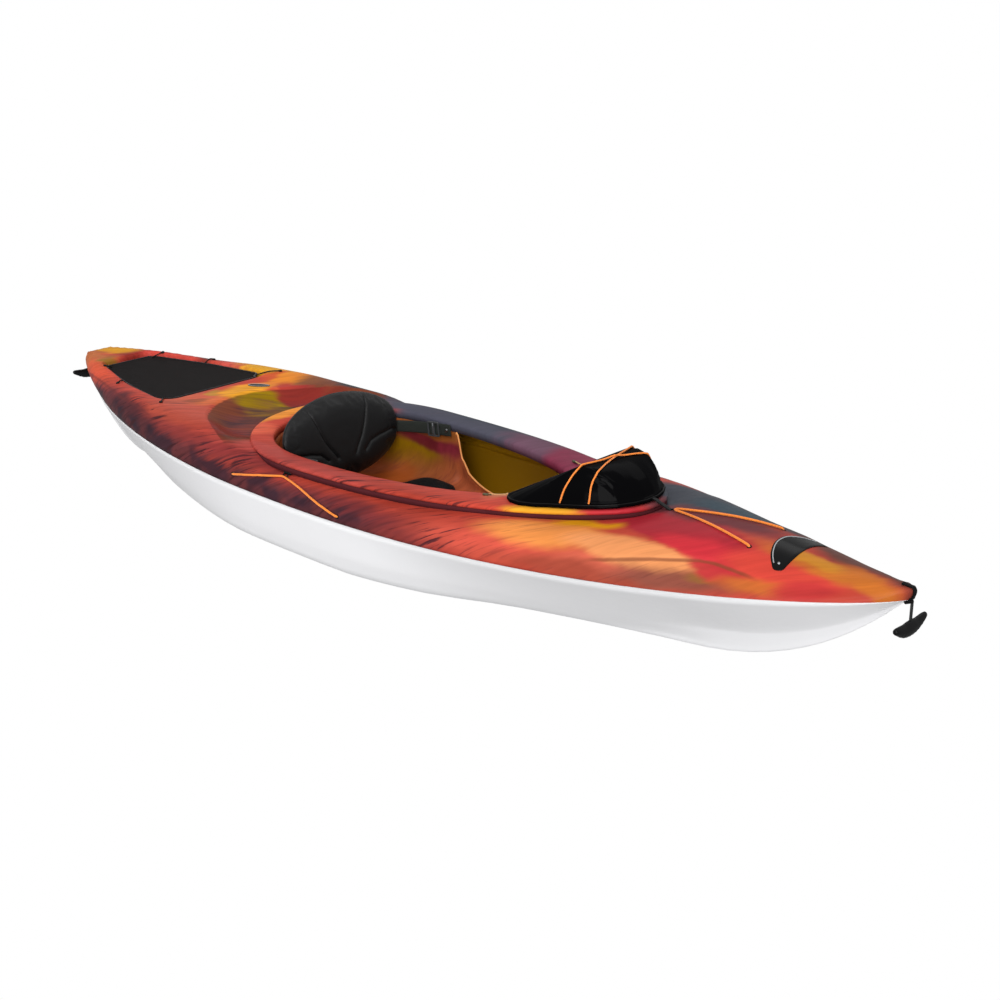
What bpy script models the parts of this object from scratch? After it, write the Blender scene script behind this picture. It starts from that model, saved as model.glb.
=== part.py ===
"""Recreational sit-in kayak, 3.05 m long and 0.71 m wide.

Metres. +X is the bow, +Y the port side, +Z up; the keel rests on z = 0 and the
origin lies under the middle of the whole boat.  Every named object is one
closed body.  The hull and deck are lofted from short design rules: a plan
outline, a sheer line, a keel line and a section shape for each station.
"""
import bpy
import bmesh
import math
import numpy as np
from mathutils import Vector, Matrix
from mathutils.bvhtree import BVHTree
from mathutils.geometry import delaunay_2d_cdt

# ------------------------------------------------------------------ basics
for _o in list(bpy.data.objects):
    bpy.data.objects.remove(_o, do_unlink=True)

pi = math.pi


def clamp(v, a=0.0, b=1.0):
    return a if v < a else b if v > b else v


def sm(a, b, v):
    t = clamp((v - a) / (b - a))
    return t * t * (3 - 2 * t)


def mix(a, b, t):
    return a + (b - a) * t


MATS = {}


def material(name, rgb, rough=0.5, metal=0.0):
    m = bpy.data.materials.new(name)
    m.use_nodes = True
    p = m.node_tree.nodes["Principled BSDF"]
    p.inputs["Base Color"].default_value = (*rgb, 1)
    p.inputs["Roughness"].default_value = rough
    p.inputs["Metallic"].default_value = metal
    m.diffuse_color = (*rgb, 1)
    return m


def make(name, verts, faces, mat, weld=1e-6, smooth=True):
    """One closed body from points and faces, welded, facing outward."""
    me = bpy.data.meshes.new(name)
    bm = bmesh.new()
    vs = [bm.verts.new(tuple(float(c) for c in v)) for v in verts]
    for f in faces:
        if len(set(f)) < 3:
            continue
        try:
            bm.faces.new([vs[i] for i in f])
        except ValueError:
            pass
    bmesh.ops.remove_doubles(bm, verts=bm.verts, dist=weld)
    bmesh.ops.dissolve_degenerate(bm, edges=bm.edges, dist=weld)
    loose = [v for v in bm.verts if not v.link_faces]
    bmesh.ops.delete(bm, geom=loose, context='VERTS')
    bmesh.ops.recalc_face_normals(bm, faces=bm.faces)
    if bm.calc_volume(signed=True) < 0:
        bmesh.ops.reverse_faces(bm, faces=bm.faces)
    for f in bm.faces:
        f.smooth = smooth
    bm.to_mesh(me)
    bm.free()
    ob = bpy.data.objects.new(name, me)
    bpy.context.scene.collection.objects.link(ob)
    me.materials.append(mat)
    MATS[name] = mat
    return ob


def ring_faces(a, b, n, closed=True):
    """Quads between two loops of n points that start at indices a and b."""
    out = []
    for i in range(n if closed else n - 1):
        j = (i + 1) % n
        out.append((a + i, a + j, b + j, b + i))
    return out


def tris_in(outer, holes, inner):
    """Triangles of the plan region inside `outer`, outside `holes`."""
    pts = list(outer)
    edges = [(i, (i + 1) % len(outer)) for i in range(len(outer))]
    for h in holes:
        s = len(pts)
        pts += list(h)
        edges += [(s + i, s + (i + 1) % len(h)) for i in range(len(h))]
    pts += list(inner)
    res = delaunay_2d_cdt([Vector((float(p[0]), float(p[1]))) for p in pts], edges, [], 0, 1e-7)
    vo, _, fo, ids = res[0], res[1], res[2], res[3]
    back = [min(s) if s else -1 for s in ids]

    def inside(x, y, poly):
        hit = False
        n = len(poly)
        j = n - 1
        for i in range(n):
            xi, yi = poly[i][0], poly[i][1]
            xj, yj = poly[j][0], poly[j][1]
            if (yi > y) != (yj > y) and x < (xj - xi) * (y - yi) / (yj - yi) + xi:
                hit = not hit
            j = i
        return hit
    out = []
    for f in fo:
        cx = sum(vo[i][0] for i in f) / len(f)
        cy = sum(vo[i][1] for i in f) / len(f)
        if inside(cx, cy, outer) and not any(inside(cx, cy, h) for h in holes):
            out.append(tuple(back[i] for i in f))
    return out, len(pts)


def far_from(p, loops, d):
    for lp in loops:
        a = np.asarray(lp)
        if np.min(np.hypot(a[:, 0] - p[0], a[:, 1] - p[1])) < d:
            return False
    return True


# ------------------------------------------------------------ design rules
BEAM = 0.355            # half breadth at the sheer
T = 0.0042              # skin thickness
GAP = 0.0006            # clearance left between neighbouring pieces


def plan(c):
    u = min(1.0, abs(c))
    if c >= 0:
        return max(0.0, 1 - u ** 2.2) ** 0.72
    return max(0.0, 1 - u ** 2.6) ** 0.84


def reach(c, g):
    """Length of the outline at the height share g of the deck side."""
    k = math.sin(pi / 2 * clamp(g / 0.8)) - 0.5 * sm(0.75, 1.0, g) ** 2
    return (1.519 + 0.006 * k) if c >= 0 else (1.467 + 0.058 * min(1.0, k + 0.45 * sm(0.75, 1.0, g) ** 2))


def sheer(x):
    if x > -0.1:
        return 0.191 + 0.097 * ((x + 0.1) / 1.625) ** 1.8
    return 0.191 + 0.036 * clamp((-0.35 - x) / 1.12, 0, 1.04) ** 1.3


def keel(x):
    k = 0.0
    if x > 0.75:
        k = 0.284 * ((x - 0.75) / 0.762) ** 2.85
    elif x < -1.20:
        k = 0.125 * ((-1.20 - x) / 0.27) ** 2.2
    return min(k, sheer(x))


def hull_controls(x, b, s, k):
    """Half section corners: sheer, chine, bilge, floor, keel."""
    if x > 0.1:
        rc = 0.93 - 0.9 * (x - 0.1) ** 1.6
    elif x < -0.3:
        rc = 0.93 - 0.345 * (-0.3 - x) ** 1.5
    else:
        rc = 0.93
    if x > 0.0:
        rb = 0.845 - 0.9 * x ** 1.6
    elif x < -0.3:
        rb = 0.845 - 0.62 * (-0.3 - x) ** 1.5
    else:
        rb = 0.845
    rc = 0.13 + max(0.0, rc - 0.13)
    rb = 0.05 + max(0.0, rb - 0.05)
    rb = min(rb, rc * 0.9)
    hc = 0.456 - 0.156 * sm(0.3, 1.05, x) + 0.05 * sm(-0.7, -1.3, x)
    zc = k + (s - k) * hc
    zb = k + (zc - k) * 0.34
    return [(b, s), (rc * b, zc), (rb * b, zb), (rb * b * 0.62, k + (zb - k) * 0.12), (0.0, k)]


def hull_half(x, b, s, k, fine=False):
    """Rounded half section from the sheer down to the keel."""
    p = [np.array(q) for q in hull_controls(x, b, s, k)]
    soft = [0, 0.16, 0.42, 0.5, 0]
    out = [p[0]]
    seg = 4 if fine else 1
    rnd = 5 if fine else 2
    cur = p[0]
    # the side panel swells a little between sheer and chine at the stern
    swell = 0.007 * sm(-0.90, -1.20, x) * sm(0.02, 0.08, b)
    for i in (1, 2, 3):
        a = p[i] + (p[i - 1] - p[i]) * soft[i]
        c = p[i] + (p[i + 1] - p[i]) * soft[i]
        steps = max(2, seg) if i == 1 else seg
        for j in range(1, steps):
            t = j / steps
            q = mix(cur, a, t)
            out.append(q + np.array([swell * 4 * t * (1 - t), 0.0]) if i == 1 else q)
        out.append(a)
        for j in range(1, rnd + 1):
            t = j / rnd
            out.append((1 - t) ** 2 * a + 2 * t * (1 - t) * p[i] + t * t * c)
        cur = c
    for j in range(1, (6 if fine else 2) + 1):
        out.append(mix(cur, p[4], j / (6 if fine else 2)))
    return out


def stations(m, power=1.0):
    """Shares c from +1 (bow) to -1 (stern), closer together at the tips."""
    return [math.cos(pi * i / m) for i in range(m + 1)]


# ---- deck
RIM = dict(xm=-0.13, hw=0.309, af=0.984, nf=2.15, qf=0.6, ar=0.357, nr=2.25, qr=0.5, blunt=True)
EYE = dict(xm=-0.15, hw=0.236, af=0.73, nf=2.2, qf=0.6, ar=0.272, nr=2.3, qr=0.5, blunt=False)


def egg(o, x):
    """Half width of an egg-shaped outline at x."""
    if x >= o['xm']:
        u = min(1.0, (x - o['xm']) / o['af'])
        if not o['blunt']:
            return o['hw'] * max(0.0, 1 - u ** o['nf']) ** o['qf']
        a = max(0.0, 1 - min(1.0, u * 1.0314) ** o['nf']) ** o['qf']
        b = max(0.0, 1 - u ** 1.51) ** 0.44
        return o['hw'] * mix(a, b, sm(0.36, 0.60, x))
    return o['hw'] * max(0.0, 1 - min(1.0, (o['xm'] - x) / o['ar']) ** o['nr']) ** o['qr']


def egg_dist(o, x, y):
    """Rough distance outside the outline (negative inside)."""
    if x >= o['xm']:
        a, n, q = o['af'], o['nf'], o['qf']
        if o['blunt']:
            k = sm(0.36, 0.60, x)
            n, q = mix(n, 1.51, k), mix(q, 0.44, k)
            a = mix(a / 1.0314, a, k)
        u = (x - o['xm']) / a
    else:
        a, n, q = o['ar'], o['nr'], o['qr']
        u = (o['xm'] - x) / a
    v = abs(y) / o['hw']
    f = u ** n + v ** (1 / q) - 1
    gx = n * u ** (n - 1) / a if u > 1e-6 else 0.0
    gy = (1 / q) * v ** (1 / q - 1) / o['hw'] if v > 1e-6 else 0.0
    return f / max(1e-6, math.hypot(gx, gy))


def rim_z(x):
    return 0.286 + 0.013 * x + 0.041 * x * x - 0.010 * x ** 3 + 0.014 * sm(0.45, 0.85, x)


def egg_loop(o, n):
    """Closed plan loop from the front tip round by port."""
    x0, x1 = o['xm'] + o['af'], o['xm'] - o['ar']
    pts = []
    for i in range(n):
        a = 2 * pi * i / n
        x = (x0 + x1) / 2 + (x0 - x1) / 2 * math.cos(a)
        y = egg(o, x) * (1 if a <= pi else -1)
        if i in (0, n // 2):
            y = 0.0
        pts.append((x, y))
    return np.array(pts)


def offset_loop(p, d):
    """Plan loop moved outward by d along its own normal."""
    t = np.roll(p, -1, 0) - np.roll(p, 1, 0)
    t /= np.linalg.norm(t, axis=1)[:, None]
    n = np.stack([t[:, 1], -t[:, 0]], 1)
    if np.sum(n * (p - p.mean(0))) < 0:
        n = -n
    return p + n * d


def section_exp(x):
    w = sm(0.45, 1.2, x) ** 1.7
    return 1 / (mix(0.09, 0.125, sm(-0.75, -0.40, x)) + 0.446 * w), 1 / (0.5 + 0.41 * w)


def crease_x(y):
    return -0.73 + 2.6 * y * y + 30 * abs(y) ** 5


def crown(x, y):
    rear = 0.286 + 0.014 * sm(-0.75, -1.40, x) - 0.022 * sm(-1.445, -1.485, x)
    fore = 0.271 + 0.065 * sm(0.25, 1.12, x) - 0.030 * sm(1.12, 1.56, x)
    d = x - crease_x(y)
    w = sm(-0.012, 0.14, d)
    z = mix(rear, fore, w)
    # shallow scoop behind the coaming
    z -= 0.022 * sm(0.0, 0.10, d) * sm(-0.30, -0.48, x) * sm(0.31, 0.16, abs(y))
    return z


T_IN = 0.87


def deck_t(x, y):
    e = 1.525
    b = BEAM * plan(x / e)
    a = min(1.0, abs(y) / b) if b > 1e-6 else T_IN
    # flat top and full shoulders on both noses
    return mix(a, 0.30 if x > 0 else 0.75, sm(e - 0.06, e, abs(x)))


def deck_z(x, y):
    n, m = section_exp(x)
    t = deck_t(x, y)
    s = sheer(x)
    z = s + (crown(x, y) - s) * max(0.0, 1 - t ** n) ** (1 / m)
    # the deck dips round the coaming so that the lip stands clear of it
    d = egg_dist(RIM, x, y)
    z -= 0.009 * math.exp(-(max(0.0, d + 0.02) / 0.04) ** 2) * sm(0.35, 0.8, x)
    return z


def deck_n(x, y):
    h = 1e-3
    gx = (deck_z(x + h, y) - deck_z(x - h, y)) / (2 * h)
    gy = (deck_z(x, y + h) - deck_z(x, y - h)) / (2 * h)
    v = np.array([-gx, -gy, 1.0])
    return v / np.linalg.norm(v)


def round_poly(corners, radii, seg):
    """Plan polygon with rounded corners."""
    out = []
    n = len(corners)
    for i in range(n):
        p = np.array(corners[i], float)
        a = np.array(corners[i - 1], float) - p
        b = np.array(corners[(i + 1) % n], float) - p
        la, lb = np.linalg.norm(a), np.linalg.norm(b)
        a /= la
        b /= lb
        ang = math.acos(clamp(float(a @ b), -1, 1))
        d = min(radii[i] / math.tan(ang / 2), 0.45 * la, 0.45 * lb)
        s, e = p + a * d, p + b * d
        for j in range(seg + 1):
            t = j / seg
            out.append((1 - t) ** 2 * s + 2 * t * (1 - t) * p + t * t * e)
    return np.array(out)


WELL_FLOOR = 0.165


def resample(p, n):
    """Even closed resampling of a plan loop."""
    q = np.vstack([p, p[:1]])
    s = np.concatenate([[0], np.cumsum(np.linalg.norm(np.diff(q, axis=0), axis=1))])
    u = np.linspace(0, s[-1], n, endpoint=False)
    return np.stack([np.interp(u, s, q[:, 0]), np.interp(u, s, q[:, 1])], 1)


def well_loop(n):
    c = [(-0.822, 0.212), (-1.06, 0.172), (-1.315, 0.096),
         (-1.315, -0.096), (-1.06, -0.172), (-0.822, -0.212)]
    return resample(round_poly(c, [0.045, 0.5, 0.04, 0.04, 0.5, 0.045], 8), n)


# ------------------------------------------------------------------- hull
def build_hull(m, fine, mat):
    cs = stations(m)
    n = 2 * m
    verts, loops = [], []

    def skin(inner):
        st = []
        for i in range(n):
            k = i if i <= m else n - i
            sgn = 1 if i <= m else -1
            c = cs[k]
            if inner:
                ext = (1.519 if c >= 0 else 1.467) - 0.035
                amp = BEAM - 0.002 - T
            else:
                ext = 1.519 if c >= 0 else 1.467
                amp = BEAM - 0.002
            x = c * ext
            b = amp * plan(c)
            s = sheer(x) - 0.0003
            kz = keel(x) + (T if inner else 0.0)
            kz = min(kz, s)
            hs = hull_half(x, b, s, kz, fine)
            st.append([(x, sgn * q[0], q[1]) for q in hs])
        lv = len(st[0])
        out = []
        for j in range(lv):
            out.append(len(verts))
            for i in range(n):
                verts.append(st[i][j])
        return out
    outer = skin(False)
    inner = skin(True)
    faces = []
    for a, b in zip(outer, outer[1:]):
        faces += ring_faces(a, b, n)
    for a, b in zip(inner, inner[1:]):
        faces += ring_faces(b, a, n)
    faces += ring_faces(inner[0], outer[0], n)
    return make('hull', verts, faces, mat, weld=2e-5)


# ------------------------------------------------------------------- deck
def build_deck(m, mc, mw, step, fine, mat):
    n = 2 * m
    cs = stations(m)
    rows = 9 if fine else 3
    verts, faces = [], []

    def strip(inner):
        """Loops up the deck side from the sheer to the top panel."""
        loops = []
        for k in range(rows + 1):
            lp = []
            for i in range(n):
                kk = i if i <= m else n - i
                sgn = 1 if i <= m else -1
                c = cs[kk]
                xt = c * 1.525
                ne, me_ = section_exp(xt)
                a_end = math.asin(T_IN ** (ne / 2))
                a = mix(pi / 2, a_end, k / rows)
                t = math.sin(a) ** (2 / ne)
                f = (math.cos(a) / math.cos(a_end)) ** (2 / me_)
                cut = 0.03 if inner else 0.0
                x = c * (reach(c, f) - cut)
                amp = BEAM - (T if inner else 0.0)
                y = sgn * amp * plan(c) * t
                xin = c * (1.525 - cut)
                yin = amp * plan(c) * T_IN
                zin = deck_z(xin if not inner else c * 1.525, BEAM * plan(c) * T_IN) - (T if inner else 0.0)
                s = sheer(x) + 0.0003
                z = s + (zin - s) * f
                lp.append((x, y, z))
            loops.append(lp)
        return loops
    so = strip(False)
    si = strip(True)

    # coaming loops, from the deck round the lip to the inner edge
    ro = egg_loop(RIM, mc)
    ri = egg_loop(EYE, mc)
    base = offset_loop(ro, -0.020)
    zr = np.array([rim_z(x) for x in ro[:, 0]])
    zb = np.array([deck_z(x, y) for x, y in base])
    zb = np.minimum(zb, zr - 0.020)
    zi = np.array([rim_z(x) for x in ri[:, 0]])

    def flat(p, z):
        return [(a[0], a[1], b) for a, b in zip(p, z)]

    def across(s):
        return ro * (1 - s) + ri * s, zr * (1 - s) + zi * s
    up = [flat(base, zb)]
    lip = [(-0.0185, -0.0125), (-0.0030, -0.0115), (-0.0005, -0.0085), (0.0, -0.0050), (-0.0030, -0.0008)]
    if not fine:
        lip = [(-0.0185, -0.0125), (-0.0020, -0.0110), (0.0, -0.0050), (-0.0040, -0.0006)]
    for d, dz in lip:
        up.append(flat(offset_loop(ro, d), zr + dz))
    tops = [(0.3, 0.0015), (0.62, 0.0005), (0.88, -0.002), (0.965, -0.0045), (1.0, -0.011)]
    if fine:
        tops = [(0.10, 0.0008), (0.22, 0.0014), (0.36, 0.0016), (0.5, 0.0012), (0.64, 0.0004),
                (0.78, -0.0008), (0.87, -0.002), (0.93, -0.0034), (0.97, -0.0055), (0.992, -0.0085), (1.0, -0.013)]
    for s, dz in tops:
        p, z = across(s)
        up.append(flat(p, z + dz))
    up.append(flat(ri, zi - 0.026))
    dn = []
    dn.append(flat(offset_loop(ri, 0.005), zi - 0.026))
    dn.append(flat(offset_loop(ri, 0.0055), zi - 0.0115))
    p, z = across(0.82)
    dn.append(flat(p, z - 0.0075))
    p, z = across(0.5)
    dn.append(flat(p, z - 0.0055))
    dn.append(flat(offset_loop(ro, -0.0245), zr - 0.0065))
    dn.append(flat(offset_loop(ro, -0.0250), zb - 0.0052))

    # well for luggage behind the seat
    wl = well_loop(mw)
    z0 = np.array([deck_z(x, y) for x, y in wl])
    wf = np.full(mw, WELL_FLOOR)
    prof_o = [(0, 0, 0), (-0.006, -0.003, 0), (-0.010, -0.012, 0), (-0.020, 0.012, 1), (-0.034, 0.0, 1)]
    prof_i = [(0.0035, -0.0048, 0), (-0.0022, -0.008, 0), (-0.0053, -0.015, 0), (-0.0152, 0.009, 1), (-0.0315, -0.0048, 1)]
    if fine:
        prof_o = [(0, 0, 0), (-0.003, -0.0007, 0), (-0.0058, -0.0026, 0), (-0.0080, -0.006, 0), (-0.0095, -0.011, 0),
                  (-0.0150, -0.060, 0), (-0.0195, 0.020, 1), (-0.0215, 0.012, 1), (-0.026, 0.005, 1), (-0.032, 0.0015, 1), (-0.040, 0.0, 1)]
        prof_i = [(0.0035, -0.0048, 0), (-0.0022, -0.008, 0), (-0.0053, -0.015, 0), (-0.0152, 0.009, 1), (-0.0315, -0.0048, 1)]
    well_o = [flat(offset_loop(wl, d), (wf if k else z0) + dz) for d, dz, k in prof_o]
    well_i = [flat(offset_loop(wl, d), (wf if k else z0) + dz) for d, dz, k in prof_i]

    # top panel between side strip, coaming and well
    outer2 = [(p[0], p[1]) for p in so[-1]]
    hole_c = [(p[0], p[1]) for p in base]
    hole_w = [(p[0], p[1]) for p in wl]
    inner = []
    k = int(1.6 / step) + 1
    for i in range(-k, k + 1):
        for j in range(-k, k + 1):
            x = (i + (0.5 if j % 2 else 0.0)) * step
            y = j * step * 0.866
            if abs(x) > 1.51:
                continue
            b = BEAM * plan(x / 1.525) * T_IN
            if abs(y) > b - 0.45 * step:
                continue
            if egg_dist(RIM, x, y) < -0.02 + 0.45 * step * 0.8:
                continue
            inner.append((x, y))
    lw = np.array(hole_w)

    def in_well(p):
        return (-1.315 < p[0] < -0.822) and abs(p[1]) < mix(0.096, 0.212, (p[0] + 1.315) / 0.493)
    allp = [outer2, hole_c, hole_w]
    inner = [p for p in inner if not in_well(p) and far_from(p, allp, 0.5 * step)]
    tri, tot = tris_in(outer2, [hole_c, hole_w], inner)
    assert tot == n + mc + mw + len(inner)

    # write the vertices: side loops, coaming, well, then the inner points
    def put(loop):
        s = len(verts)
        verts.extend(loop)
        return s
    so_i = [put(l) for l in so]
    up_i = [put(l) for l in up]
    wo_i = [put(l) for l in well_o]
    in_o = put([(p[0], p[1], deck_z(*p)) for p in inner])
    si_i = [put(l) for l in si]
    dn_i = [put(l) for l in dn]
    wi_i = [put(l) for l in well_i]
    low = []
    for p in inner:
        q = np.array([p[0], p[1], deck_z(*p)]) - deck_n(*p) * T
        low.append(tuple(q))
    in_i = put(low)

    def ref(i, a, b, c, d):
        if i < n:
            return a + i
        i -= n
        if i < mc:
            return b + i
        i -= mc
        if i < mw:
            return c + i
        return d + i - mw
    for f in tri:
        faces.append(tuple(ref(i, so_i[-1], up_i[0], wo_i[0], in_o) for i in f))
        faces.append(tuple(reversed([ref(i, si_i[-1], dn_i[-1], wi_i[0], in_i) for i in f])))
    for a, b in zip(so_i, so_i[1:]):
        faces += ring_faces(a, b, n)
    for a, b in zip(si_i, si_i[1:]):
        faces += ring_faces(b, a, n)
    faces += ring_faces(si_i[0], so_i[0], n)
    cl = up_i + dn_i
    for a, b in zip(cl, cl[1:]):
        faces += ring_faces(a, b, mc)
    for a, b in zip(wo_i, wo_i[1:]):
        faces += ring_faces(a, b, mw)
    for a, b in zip(wi_i, wi_i[1:]):
        faces += ring_faces(b, a, mw)
    for ids, rev in ((wo_i[-1], False), (wi_i[-1], True)):
        lp = [(verts[ids + i][0], verts[ids + i][1]) for i in range(mw)]
        pts = []
        st2 = max(step, 0.05)
        for i in range(-8, 9):
            for j in range(-5, 6):
                q = (-1.06 + i * st2, j * st2)
                if abs(q[1]) < 0.14 and far_from(q, [lp], 0.6 * st2):
                    pts.append(q)
        t2, _ = tris_in(lp, [], pts)
        zf = verts[ids][2]
        s = put([(q[0], q[1], zf) for q in pts])
        for f in t2:
            g = tuple(ids + i if i < mw else s + i - mw for i in f)
            faces.append(tuple(reversed(g)) if rev else g)
    return make('deck', verts, faces, mat, weld=2e-6)


# ------------------------------------------------------- small-part tools
def V3(*a):
    return Vector(a if len(a) == 3 else a[0])


def curve(ctrl, n):
    """Smooth curve through the control points, n evenly spaced points."""
    c = [np.array(p, float) for p in ctrl]
    c = [2 * c[0] - c[1]] + c + [2 * c[-1] - c[-2]]
    out = []
    for i in range(1, len(c) - 2):
        for j in range(16):
            t = j / 16
            a, b, d, e = c[i - 1], c[i], c[i + 1], c[i + 2]
            out.append(0.5 * (2 * b + (d - a) * t + (2 * a - 5 * b + 4 * d - e) * t ** 2
                              + (3 * b - a - 3 * d + e) * t ** 3))
    out.append(c[-2])
    out = np.array(out)
    s = np.concatenate([[0], np.cumsum(np.linalg.norm(np.diff(out, axis=0), axis=1))])
    u = np.linspace(0, s[-1], n)
    return np.stack([np.interp(u, s, out[:, k]) for k in range(3)], 1)


def circle(r, n, rz=None):
    return [(r * math.cos(2 * pi * i / n), (rz or r) * math.sin(2 * pi * i / n)) for i in range(n)]


def slab(w, t, r=0.0006):
    """Flat section w wide and t thick with eased corners."""
    a, b = w / 2, t / 2
    return [(a, -b + r), (a, b - r), (a - r, b), (-a + r, b), (-a, b - r), (-a, -b + r), (-a + r, -b), (a - r, -b)]


def sweep(name, pts, section, mat, ref=(0, 0, 1), scale=None):
    """Closed body of one section carried along a path."""
    P = [Vector([float(c) for c in p]) for p in pts]
    n, k = len(P), len(section)
    verts, faces = [], []
    r = Vector(ref)
    for i in range(n):
        t = (P[min(n - 1, i + 1)] - P[max(0, i - 1)]).normalized()
        r = r - t * r.dot(t)
        r.normalize()
        s = t.cross(r)
        q = scale[i] if scale else 1.0
        for u, v in section:
            verts.append(P[i] + s * u * q + r * v * q)
    for i in range(n - 1):
        faces += ring_faces(i * k, (i + 1) * k, k)
    faces.append(tuple(range(k)))
    faces.append(tuple((n - 1) * k + i for i in reversed(range(k))))
    return make(name, verts, faces, mat)


def loft(name, loops, mat):
    """Closed body through loops of equal count, with flat ends."""
    k = len(loops[0])
    verts = [p for lp in loops for p in lp]
    faces = []
    for i in range(len(loops) - 1):
        faces += ring_faces(i * k, (i + 1) * k, k)
    faces.append(tuple(reversed(range(k))))
    faces.append(tuple((len(loops) - 1) * k + i for i in range(k)))
    return make(name, verts, faces, mat)


def axes(d, ref=(0, 0, 1)):
    """Rotation whose Z column is d."""
    z = Vector(d).normalized()
    x = Vector(ref).cross(z)
    if x.length < 1e-4:
        x = Vector((1, 0, 0)).cross(z)
    x.normalize()
    y = z.cross(x)
    return Matrix((x, y, z)).transposed()


def lathe(name, prof, mat, c, d, seg=16):
    """Turned body: profile of (radius, height) about the line through c along d."""
    R = axes(d)
    c = Vector(c)
    verts, faces, rows = [], [], []
    for r, h in prof:
        if r < 1e-9:
            rows.append([len(verts)] * seg)
            verts.append(c + R @ Vector((0, 0, h)))
        else:
            rows.append([len(verts) + i for i in range(seg)])
            for i in range(seg):
                a = 2 * pi * i / seg
                verts.append(c + R @ Vector((r * math.cos(a), r * math.sin(a), h)))
    closed = prof[0][0] > 1e-9
    n = len(rows)
    for i in range(n if closed else n - 1):
        a, b = rows[i], rows[(i + 1) % n]
        for j in range(seg):
            k = (j + 1) % seg
            f = [a[j], a[k], b[k], b[j]]
            g = [v for m, v in enumerate(f) if v not in f[:m]]
            if len(g) > 2:
                faces.append(tuple(g))
    return make(name, verts, faces, mat)


def rbox(name, c, size, r, mat, R=None, seg=2):
    """Box with rounded edges."""
    me = bpy.data.meshes.new(name)
    bm = bmesh.new()
    bmesh.ops.create_cube(bm, size=1.0)
    for v in bm.verts:
        v.co = Vector((v.co.x * size[0], v.co.y * size[1], v.co.z * size[2]))
    if r > 0:
        bmesh.ops.bevel(bm, geom=bm.edges, offset=r, segments=seg, affect='EDGES', profile=0.5)
    M = Matrix.Translation(Vector(c)) @ (R.to_4x4() if R else Matrix.Identity(4))
    bm.transform(M)
    for f in bm.faces:
        f.smooth = True
    bm.to_mesh(me)
    bm.free()
    ob = bpy.data.objects.new(name, me)
    bpy.context.scene.collection.objects.link(ob)
    me.materials.append(mat)
    me.set_sharp_from_angle(angle=math.radians(40))
    return ob


def plate(name, outer, holes, z0, z1, mat, R=None, c=(0, 0, 0)):
    """Flat plate with holes; outlines in its own plane, carried by R and c."""
    tri, n = tris_in(outer, holes, [])
    pts = list(outer) + [p for h in holes for p in h]
    R = R or Matrix.Identity(3)
    c = Vector(c)
    verts = [c + R @ Vector((p[0], p[1], z)) for z in (z0, z1) for p in pts]
    faces = [tuple(reversed(t)) for t in tri] + [tuple(i + n for i in t) for t in tri]
    s = 0
    for lp in [outer] + list(holes):
        faces += ring_faces(s, s + n, len(lp))
        s += len(lp)
    return make(name, verts, faces, mat, smooth=False)


def rect(w, h, r=0.0, seg=2, cx=0.0, cy=0.0):
    c = [(cx - w / 2, cy - h / 2), (cx + w / 2, cy - h / 2), (cx + w / 2, cy + h / 2), (cx - w / 2, cy + h / 2)]
    if r <= 0:
        return [tuple(p) for p in c]
    return [tuple(p) for p in round_poly(c, [r] * 4, seg)]


def merge(name, obs, mat, op='UNION'):
    """Boolean of the first object with the others, as one closed body."""
    base = obs[0]
    for o in obs[1:]:
        m = base.modifiers.new('b', 'BOOLEAN')
        m.operation = op
        m.solver = 'EXACT'
        m.object = o
    dg = bpy.context.evaluated_depsgraph_get()
    me = bpy.data.meshes.new_from_object(base.evaluated_get(dg))
    me.name = name
    bm = bmesh.new()
    bm.from_mesh(me)
    bmesh.ops.remove_doubles(bm, verts=bm.verts, dist=1e-6)
    bmesh.ops.dissolve_degenerate(bm, edges=bm.edges, dist=1e-6)
    bm.to_mesh(me)
    bm.free()
    for o in obs:
        bpy.data.objects.remove(o, do_unlink=True)
    ob = bpy.data.objects.new(name, me)
    bpy.context.scene.collection.objects.link(ob)
    me.materials.clear()
    me.materials.append(mat)
    return ob


def pivot(ob, p):
    """Put the origin of a moving piece on its joint axis."""
    ob.data.transform(Matrix.Translation(-Vector(p)))
    ob.location = Vector(p)
    return ob


def tree(*obs):
    bm = bmesh.new()
    for o in obs:
        bm.from_mesh(o.data)
    t = BVHTree.FromBMesh(bm)
    bm.free()
    return t


def outside(*obs):
    """Tree of the faces that look away from the middle of the boat."""
    bm = bmesh.new()
    for o in obs:
        bm.from_mesh(o.data)
    inner = []
    for f in bm.faces:
        c = f.calc_center_median()
        if f.normal.x * c.x * 0.1 + f.normal.y * c.y + f.normal.z * (c.z - 0.12) <= 0:
            inner.append(f)
    bmesh.ops.delete(bm, geom=inner, context='FACES')
    t = BVHTree.FromBMesh(bm)
    bm.free()
    return t


def top(t, x, y):
    """Height of the surface below a point well above it."""
    h = t.ray_cast(Vector((x, y, 1.0)), Vector((0, 0, -1)))
    return h[0].z


def side(t, x, y, z, lift):
    """Nearest surface point, lifted along its outward normal."""
    loc, nor, _, _ = t.find_nearest(Vector((x, y, z)))
    return loc + nor * lift, nor


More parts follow.
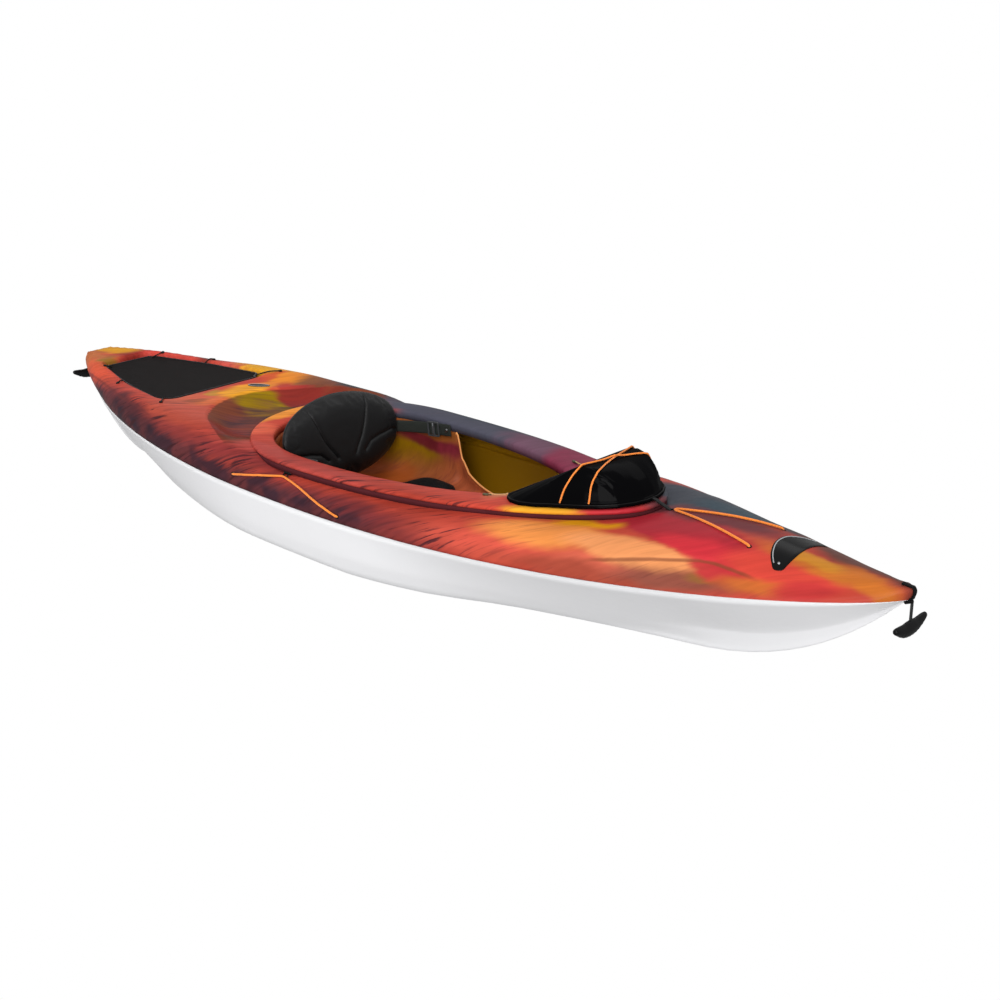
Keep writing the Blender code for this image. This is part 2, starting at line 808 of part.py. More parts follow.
def patch(name, outline, t, gap, thick, mat, step=0.02, ease=0.0008):
    """Thin plate that follows the surface below it."""
    xs = [p[0] for p in outline]
    ys = [p[1] for p in outline]
    pts = []
    i = 0
    x = min(xs)
    while x < max(xs):
        y = min(ys) + (0.5 * step if i % 2 else 0)
        while y < max(ys):
            if far_from((x, y), [outline], 0.6 * step):
                pts.append((x, y))
            y += step
        x += step * 0.866
        i += 1
    tri, n = tris_in(outline, [], pts)
    # points outside the outline are not used by any triangle
    allp = list(outline) + pts
    z = [top(t, p[0], p[1]) for p in allp]
    m = len(outline)
    q = offset_loop(np.array(outline), -ease)
    verts = [(p[0], p[1], h + gap) for p, h in zip(allp, z)]
    verts += [(p[0], p[1], h + gap + thick) for p, h in zip([tuple(a) for a in q] + pts, z)]
    mid = len(verts)
    verts += [(p[0], p[1], h + gap + thick - ease) for p, h in zip(outline, z)]
    faces = [tuple(reversed(f)) for f in tri] + [tuple(i + n for i in f) for f in tri]
    faces += ring_faces(0, mid, m) + ring_faces(mid, n, m)
    return make(name, verts, faces, mat)


# ------------------------------------------------------------- materials
white = material('hull_plastic', (0.86, 0.86, 0.86), 0.35)
warm = material('deck_plastic', (0.62, 0.16, 0.09), 0.38)
liner_m = material('seat_liner_plastic', (0.50, 0.16, 0.06), 0.42)
black_fabric = material('seat_fabric', (0.012, 0.012, 0.013), 0.85)
black_plastic = material('black_nylon', (0.018, 0.018, 0.020), 0.45)
bag_m = material('bag_shell', (0.010, 0.010, 0.011), 0.42)
cord_m = material('bungee_cord', (0.82, 0.30, 0.05), 0.6)
web_m = material('webbing', (0.030, 0.032, 0.028), 0.75)
mesh_m = material('mesh_fabric', (0.020, 0.019, 0.019), 0.9)
foam_m = material('foam', (0.75, 0.75, 0.73), 0.9)
steel = material('steel', (0.6, 0.6, 0.6), 0.3, 1.0)
rubber = material('rubber', (0.02, 0.02, 0.02), 0.7)

hull = build_hull(28, False, white)
deck = build_deck(44, 52, 36, 0.070, False, warm)
DECK = tree(deck)
DECK_OUT = outside(deck)
SHELL = tree(deck, hull)


# -------------------------------------------------------- seat and backrest
def pan_half(x):
    g = 0.155 + 0.047 * (1 - clamp((x - 0.03) / 0.18)) ** 1.6
    return mix(egg(EYE, x) - 0.0005, g, sm(-0.02, 0.05, x))


def pan_top(x):
    h = 0.145 + 0.043 * (1 - clamp((x + 0.02) / 0.23)) ** 2
    return mix(rim_z(x) - 0.027, h, sm(-0.036, -0.012, x))


def pan_floor(x):
    z = 0.087 + 0.038 * sm(-0.2, 0.2, x)
    return z + (pan_top(x) - 0.012 - z) * sm(-0.30, -0.425, x) ** 1.5


def pan_point(x, a):
    """Inner surface of the seat pan: station x, angle a from -90 to 90."""
    s, c = math.sin(a), math.cos(a)
    hw, zt, zf = pan_half(x), pan_top(x), pan_floor(x)
    return np.array([x, math.copysign(abs(s) ** 0.4, s) * hw, zt - (zt - zf) * max(0.0, c) ** 0.4])


def build_liner(xs, m, mat, thick=0.004):
    n = m + 1
    grid, back = [], []
    for x in xs:
        row, low = [], []
        for j in range(n):
            a = mix(-pi / 2, pi / 2, j / m)
            a = clamp(a, -pi / 2, pi / 2)
            p = pan_point(x, a)
            e = 1e-3
            x2, x1 = min(x + e, xs[-1]), max(x - e, xs[0])
            du = (pan_point(x2, a) - pan_point(x1, a))
            a2, a1 = min(a + 0.02, pi / 2), max(a - 0.02, -pi / 2)
            dv = pan_point(x, a2) - pan_point(x, a1)
            nn = np.cross(du, dv)
            nn /= max(1e-12, np.linalg.norm(nn))
            if j in (0, m):
                nn = np.array([nn[0] * 0.0, -1.0 if j == 0 else 1.0, 0.0])
                if x < -0.35:
                    t = clamp((-0.35 - x) / 0.07)
                    nn = np.array([-t, nn[1] * (1 - t * t) ** 0.5, 0.0])
            elif nn[2] > 0:
                nn = -nn
            row.append(p)
            low.append(p + nn * thick)
        grid.append(row)
        back.append(low)
    k = len(xs)
    verts = [p for r in grid for p in r] + [p for r in back for p in r]
    o = k * n
    faces = []
    for i in range(k - 1):
        for j in range(m):
            a, b, c, d = i * n + j, i * n + j + 1, (i + 1) * n + j + 1, (i + 1) * n + j
            faces.append((a, b, c, d))
            faces.append((o + d, o + c, o + b, o + a))
    edge = [i for i in range(n)] + [i * n + m for i in range(1, k)] + \
           [(k - 1) * n + j for j in range(m - 1, -1, -1)] + [i * n for i in range(k - 2, 0, -1)]
    q = len(edge)
    for i in range(q):
        a, b = edge[i], edge[(i + 1) % q]
        faces.append((b, a, o + a, o + b))
    return make('seat_liner', verts, faces, mat)


LINER_X = [-0.4195, -0.412, -0.398, -0.375, -0.340, -0.28, -0.20, -0.12, -0.055,
           -0.034, -0.025, -0.015, 0.02, 0.08, 0.14, 0.21]
seat_liner = build_liner(LINER_X, 14, liner_m)
PAN = tree(seat_liner)


CUSH_X0, CUSH_L = 0.231, 0.321


def cushion_half(x):
    """Butterfly outline: narrow behind, wide where the thighs rest."""
    w = mix(0.118, 0.182, sm(-0.16, -0.08, x))
    e = clamp((x + CUSH_X0) / CUSH_L)
    return w * (1 - abs(2 * e - 1) ** 5) ** 0.5 * mix(1.0, 0.86, sm(-0.02, 0.07, x))


def build_cushion(name, xs, m, mat, lift=0.0025):
    top_r, bot_r = [], []
    for i, x in enumerate(xs):
        w = cushion_half(x)
        a, b = [], []
        for j in range(m + 1):
            t = -1 + 2 * j / m
            y = w * math.copysign(1 - (1 - abs(t)) ** 1.5, t)
            z0 = max(top(PAN, x, clamp(y + d, -0.2, 0.2)) for d in (-0.012, 0, 0.012)) + lift
            f = (1 - abs(t) ** 6) ** 0.5
            e = clamp((x + CUSH_X0) / CUSH_L)
            f *= (1 - abs(2 * e - 1) ** 8) ** 0.5
            h = 0.006 + 0.020 * f + 0.008 * f * math.exp(-((abs(y) - 0.14) / 0.04) ** 2) * sm(-0.16, -0.06, x)
            b.append((x, y, z0))
            a.append((x, y, z0 + h))
        top_r.append(a)
        bot_r.append(b)
    loops = [list(reversed(b)) + a for a, b in zip(top_r, bot_r)]
    return loft(name, loops, mat)


CUSH_X = [-0.229, -0.220, -0.195, -0.16, -0.12, -0.08, -0.02, 0.04, 0.075, 0.088]
seat_cushion = build_cushion('seat_cushion', CUSH_X, 10, black_fabric)


def back_x(y, z):
    """Mid surface of the backrest: leans back and wraps forward."""
    return -0.275 - 0.22 * (z - 0.25) + 0.36 * y * y


def back_outline(n, grow=0.0):
    out = []
    for i in range(n):
        a = 2 * pi * i / n
        s, c = math.sin(a), math.cos(a)
        if s >= 0:
            z = 0.262 + (0.110 + grow) * s
            y = (0.209 + grow) * max(0.0, 1 - s ** 2.6) ** 0.55
        else:
            z = 0.262 + (0.127 + grow) * s
            y = (0.209 + grow) * max(0.0, 1 - (-s) ** 2.4) ** 0.47
        out.append((math.copysign(y, c) if abs(c) > 1e-9 else 0.0, z))
    return out


def back_body(name, n, shares, mat, grow=0.0):
    """Loops of shrunken outlines at (share, offset) from front to back."""
    base = back_outline(n, grow)
    loops = []
    for s, off in shares:
        lp = []
        for y, z in base:
            yy, zz = y * s, 0.262 + (z - 0.262) * s
            lp.append((back_x(yy, zz) + off, yy, zz))
        loops.append(lp)
    return loft(name, loops, mat)


HINGE = (-0.262, 0.0, 0.1165)
backrest_pad = back_body('backrest_pad', 26,
                         [(0.30, 0.0245), (0.62, 0.0240), (0.86, 0.0195), (0.97, 0.0110), (1.0, 0.0020),
                          (0.985, -0.0055), (0.93, -0.0085), (0.60, -0.0090), (0.30, -0.0090)], black_fabric)
panel = back_body('panel_a', 24,
                  [(0.30, -0.0105), (0.60, -0.0105), (0.90, -0.0104), (0.905, -0.0142), (0.30, -0.0150)],
                  black_plastic)
tab = rbox('tab', (back_x(0, 0.1420) - 0.0126, 0, 0.1420), (0.0040, 0.060, 0.054), 0, black_plastic, Matrix.Rotation(-math.atan(0.22), 3, 'Y'))
barrel = lathe('barrel', [(0.0, -0.030), (0.0062, -0.030), (0.0062, 0.030), (0.0, 0.030)], black_plastic, HINGE, (0, 1, 0), 20)
bore = lathe('bore', [(0.0, -0.040), (0.0030, -0.040), (0.0030, 0.040), (0.0, 0.040)], black_plastic, HINGE, (0, 1, 0), 20)
backrest_panel = merge('backrest_panel', [merge('p2', [panel, tab, barrel], black_plastic), bore], black_plastic, 'DIFFERENCE')
hinge_pin = lathe('backrest_hinge_pin', [(0.0, -0.0445), (0.0024, -0.0445), (0.0024, 0.0445), (0.0, 0.0445)],
                  steel, HINGE, (0, 1, 0), 16)

# bracket under the backrest hinge, screwed to the seat pan
def hinge_bracket():
    z0 = max(top(PAN, x, y) for x in (-0.290, -0.262, -0.236) for y in (-0.05, 0.0, 0.05)) + GAP
    base = rbox('hb', (-0.262, 0, z0 + 0.003), (0.052, 0.104, 0.006), 0, black_plastic)
    obs = [base]
    for sgn in (1, -1):
        obs.append(rbox('hc', (-0.262, sgn * 0.0365, (z0 + 0.004 + 0.1235) / 2), (0.014, 0.010, 0.1235 - z0 - 0.004), 0, black_plastic))
    b = merge('hd', obs, black_plastic)
    h = lathe('he', [(0.0, -0.046), (0.0030, -0.046), (0.0030, 0.046), (0.0, 0.046)], black_plastic, HINGE, (0, 1, 0), 16)
    return merge('backrest_hinge_bracket', [b, h], black_plastic, 'DIFFERENCE')


hinge_base = hinge_bracket()


def strap_mid(x):
    return mix(0.2365, 0.2615, (x + 0.262) / 0.202)


def strap_y(x):
    return egg(EYE, x) - 0.0064


def backrest_strap(name, sgn):
    xs = np.linspace(-0.262, -0.060, 12)
    pts = [(x, sgn * strap_y(x), strap_mid(x)) for x in xs]
    return sweep(name, pts, slab(0.034, 0.0022), web_m, ref=(0, sgn, 0))


def buckle(name, sgn):
    x = -0.123
    slope = (strap_mid(-0.1) - strap_mid(-0.15)) / 0.05
    d = Vector((1, 0, slope)).normalized()
    n = Vector((0, -sgn, 0))
    u = n.cross(d)
    R = Matrix((d, u, n)).transposed()
    if R.determinant() < 0:
        R = Matrix((d, -u, n)).transposed()
    outer = rect(0.046, 0.044, 0.004, 2)
    holes = [rect(0.012, 0.033, cx=-0.0115), rect(0.012, 0.033, cx=0.0115)]
    return plate(name, outer, holes, 0.0, 0.0034, steel, R, (x, sgn * (strap_y(x) - 0.0011 - 0.0012), strap_mid(x)))


for nm, sg in (('port', 1), ('starboard', -1)):
    backrest_strap('backrest_strap_' + nm, sg)
    buckle('strap_buckle_' + nm, sg)
    lathe('strap_rivet_' + nm, [(0.0, 0.0), (0.0055, 0.0), (0.0050, 0.0014), (0.0028, 0.0024), (0.0, 0.0027)], steel,
          (-0.072, sg * (strap_y(-0.072) - 0.0011 - GAP), strap_mid(-0.072)), (0, -sg, 0), 12)

# ---------------------------------------------------------- foot braces
RAIL_X0, RAIL_X1, RAIL_Z = 0.42, 0.80, 0.135


def hull_side(x, z):
    """Half breadth of the inner hull skin at height z."""
    s, k = sheer(x), keel(x)
    c = 1.519 * 1.0
    hs = hull_half(x, (BEAM - 0.002 - T) * plan(x / c), s, k + T, True)
    for a, b in zip(hs, hs[1:]):
        if (a[1] - z) * (b[1] - z) <= 0 and abs(a[1] - b[1]) > 1e-9:
            return mix(a[0], b[0], (a[1] - z) / (a[1] - b[1]))
    return 0.0


RAIL_Y0 = hull_side(RAIL_X0, RAIL_Z - 0.013) - 0.006
RAIL_Y1 = hull_side(RAIL_X1, RAIL_Z - 0.013) - 0.006
RAIL_DIR = Vector((RAIL_X1 - RAIL_X0, RAIL_Y1 - RAIL_Y0, 0)).normalized()


def foot_rail(name, sgn):
    """Channel with its slot facing the middle of the boat."""
    d = Vector((RAIL_DIR.x, sgn * RAIL_DIR.y, 0))
    n = Vector((sgn * RAIL_DIR.y, -RAIL_DIR.x, 0)) * sgn
    if n.y * sgn > 0:
        n = -n
    sec = [(-0.013, 0.0), (0.013, 0.0), (0.013, 0.012), (0.0045, 0.012), (0.0045, 0.009), (0.0085, 0.009),
           (0.0085, 0.004), (-0.0085, 0.004), (-0.0085, 0.009), (-0.0045, 0.009), (-0.0045, 0.012), (-0.013, 0.012)]
    loops = []
    for x, y in ((RAIL_X0, RAIL_Y0), (RAIL_X1, RAIL_Y1)):
        o = Vector((x, sgn * y, RAIL_Z))
        loops.append([o + Vector((0, 0, a)) + n * b for a, b in sec])
    ob = loft(name, loops, black_plastic)
    for f in ob.data.polygons:
        f.use_smooth = False
    return ob


def foot_pedal(name, sgn):
    d = Vector((RAIL_DIR.x, sgn * RAIL_DIR.y, 0))
    n = Vector((-RAIL_DIR.y, -sgn * RAIL_DIR.x, 0))
    n = Vector((sgn * RAIL_DIR.y, -RAIL_DIR.x, 0)) if sgn > 0 else Vector((-sgn * RAIL_DIR.y, RAIL_DIR.x, 0))
    z = Vector((0, 0, 1))
    o = Vector((0.61, sgn * mix(RAIL_Y0, RAIL_Y1, (0.61 - RAIL_X0) / (RAIL_X1 - RAIL_X0)), RAIL_Z))
    R = Matrix((d, n, z)).transposed()
    if R.determinant() < 0:
        R = Matrix((d, n, -z)).transposed()
    parts = [rbox('a', o + n * 0.0064, (0.050, 0.0036, 0.0150), 0, black_plastic, R),
             rbox('b', o + n * 0.0120, (0.050, 0.0090, 0.0076), 0, black_plastic, R),
             rbox('c', o + n * 0.0180, (0.060, 0.0100, 0.0300), 0, black_plastic, R),
             rbox('d', o + n * 0.0545 - d * 0.022 + z * 0.008, (0.009, 0.069, 0.080), 0.0035, black_plastic, R, 1)]
    return merge(name, parts, black_plastic)


for nm, sg in (('port', 1), ('starboard', -1)):
    foot_rail('footrest_rail_' + nm, sg)
    foot_pedal('foot_pedal_' + nm, sg)

# ---------------------------------------------------------- foam inside
FOAM = [('bow_foam_pillar', 0.95, 1.15, 0.019), ('stern_foam_block', -1.24, -0.86, 0.030), ('seat_foam_block', -0.34, -0.04, 0.105)]
HULL_T = tree(hull)
DECK_T = tree(deck)


def foam(name, x0, x1, w, n=5, top_cap=None):
    loops = []
    for i in range(n + 1):
        x = mix(x0, x1, i / n)
        zb, zt = -1.0, 2.0
        for y in (-w, 0, w):
            h = HULL_T.ray_cast(Vector((x, y, 0.12)), Vector((0, 0, -1)))
            zb = max(zb, h[0].z)
            u = (top_cap or DECK_T).ray_cast(Vector((x, y, 0.078 if top_cap else 0.13)), Vector((0, 0, 1)))
            zt = min(zt, u[0].z)
        zb += 0.0030
        zt -= 0.0030
        e = 0.006
        loops.append([(x, w, zb + e), (x, w, zt - e), (x, w - e, zt), (x, -w + e, zt), (x, -w, zt - e), (x, -w, zb + e),
                      (x, -w + e, zb), (x, w - e, zb)])
    ob = loft(name, loops, foam_m)
    for f in ob.data.polygons:
        f.use_smooth = False
    return ob


foam(*FOAM[0])
foam(*FOAM[1])
foam(*FOAM[2], top_cap=PAN)

# -------------------------------------------------- drain plug at the stern
DP, DN = side(DECK_OUT, -1.395, 0.085, 0.262, 0.0016)
lathe('drain_collar', [(0.0105, 0.0), (0.0170, 0.0), (0.0165, 0.0030), (0.0145, 0.0042), (0.0105, 0.0042)], black_plastic, DP, DN, 18)
plug = merge('drain_plug', [
    lathe('a', [(0.0, 0.0004), (0.0098, 0.0004), (0.0098, 0.0058), (0.0090, 0.0068), (0.0, 0.0068)], rubber, DP, DN, 18),
    rbox('b', DP + DN * 0.0095, (0.0040, 0.0150, 0.0070), 0, rubber, axes(DN))], rubber)
pivot(plug, DP)


# ------------------------------------------------------- carrying handles

def nose_loop(name, sgn, centre, a0, a1, n=13, w=0.012, t=0.0032):
    """Band that follows the nose from the deck round to its underside."""
    pts = []
    for i in range(n):
        a = math.radians(mix(a0, a1, i / (n - 1)))
        d = Vector((sgn * math.cos(a), 0, math.sin(a)))
        c = Vector(centre)
        far = 0.0
        for y in (-w / 2, 0.0, w / 2):
            h = SHELL.ray_cast(c + d * 0.25 + Vector((0, y, 0)), -d)
            far = max(far, (h[0] - c).dot(d) + (0.0022 + t / 2) / max(0.5, h[1].dot(d)))
        pts.append(c + d * far)
    pts = curve(pts, n + 4)
    flat = [(w / 2, -t / 2), (w / 2, t / 2), (-w / 2, t / 2), (-w / 2, -t / 2)]
    return sweep(name, pts, flat, rubber, ref=(1, 0, 0.3))


nose_loop('bow_handle_loop', 1, (1.478, 0, 0.2840), 60, -38)
kp, kn = side(DECK_OUT, -1.4880, 0.0120, 0.300, 0.0012)
lathe('stern_handle_knob', [(0.0, 0.0), (0.0075, 0.0), (0.0075, 0.0020), (0.0060, 0.0048), (0.0030, 0.0062), (0.0, 0.0064)], rubber, kp, kn, 12)
sn = Vector((-0.86, 0, -0.51)).normalized()
sp = SHELL.ray_cast(Vector((-1.517, 0.0, 0.2425)) + sn * 0.1, -sn)[0] + sn * 0.0016
lathe('stern_handle_stud', [(0.0, 0.0), (0.0055, 0.0), (0.0055, 0.0040), (0.0035, 0.0058), (0.0, 0.0058)], rubber, sp, sn, 12)


def grip(name, x, z, slim, mat):
    """T-shaped palm grip hanging across the boat."""
    loops = []
    for y, dz, rx, rz in ((-0.0640, 0.0095, 0.0030, 0.0034), (-0.0620, 0.0092, 0.0062, 0.0064), (-0.0550, 0.0075, 0.0085, 0.0090),
                          (-0.0420, 0.0035, 0.0100, 0.0125), (-0.0250, -0.0010, 0.0115, 0.0155), (-0.0100, -0.0015, 0.0125, 0.0175),
                          (0.0100, -0.0015, 0.0125, 0.0175), (0.0250, -0.0010, 0.0115, 0.0155), (0.0420, 0.0035, 0.0100, 0.0125),
                          (0.0550, 0.0075, 0.0085, 0.0090), (0.0620, 0.0092, 0.0062, 0.0064), (0.0640, 0.0095, 0.0030, 0.0034)):
        loops.append([Vector((x + u, y, z + dz + v)) for u, v in circle(rx * slim, 10, rz * (1.12 * slim if slim < 0.95 else 0.86))])
    return loft(name, loops, mat)


BOW_PIN = (1.5230, 0.0, 0.2800)
STERN_PIN = (-1.5215, 0.0, 0.2325)
bow_strap = sweep('bow_handle_strap', [(BOW_PIN[0], 0, BOW_PIN[2]), (BOW_PIN[0], 0, 0.2620), (BOW_PIN[0], 0, 0.2440)], slab(0.011, 0.0026), web_m, ref=(1, 0, 0))
bow_grip = grip('bow_handle_grip', BOW_PIN[0], 0.2245, 0.88, black_plastic)
stern_strap = sweep('stern_handle_strap', [(STERN_PIN[0], 0, STERN_PIN[2]), (STERN_PIN[0], 0, 0.2285), (STERN_PIN[0], 0, 0.2240)], slab(0.011, 0.0026), web_m, ref=(1, 0, 0))
stern_grip = grip('stern_handle_grip', STERN_PIN[0], 0.2085, 1.0, black_plastic)
for ob, q in ((bow_strap, BOW_PIN), (bow_grip, BOW_PIN), (stern_strap, STERN_PIN), (stern_grip, STERN_PIN)):
    pivot(ob, q)

# ----------------------------------------------------------- deck rigging
CORD_R = 0.003


def hug(path, t, lift):
    """Path points moved out until they stand clear of a surface."""
    out = []
    for p in path:
        p = Vector([float(c) for c in p])
        loc, nor, _, d = t.find_nearest(p)
        if (p - loc).dot(nor) < lift:
            p = loc + nor * lift
        out.append(p)
    return out


def on_deck(ctrl, n, lift):
    """Evenly spaced path that hugs the deck."""
    pts = []
    for p in curve(ctrl, n):
        loc, nor = side(DECK_OUT, p[0], p[1], p[2], lift)
        pts.append(loc)
    return hug(pts, DECK_OUT, lift)


def deck_cord(name, ctrl, n, lift):
    """Cord along the deck, its two ends brought down close to the skin."""
    path = on_deck(ctrl, n, lift)
    for k, q in ((0, 1), (-1, -2)):
        along = (path[k] - path[q]).normalized()
        loc, nor = side(DECK_OUT, *(path[k] + along * 0.0070), CORD_R + 0.0010)
        path = [loc] + path if k == 0 else path + [loc]
    return sweep(name, path, circle(CORD_R, 6), cord_m)


bow_bungee = deck_cord('bow_bungee', [(1.1515, 0.0660, 0.33), (1.03, 0.036, 0.33), (0.918, 0.0080, 0.33), (0.9030, 0.0052, 0.33), (0.8985, 0.0, 0.33),
                       (0.9030, -0.0052, 0.33), (0.918, -0.0080, 0.33), (1.03, -0.036, 0.33), (1.1515, -0.0660, 0.33)], 34, CORD_R + 0.0018)
paddle_bungee = deck_cord('paddle_bungee', [(-0.3080, -0.3445, 0.222), (-0.2450, -0.3400, 0.232), (-0.1850, -0.3290, 0.242), (-0.1450, -0.3190, 0.247),
                          (-0.1270, -0.3170, 0.247), (-0.1120, -0.3200, 0.245), (-0.0450, -0.3310, 0.237), (0.0300, -0.3400, 0.222), (0.1070, -0.3440, 0.209)], 26, CORD_R + 0.0028)
ploc, pnor = side(DECK_OUT, -0.1290, -0.3010, 0.256, 0.0012)
rbox('paddle_clip', ploc + pnor * 0.0045, (0.026, 0.014, 0.009), 0.0022, black_plastic, axes(pnor, (0, 1, 0)), 1)


# ---------------------------------------------------- cover over the well
def mesh_half(x):
    w = mix(0.100, 0.172, (x + 1.315) / 0.255) if x < -1.06 else mix(0.172, 0.212, (x + 1.06) / 0.238)
    return min(w - 0.0155, 0.187) - 0.030 * sm(-0.875, -0.840, x) - 0.012 * sm(-1.26, -1.292, x)


MESH_Z = 0.2845


def well_mesh():
    xs = [-1.292, -1.275, -1.24, -1.16, -1.06, -0.96, -0.885, -0.860, -0.838]
    m = 4
    loops = []
    for x in xs:
        w = mesh_half(x)
        up, dn = [], []
        for j in range(m + 1):
            y = w * (-1 + 2 * j / m)
            e = (x + 1.065) / 0.227
            z = MESH_Z - 0.005 * (1 - min(1.0, e * e)) * (1 - (y / w) ** 2)
            up.append((x, y, z + 0.0011))
            dn.append((x, y, z - 0.0011))
        loops.append(list(reversed(dn)) + up)
    return loft('well_mesh', loops, mesh_m)


well_mesh()
TIES = [('rear', -1.256, 0.110, -1.2700, 0.0800), ('mid', -1.081, 0.1835, -1.0860, 0.1515), ('front', -0.799, 0.2250, -0.8510, 0.1710)]
for tag, ax, ay, mx, my in TIES:
    for nm, sg in (('port', 1), ('starboard', -1)):
        loc, nor = side(DECK_OUT, ax, sg * ay, 0.30, 0.0012)
        pad = lathe('a', [(0.0, 0.0), (0.0048, 0.0), (0.0048, 0.0022), (0.0030, 0.0044), (0.0, 0.0044)], black_plastic, loc, nor, 8)
        a = loc + nor * 0.0030
        b = Vector((mx, sg * my, MESH_Z + 0.0046))
        mid = (a + b) / 2
        mid.z = max(mid.z, top(DECK, mid.x, mid.y) + 0.0045 if top(DECK, mid.x, mid.y) > 0.25 else mid.z)
        line = sweep('b', curve([a, mid, b], 4), circle(0.0019, 5), black_plastic)
        merge('well_tie_%s_%s' % (tag, nm), [pad, line], black_plastic)


# ------------------------------------------------- cockpit bag and its ties
BAG_EDGE = [(0.512, 0.146), (0.522, 0.163), (0.545, 0.179), (0.582, 0.186), (0.620, 0.179), (0.660, 0.163), (0.700, 0.1505),
            (0.735, 0.138), (0.776, 0.117), (0.808, 0.090), (0.830, 0.054), (0.8405, 0.020)]
RIDGE = (0.700, 0.085, 0.416)


def bag_loop(n):
    p = [(x, y) for x, y in BAG_EDGE] + [(x, -y) for x, y in reversed(BAG_EDGE)]
    return resample(np.array(p), n)


def bag_point(o, s):
    """Point at share s from the ridge (0) to the outline point o (1)."""
    zo = rim_z(o[0]) + 0.0121
    sy = clamp(o[1], -RIDGE[1], RIDGE[1])
    sx = RIDGE[0] + clamp((o[0] - RIDGE[0]) * 0.15, -0.004, 0.010)
    w = sm(0.53, 0.76, o[0])
    g = mix(1 - s, max(0.0, 1 - s ** 2.3) ** 0.62, w)
    return (sx + (o[0] - sx) * s, sy + (o[1] - sy) * s, zo + (RIDGE[2] - zo) * g)


def build_bag(n, mat):
    edge = bag_loop(n)
    loops = []
    low = offset_loop(edge, -0.0015)
    zb = [rim_z(x) + 0.0044 for x, y in edge]
    loops.append([(p[0], p[1], z) for p, z in zip(low, zb)])
    loops.append([(p[0], p[1], z + 0.0025) for p, z in zip(edge, zb)])
    loops.append([(p[0], p[1], z + 0.0065) for p, z in zip(edge, zb)])
    loops.append([(p[0], p[1], z + 0.0082) for p, z in zip(offset_loop(edge, -0.003), zb)])
    wall = offset_loop(edge, -0.0095)
    loops.append([(p[0], p[1], z + 0.0078) for p, z in zip(wall, zb)])
    for s in (0.93, 0.80, 0.58, 0.32, 0.06):
        loops.append([bag_point(p, s) for p in wall])
    return loft('cockpit_bag', loops, mat)


cockpit_bag = build_bag(32, bag_m)
BAG = tree(cockpit_bag)
BAG_R = 0.0022


def bag_cord(name, ctrl, hump):
    pts = []
    for p in curve([(x, y, 0.5) for x, y in ctrl], 34):
        h = BAG.ray_cast(Vector((p[0], p[1], 0.6)), Vector((0, 0, -1)))
        k = math.exp(-(p[1] / 0.016) ** 2) * hump
        pts.append(h[0] + h[1] * (BAG_R + 0.0018) + Vector((0, 0, k)))
    pts = hug(curve(pts, 24), BAG, BAG_R + 0.0018)
    return sweep(name, pts, circle(BAG_R, 6), cord_m)


bag_cord('bag_cord_a', [(0.689, 0.140), (0.695, 0.118), (0.702, 0.088), (0.723, 0.0), (0.748, -0.084), (0.757, -0.106), (0.762, -0.1135)], 0.0)
bag_cord('bag_cord_b', [(0.689, -0.140), (0.695, -0.118), (0.702, -0.088), (0.723, 0.0), (0.748, 0.084), (0.757, 0.106), (0.762, 0.1135)], 0.0062)

for nm, sg in (('port', 1), ('starboard', -1)):
    hz = rim_z(0.447) + 0.0030
    pts = curve([(0.5065, sg * 0.1440, rim_z(0.505) + 0.0075), (0.485, sg * 0.1530, rim_z(0.485) + 0.0062), (0.462, sg * 0.1630, hz + 0.0040)], 8)
    line = sweep('a', pts, circle(0.0019, 6), web_m)
    hook = rbox('b', (0.452, sg * 0.1680, hz + 0.0032), (0.024, 0.012, 0.006), 0.0015, black_plastic, Matrix.Rotation(sg * -0.45, 3, 'Z'), 1)
    merge('bag_hook_' + nm, [hook, line], black_plastic)
strap_pts = curve([(0.8440, 0, 0.3420), (0.858, 0, 0.3395), (0.874, 0, 0.3345), (0.8905, 0, 0.3300)], 8)
sweep('bag_front_hook', strap_pts, slab(0.012, 0.0030), black_plastic, ref=(0, 0, 1))

# ------------------------------------------------- blank plates on the deck
BADGE_C = [(1.2620, -0.092), (1.2620, 0.092), (1.2420, 0.0985), (1.2130, 0.068), (1.1935, 0.025), (1.1935, -0.025), (1.2130, -0.068), (1.2420, -0.0985)]
badge_edge = [tuple(p) for p in resample(round_poly(BADGE_C, [0.010, 0.010, 0.012, 0.12, 0.12, 0.12, 0.12, 0.012], 5), 40)]
patch('bow_badge_plate', badge_edge, DECK, 0.0026, 0.0016, black_plastic, step=0.028)
BADGE = tree(bpy.data.objects['bow_badge_plate'])
bl, bn = side(BADGE, 1.2500, -0.0870, 0.34, GAP)
lathe('bow_badge_rivet', [(0.0, 0.0), (0.0036, 0.0), (0.0032, 0.0010), (0.0, 0.0018)], steel, bl, bn, 10)
ca, sa = math.cos(math.radians(34)), math.sin(math.radians(34))
oval = [(-0.750 + 0.035 * math.cos(t) * ca - 0.0135 * math.sin(t) * sa, 0.0995 + 0.035 * math.cos(t) * sa + 0.0135 * math.sin(t) * ca)
        for t in [2 * pi * i / 24 for i in range(24)]]
patch('stern_oval_plate', oval, DECK, 0.0016, 0.0014, black_plastic, step=0.02)


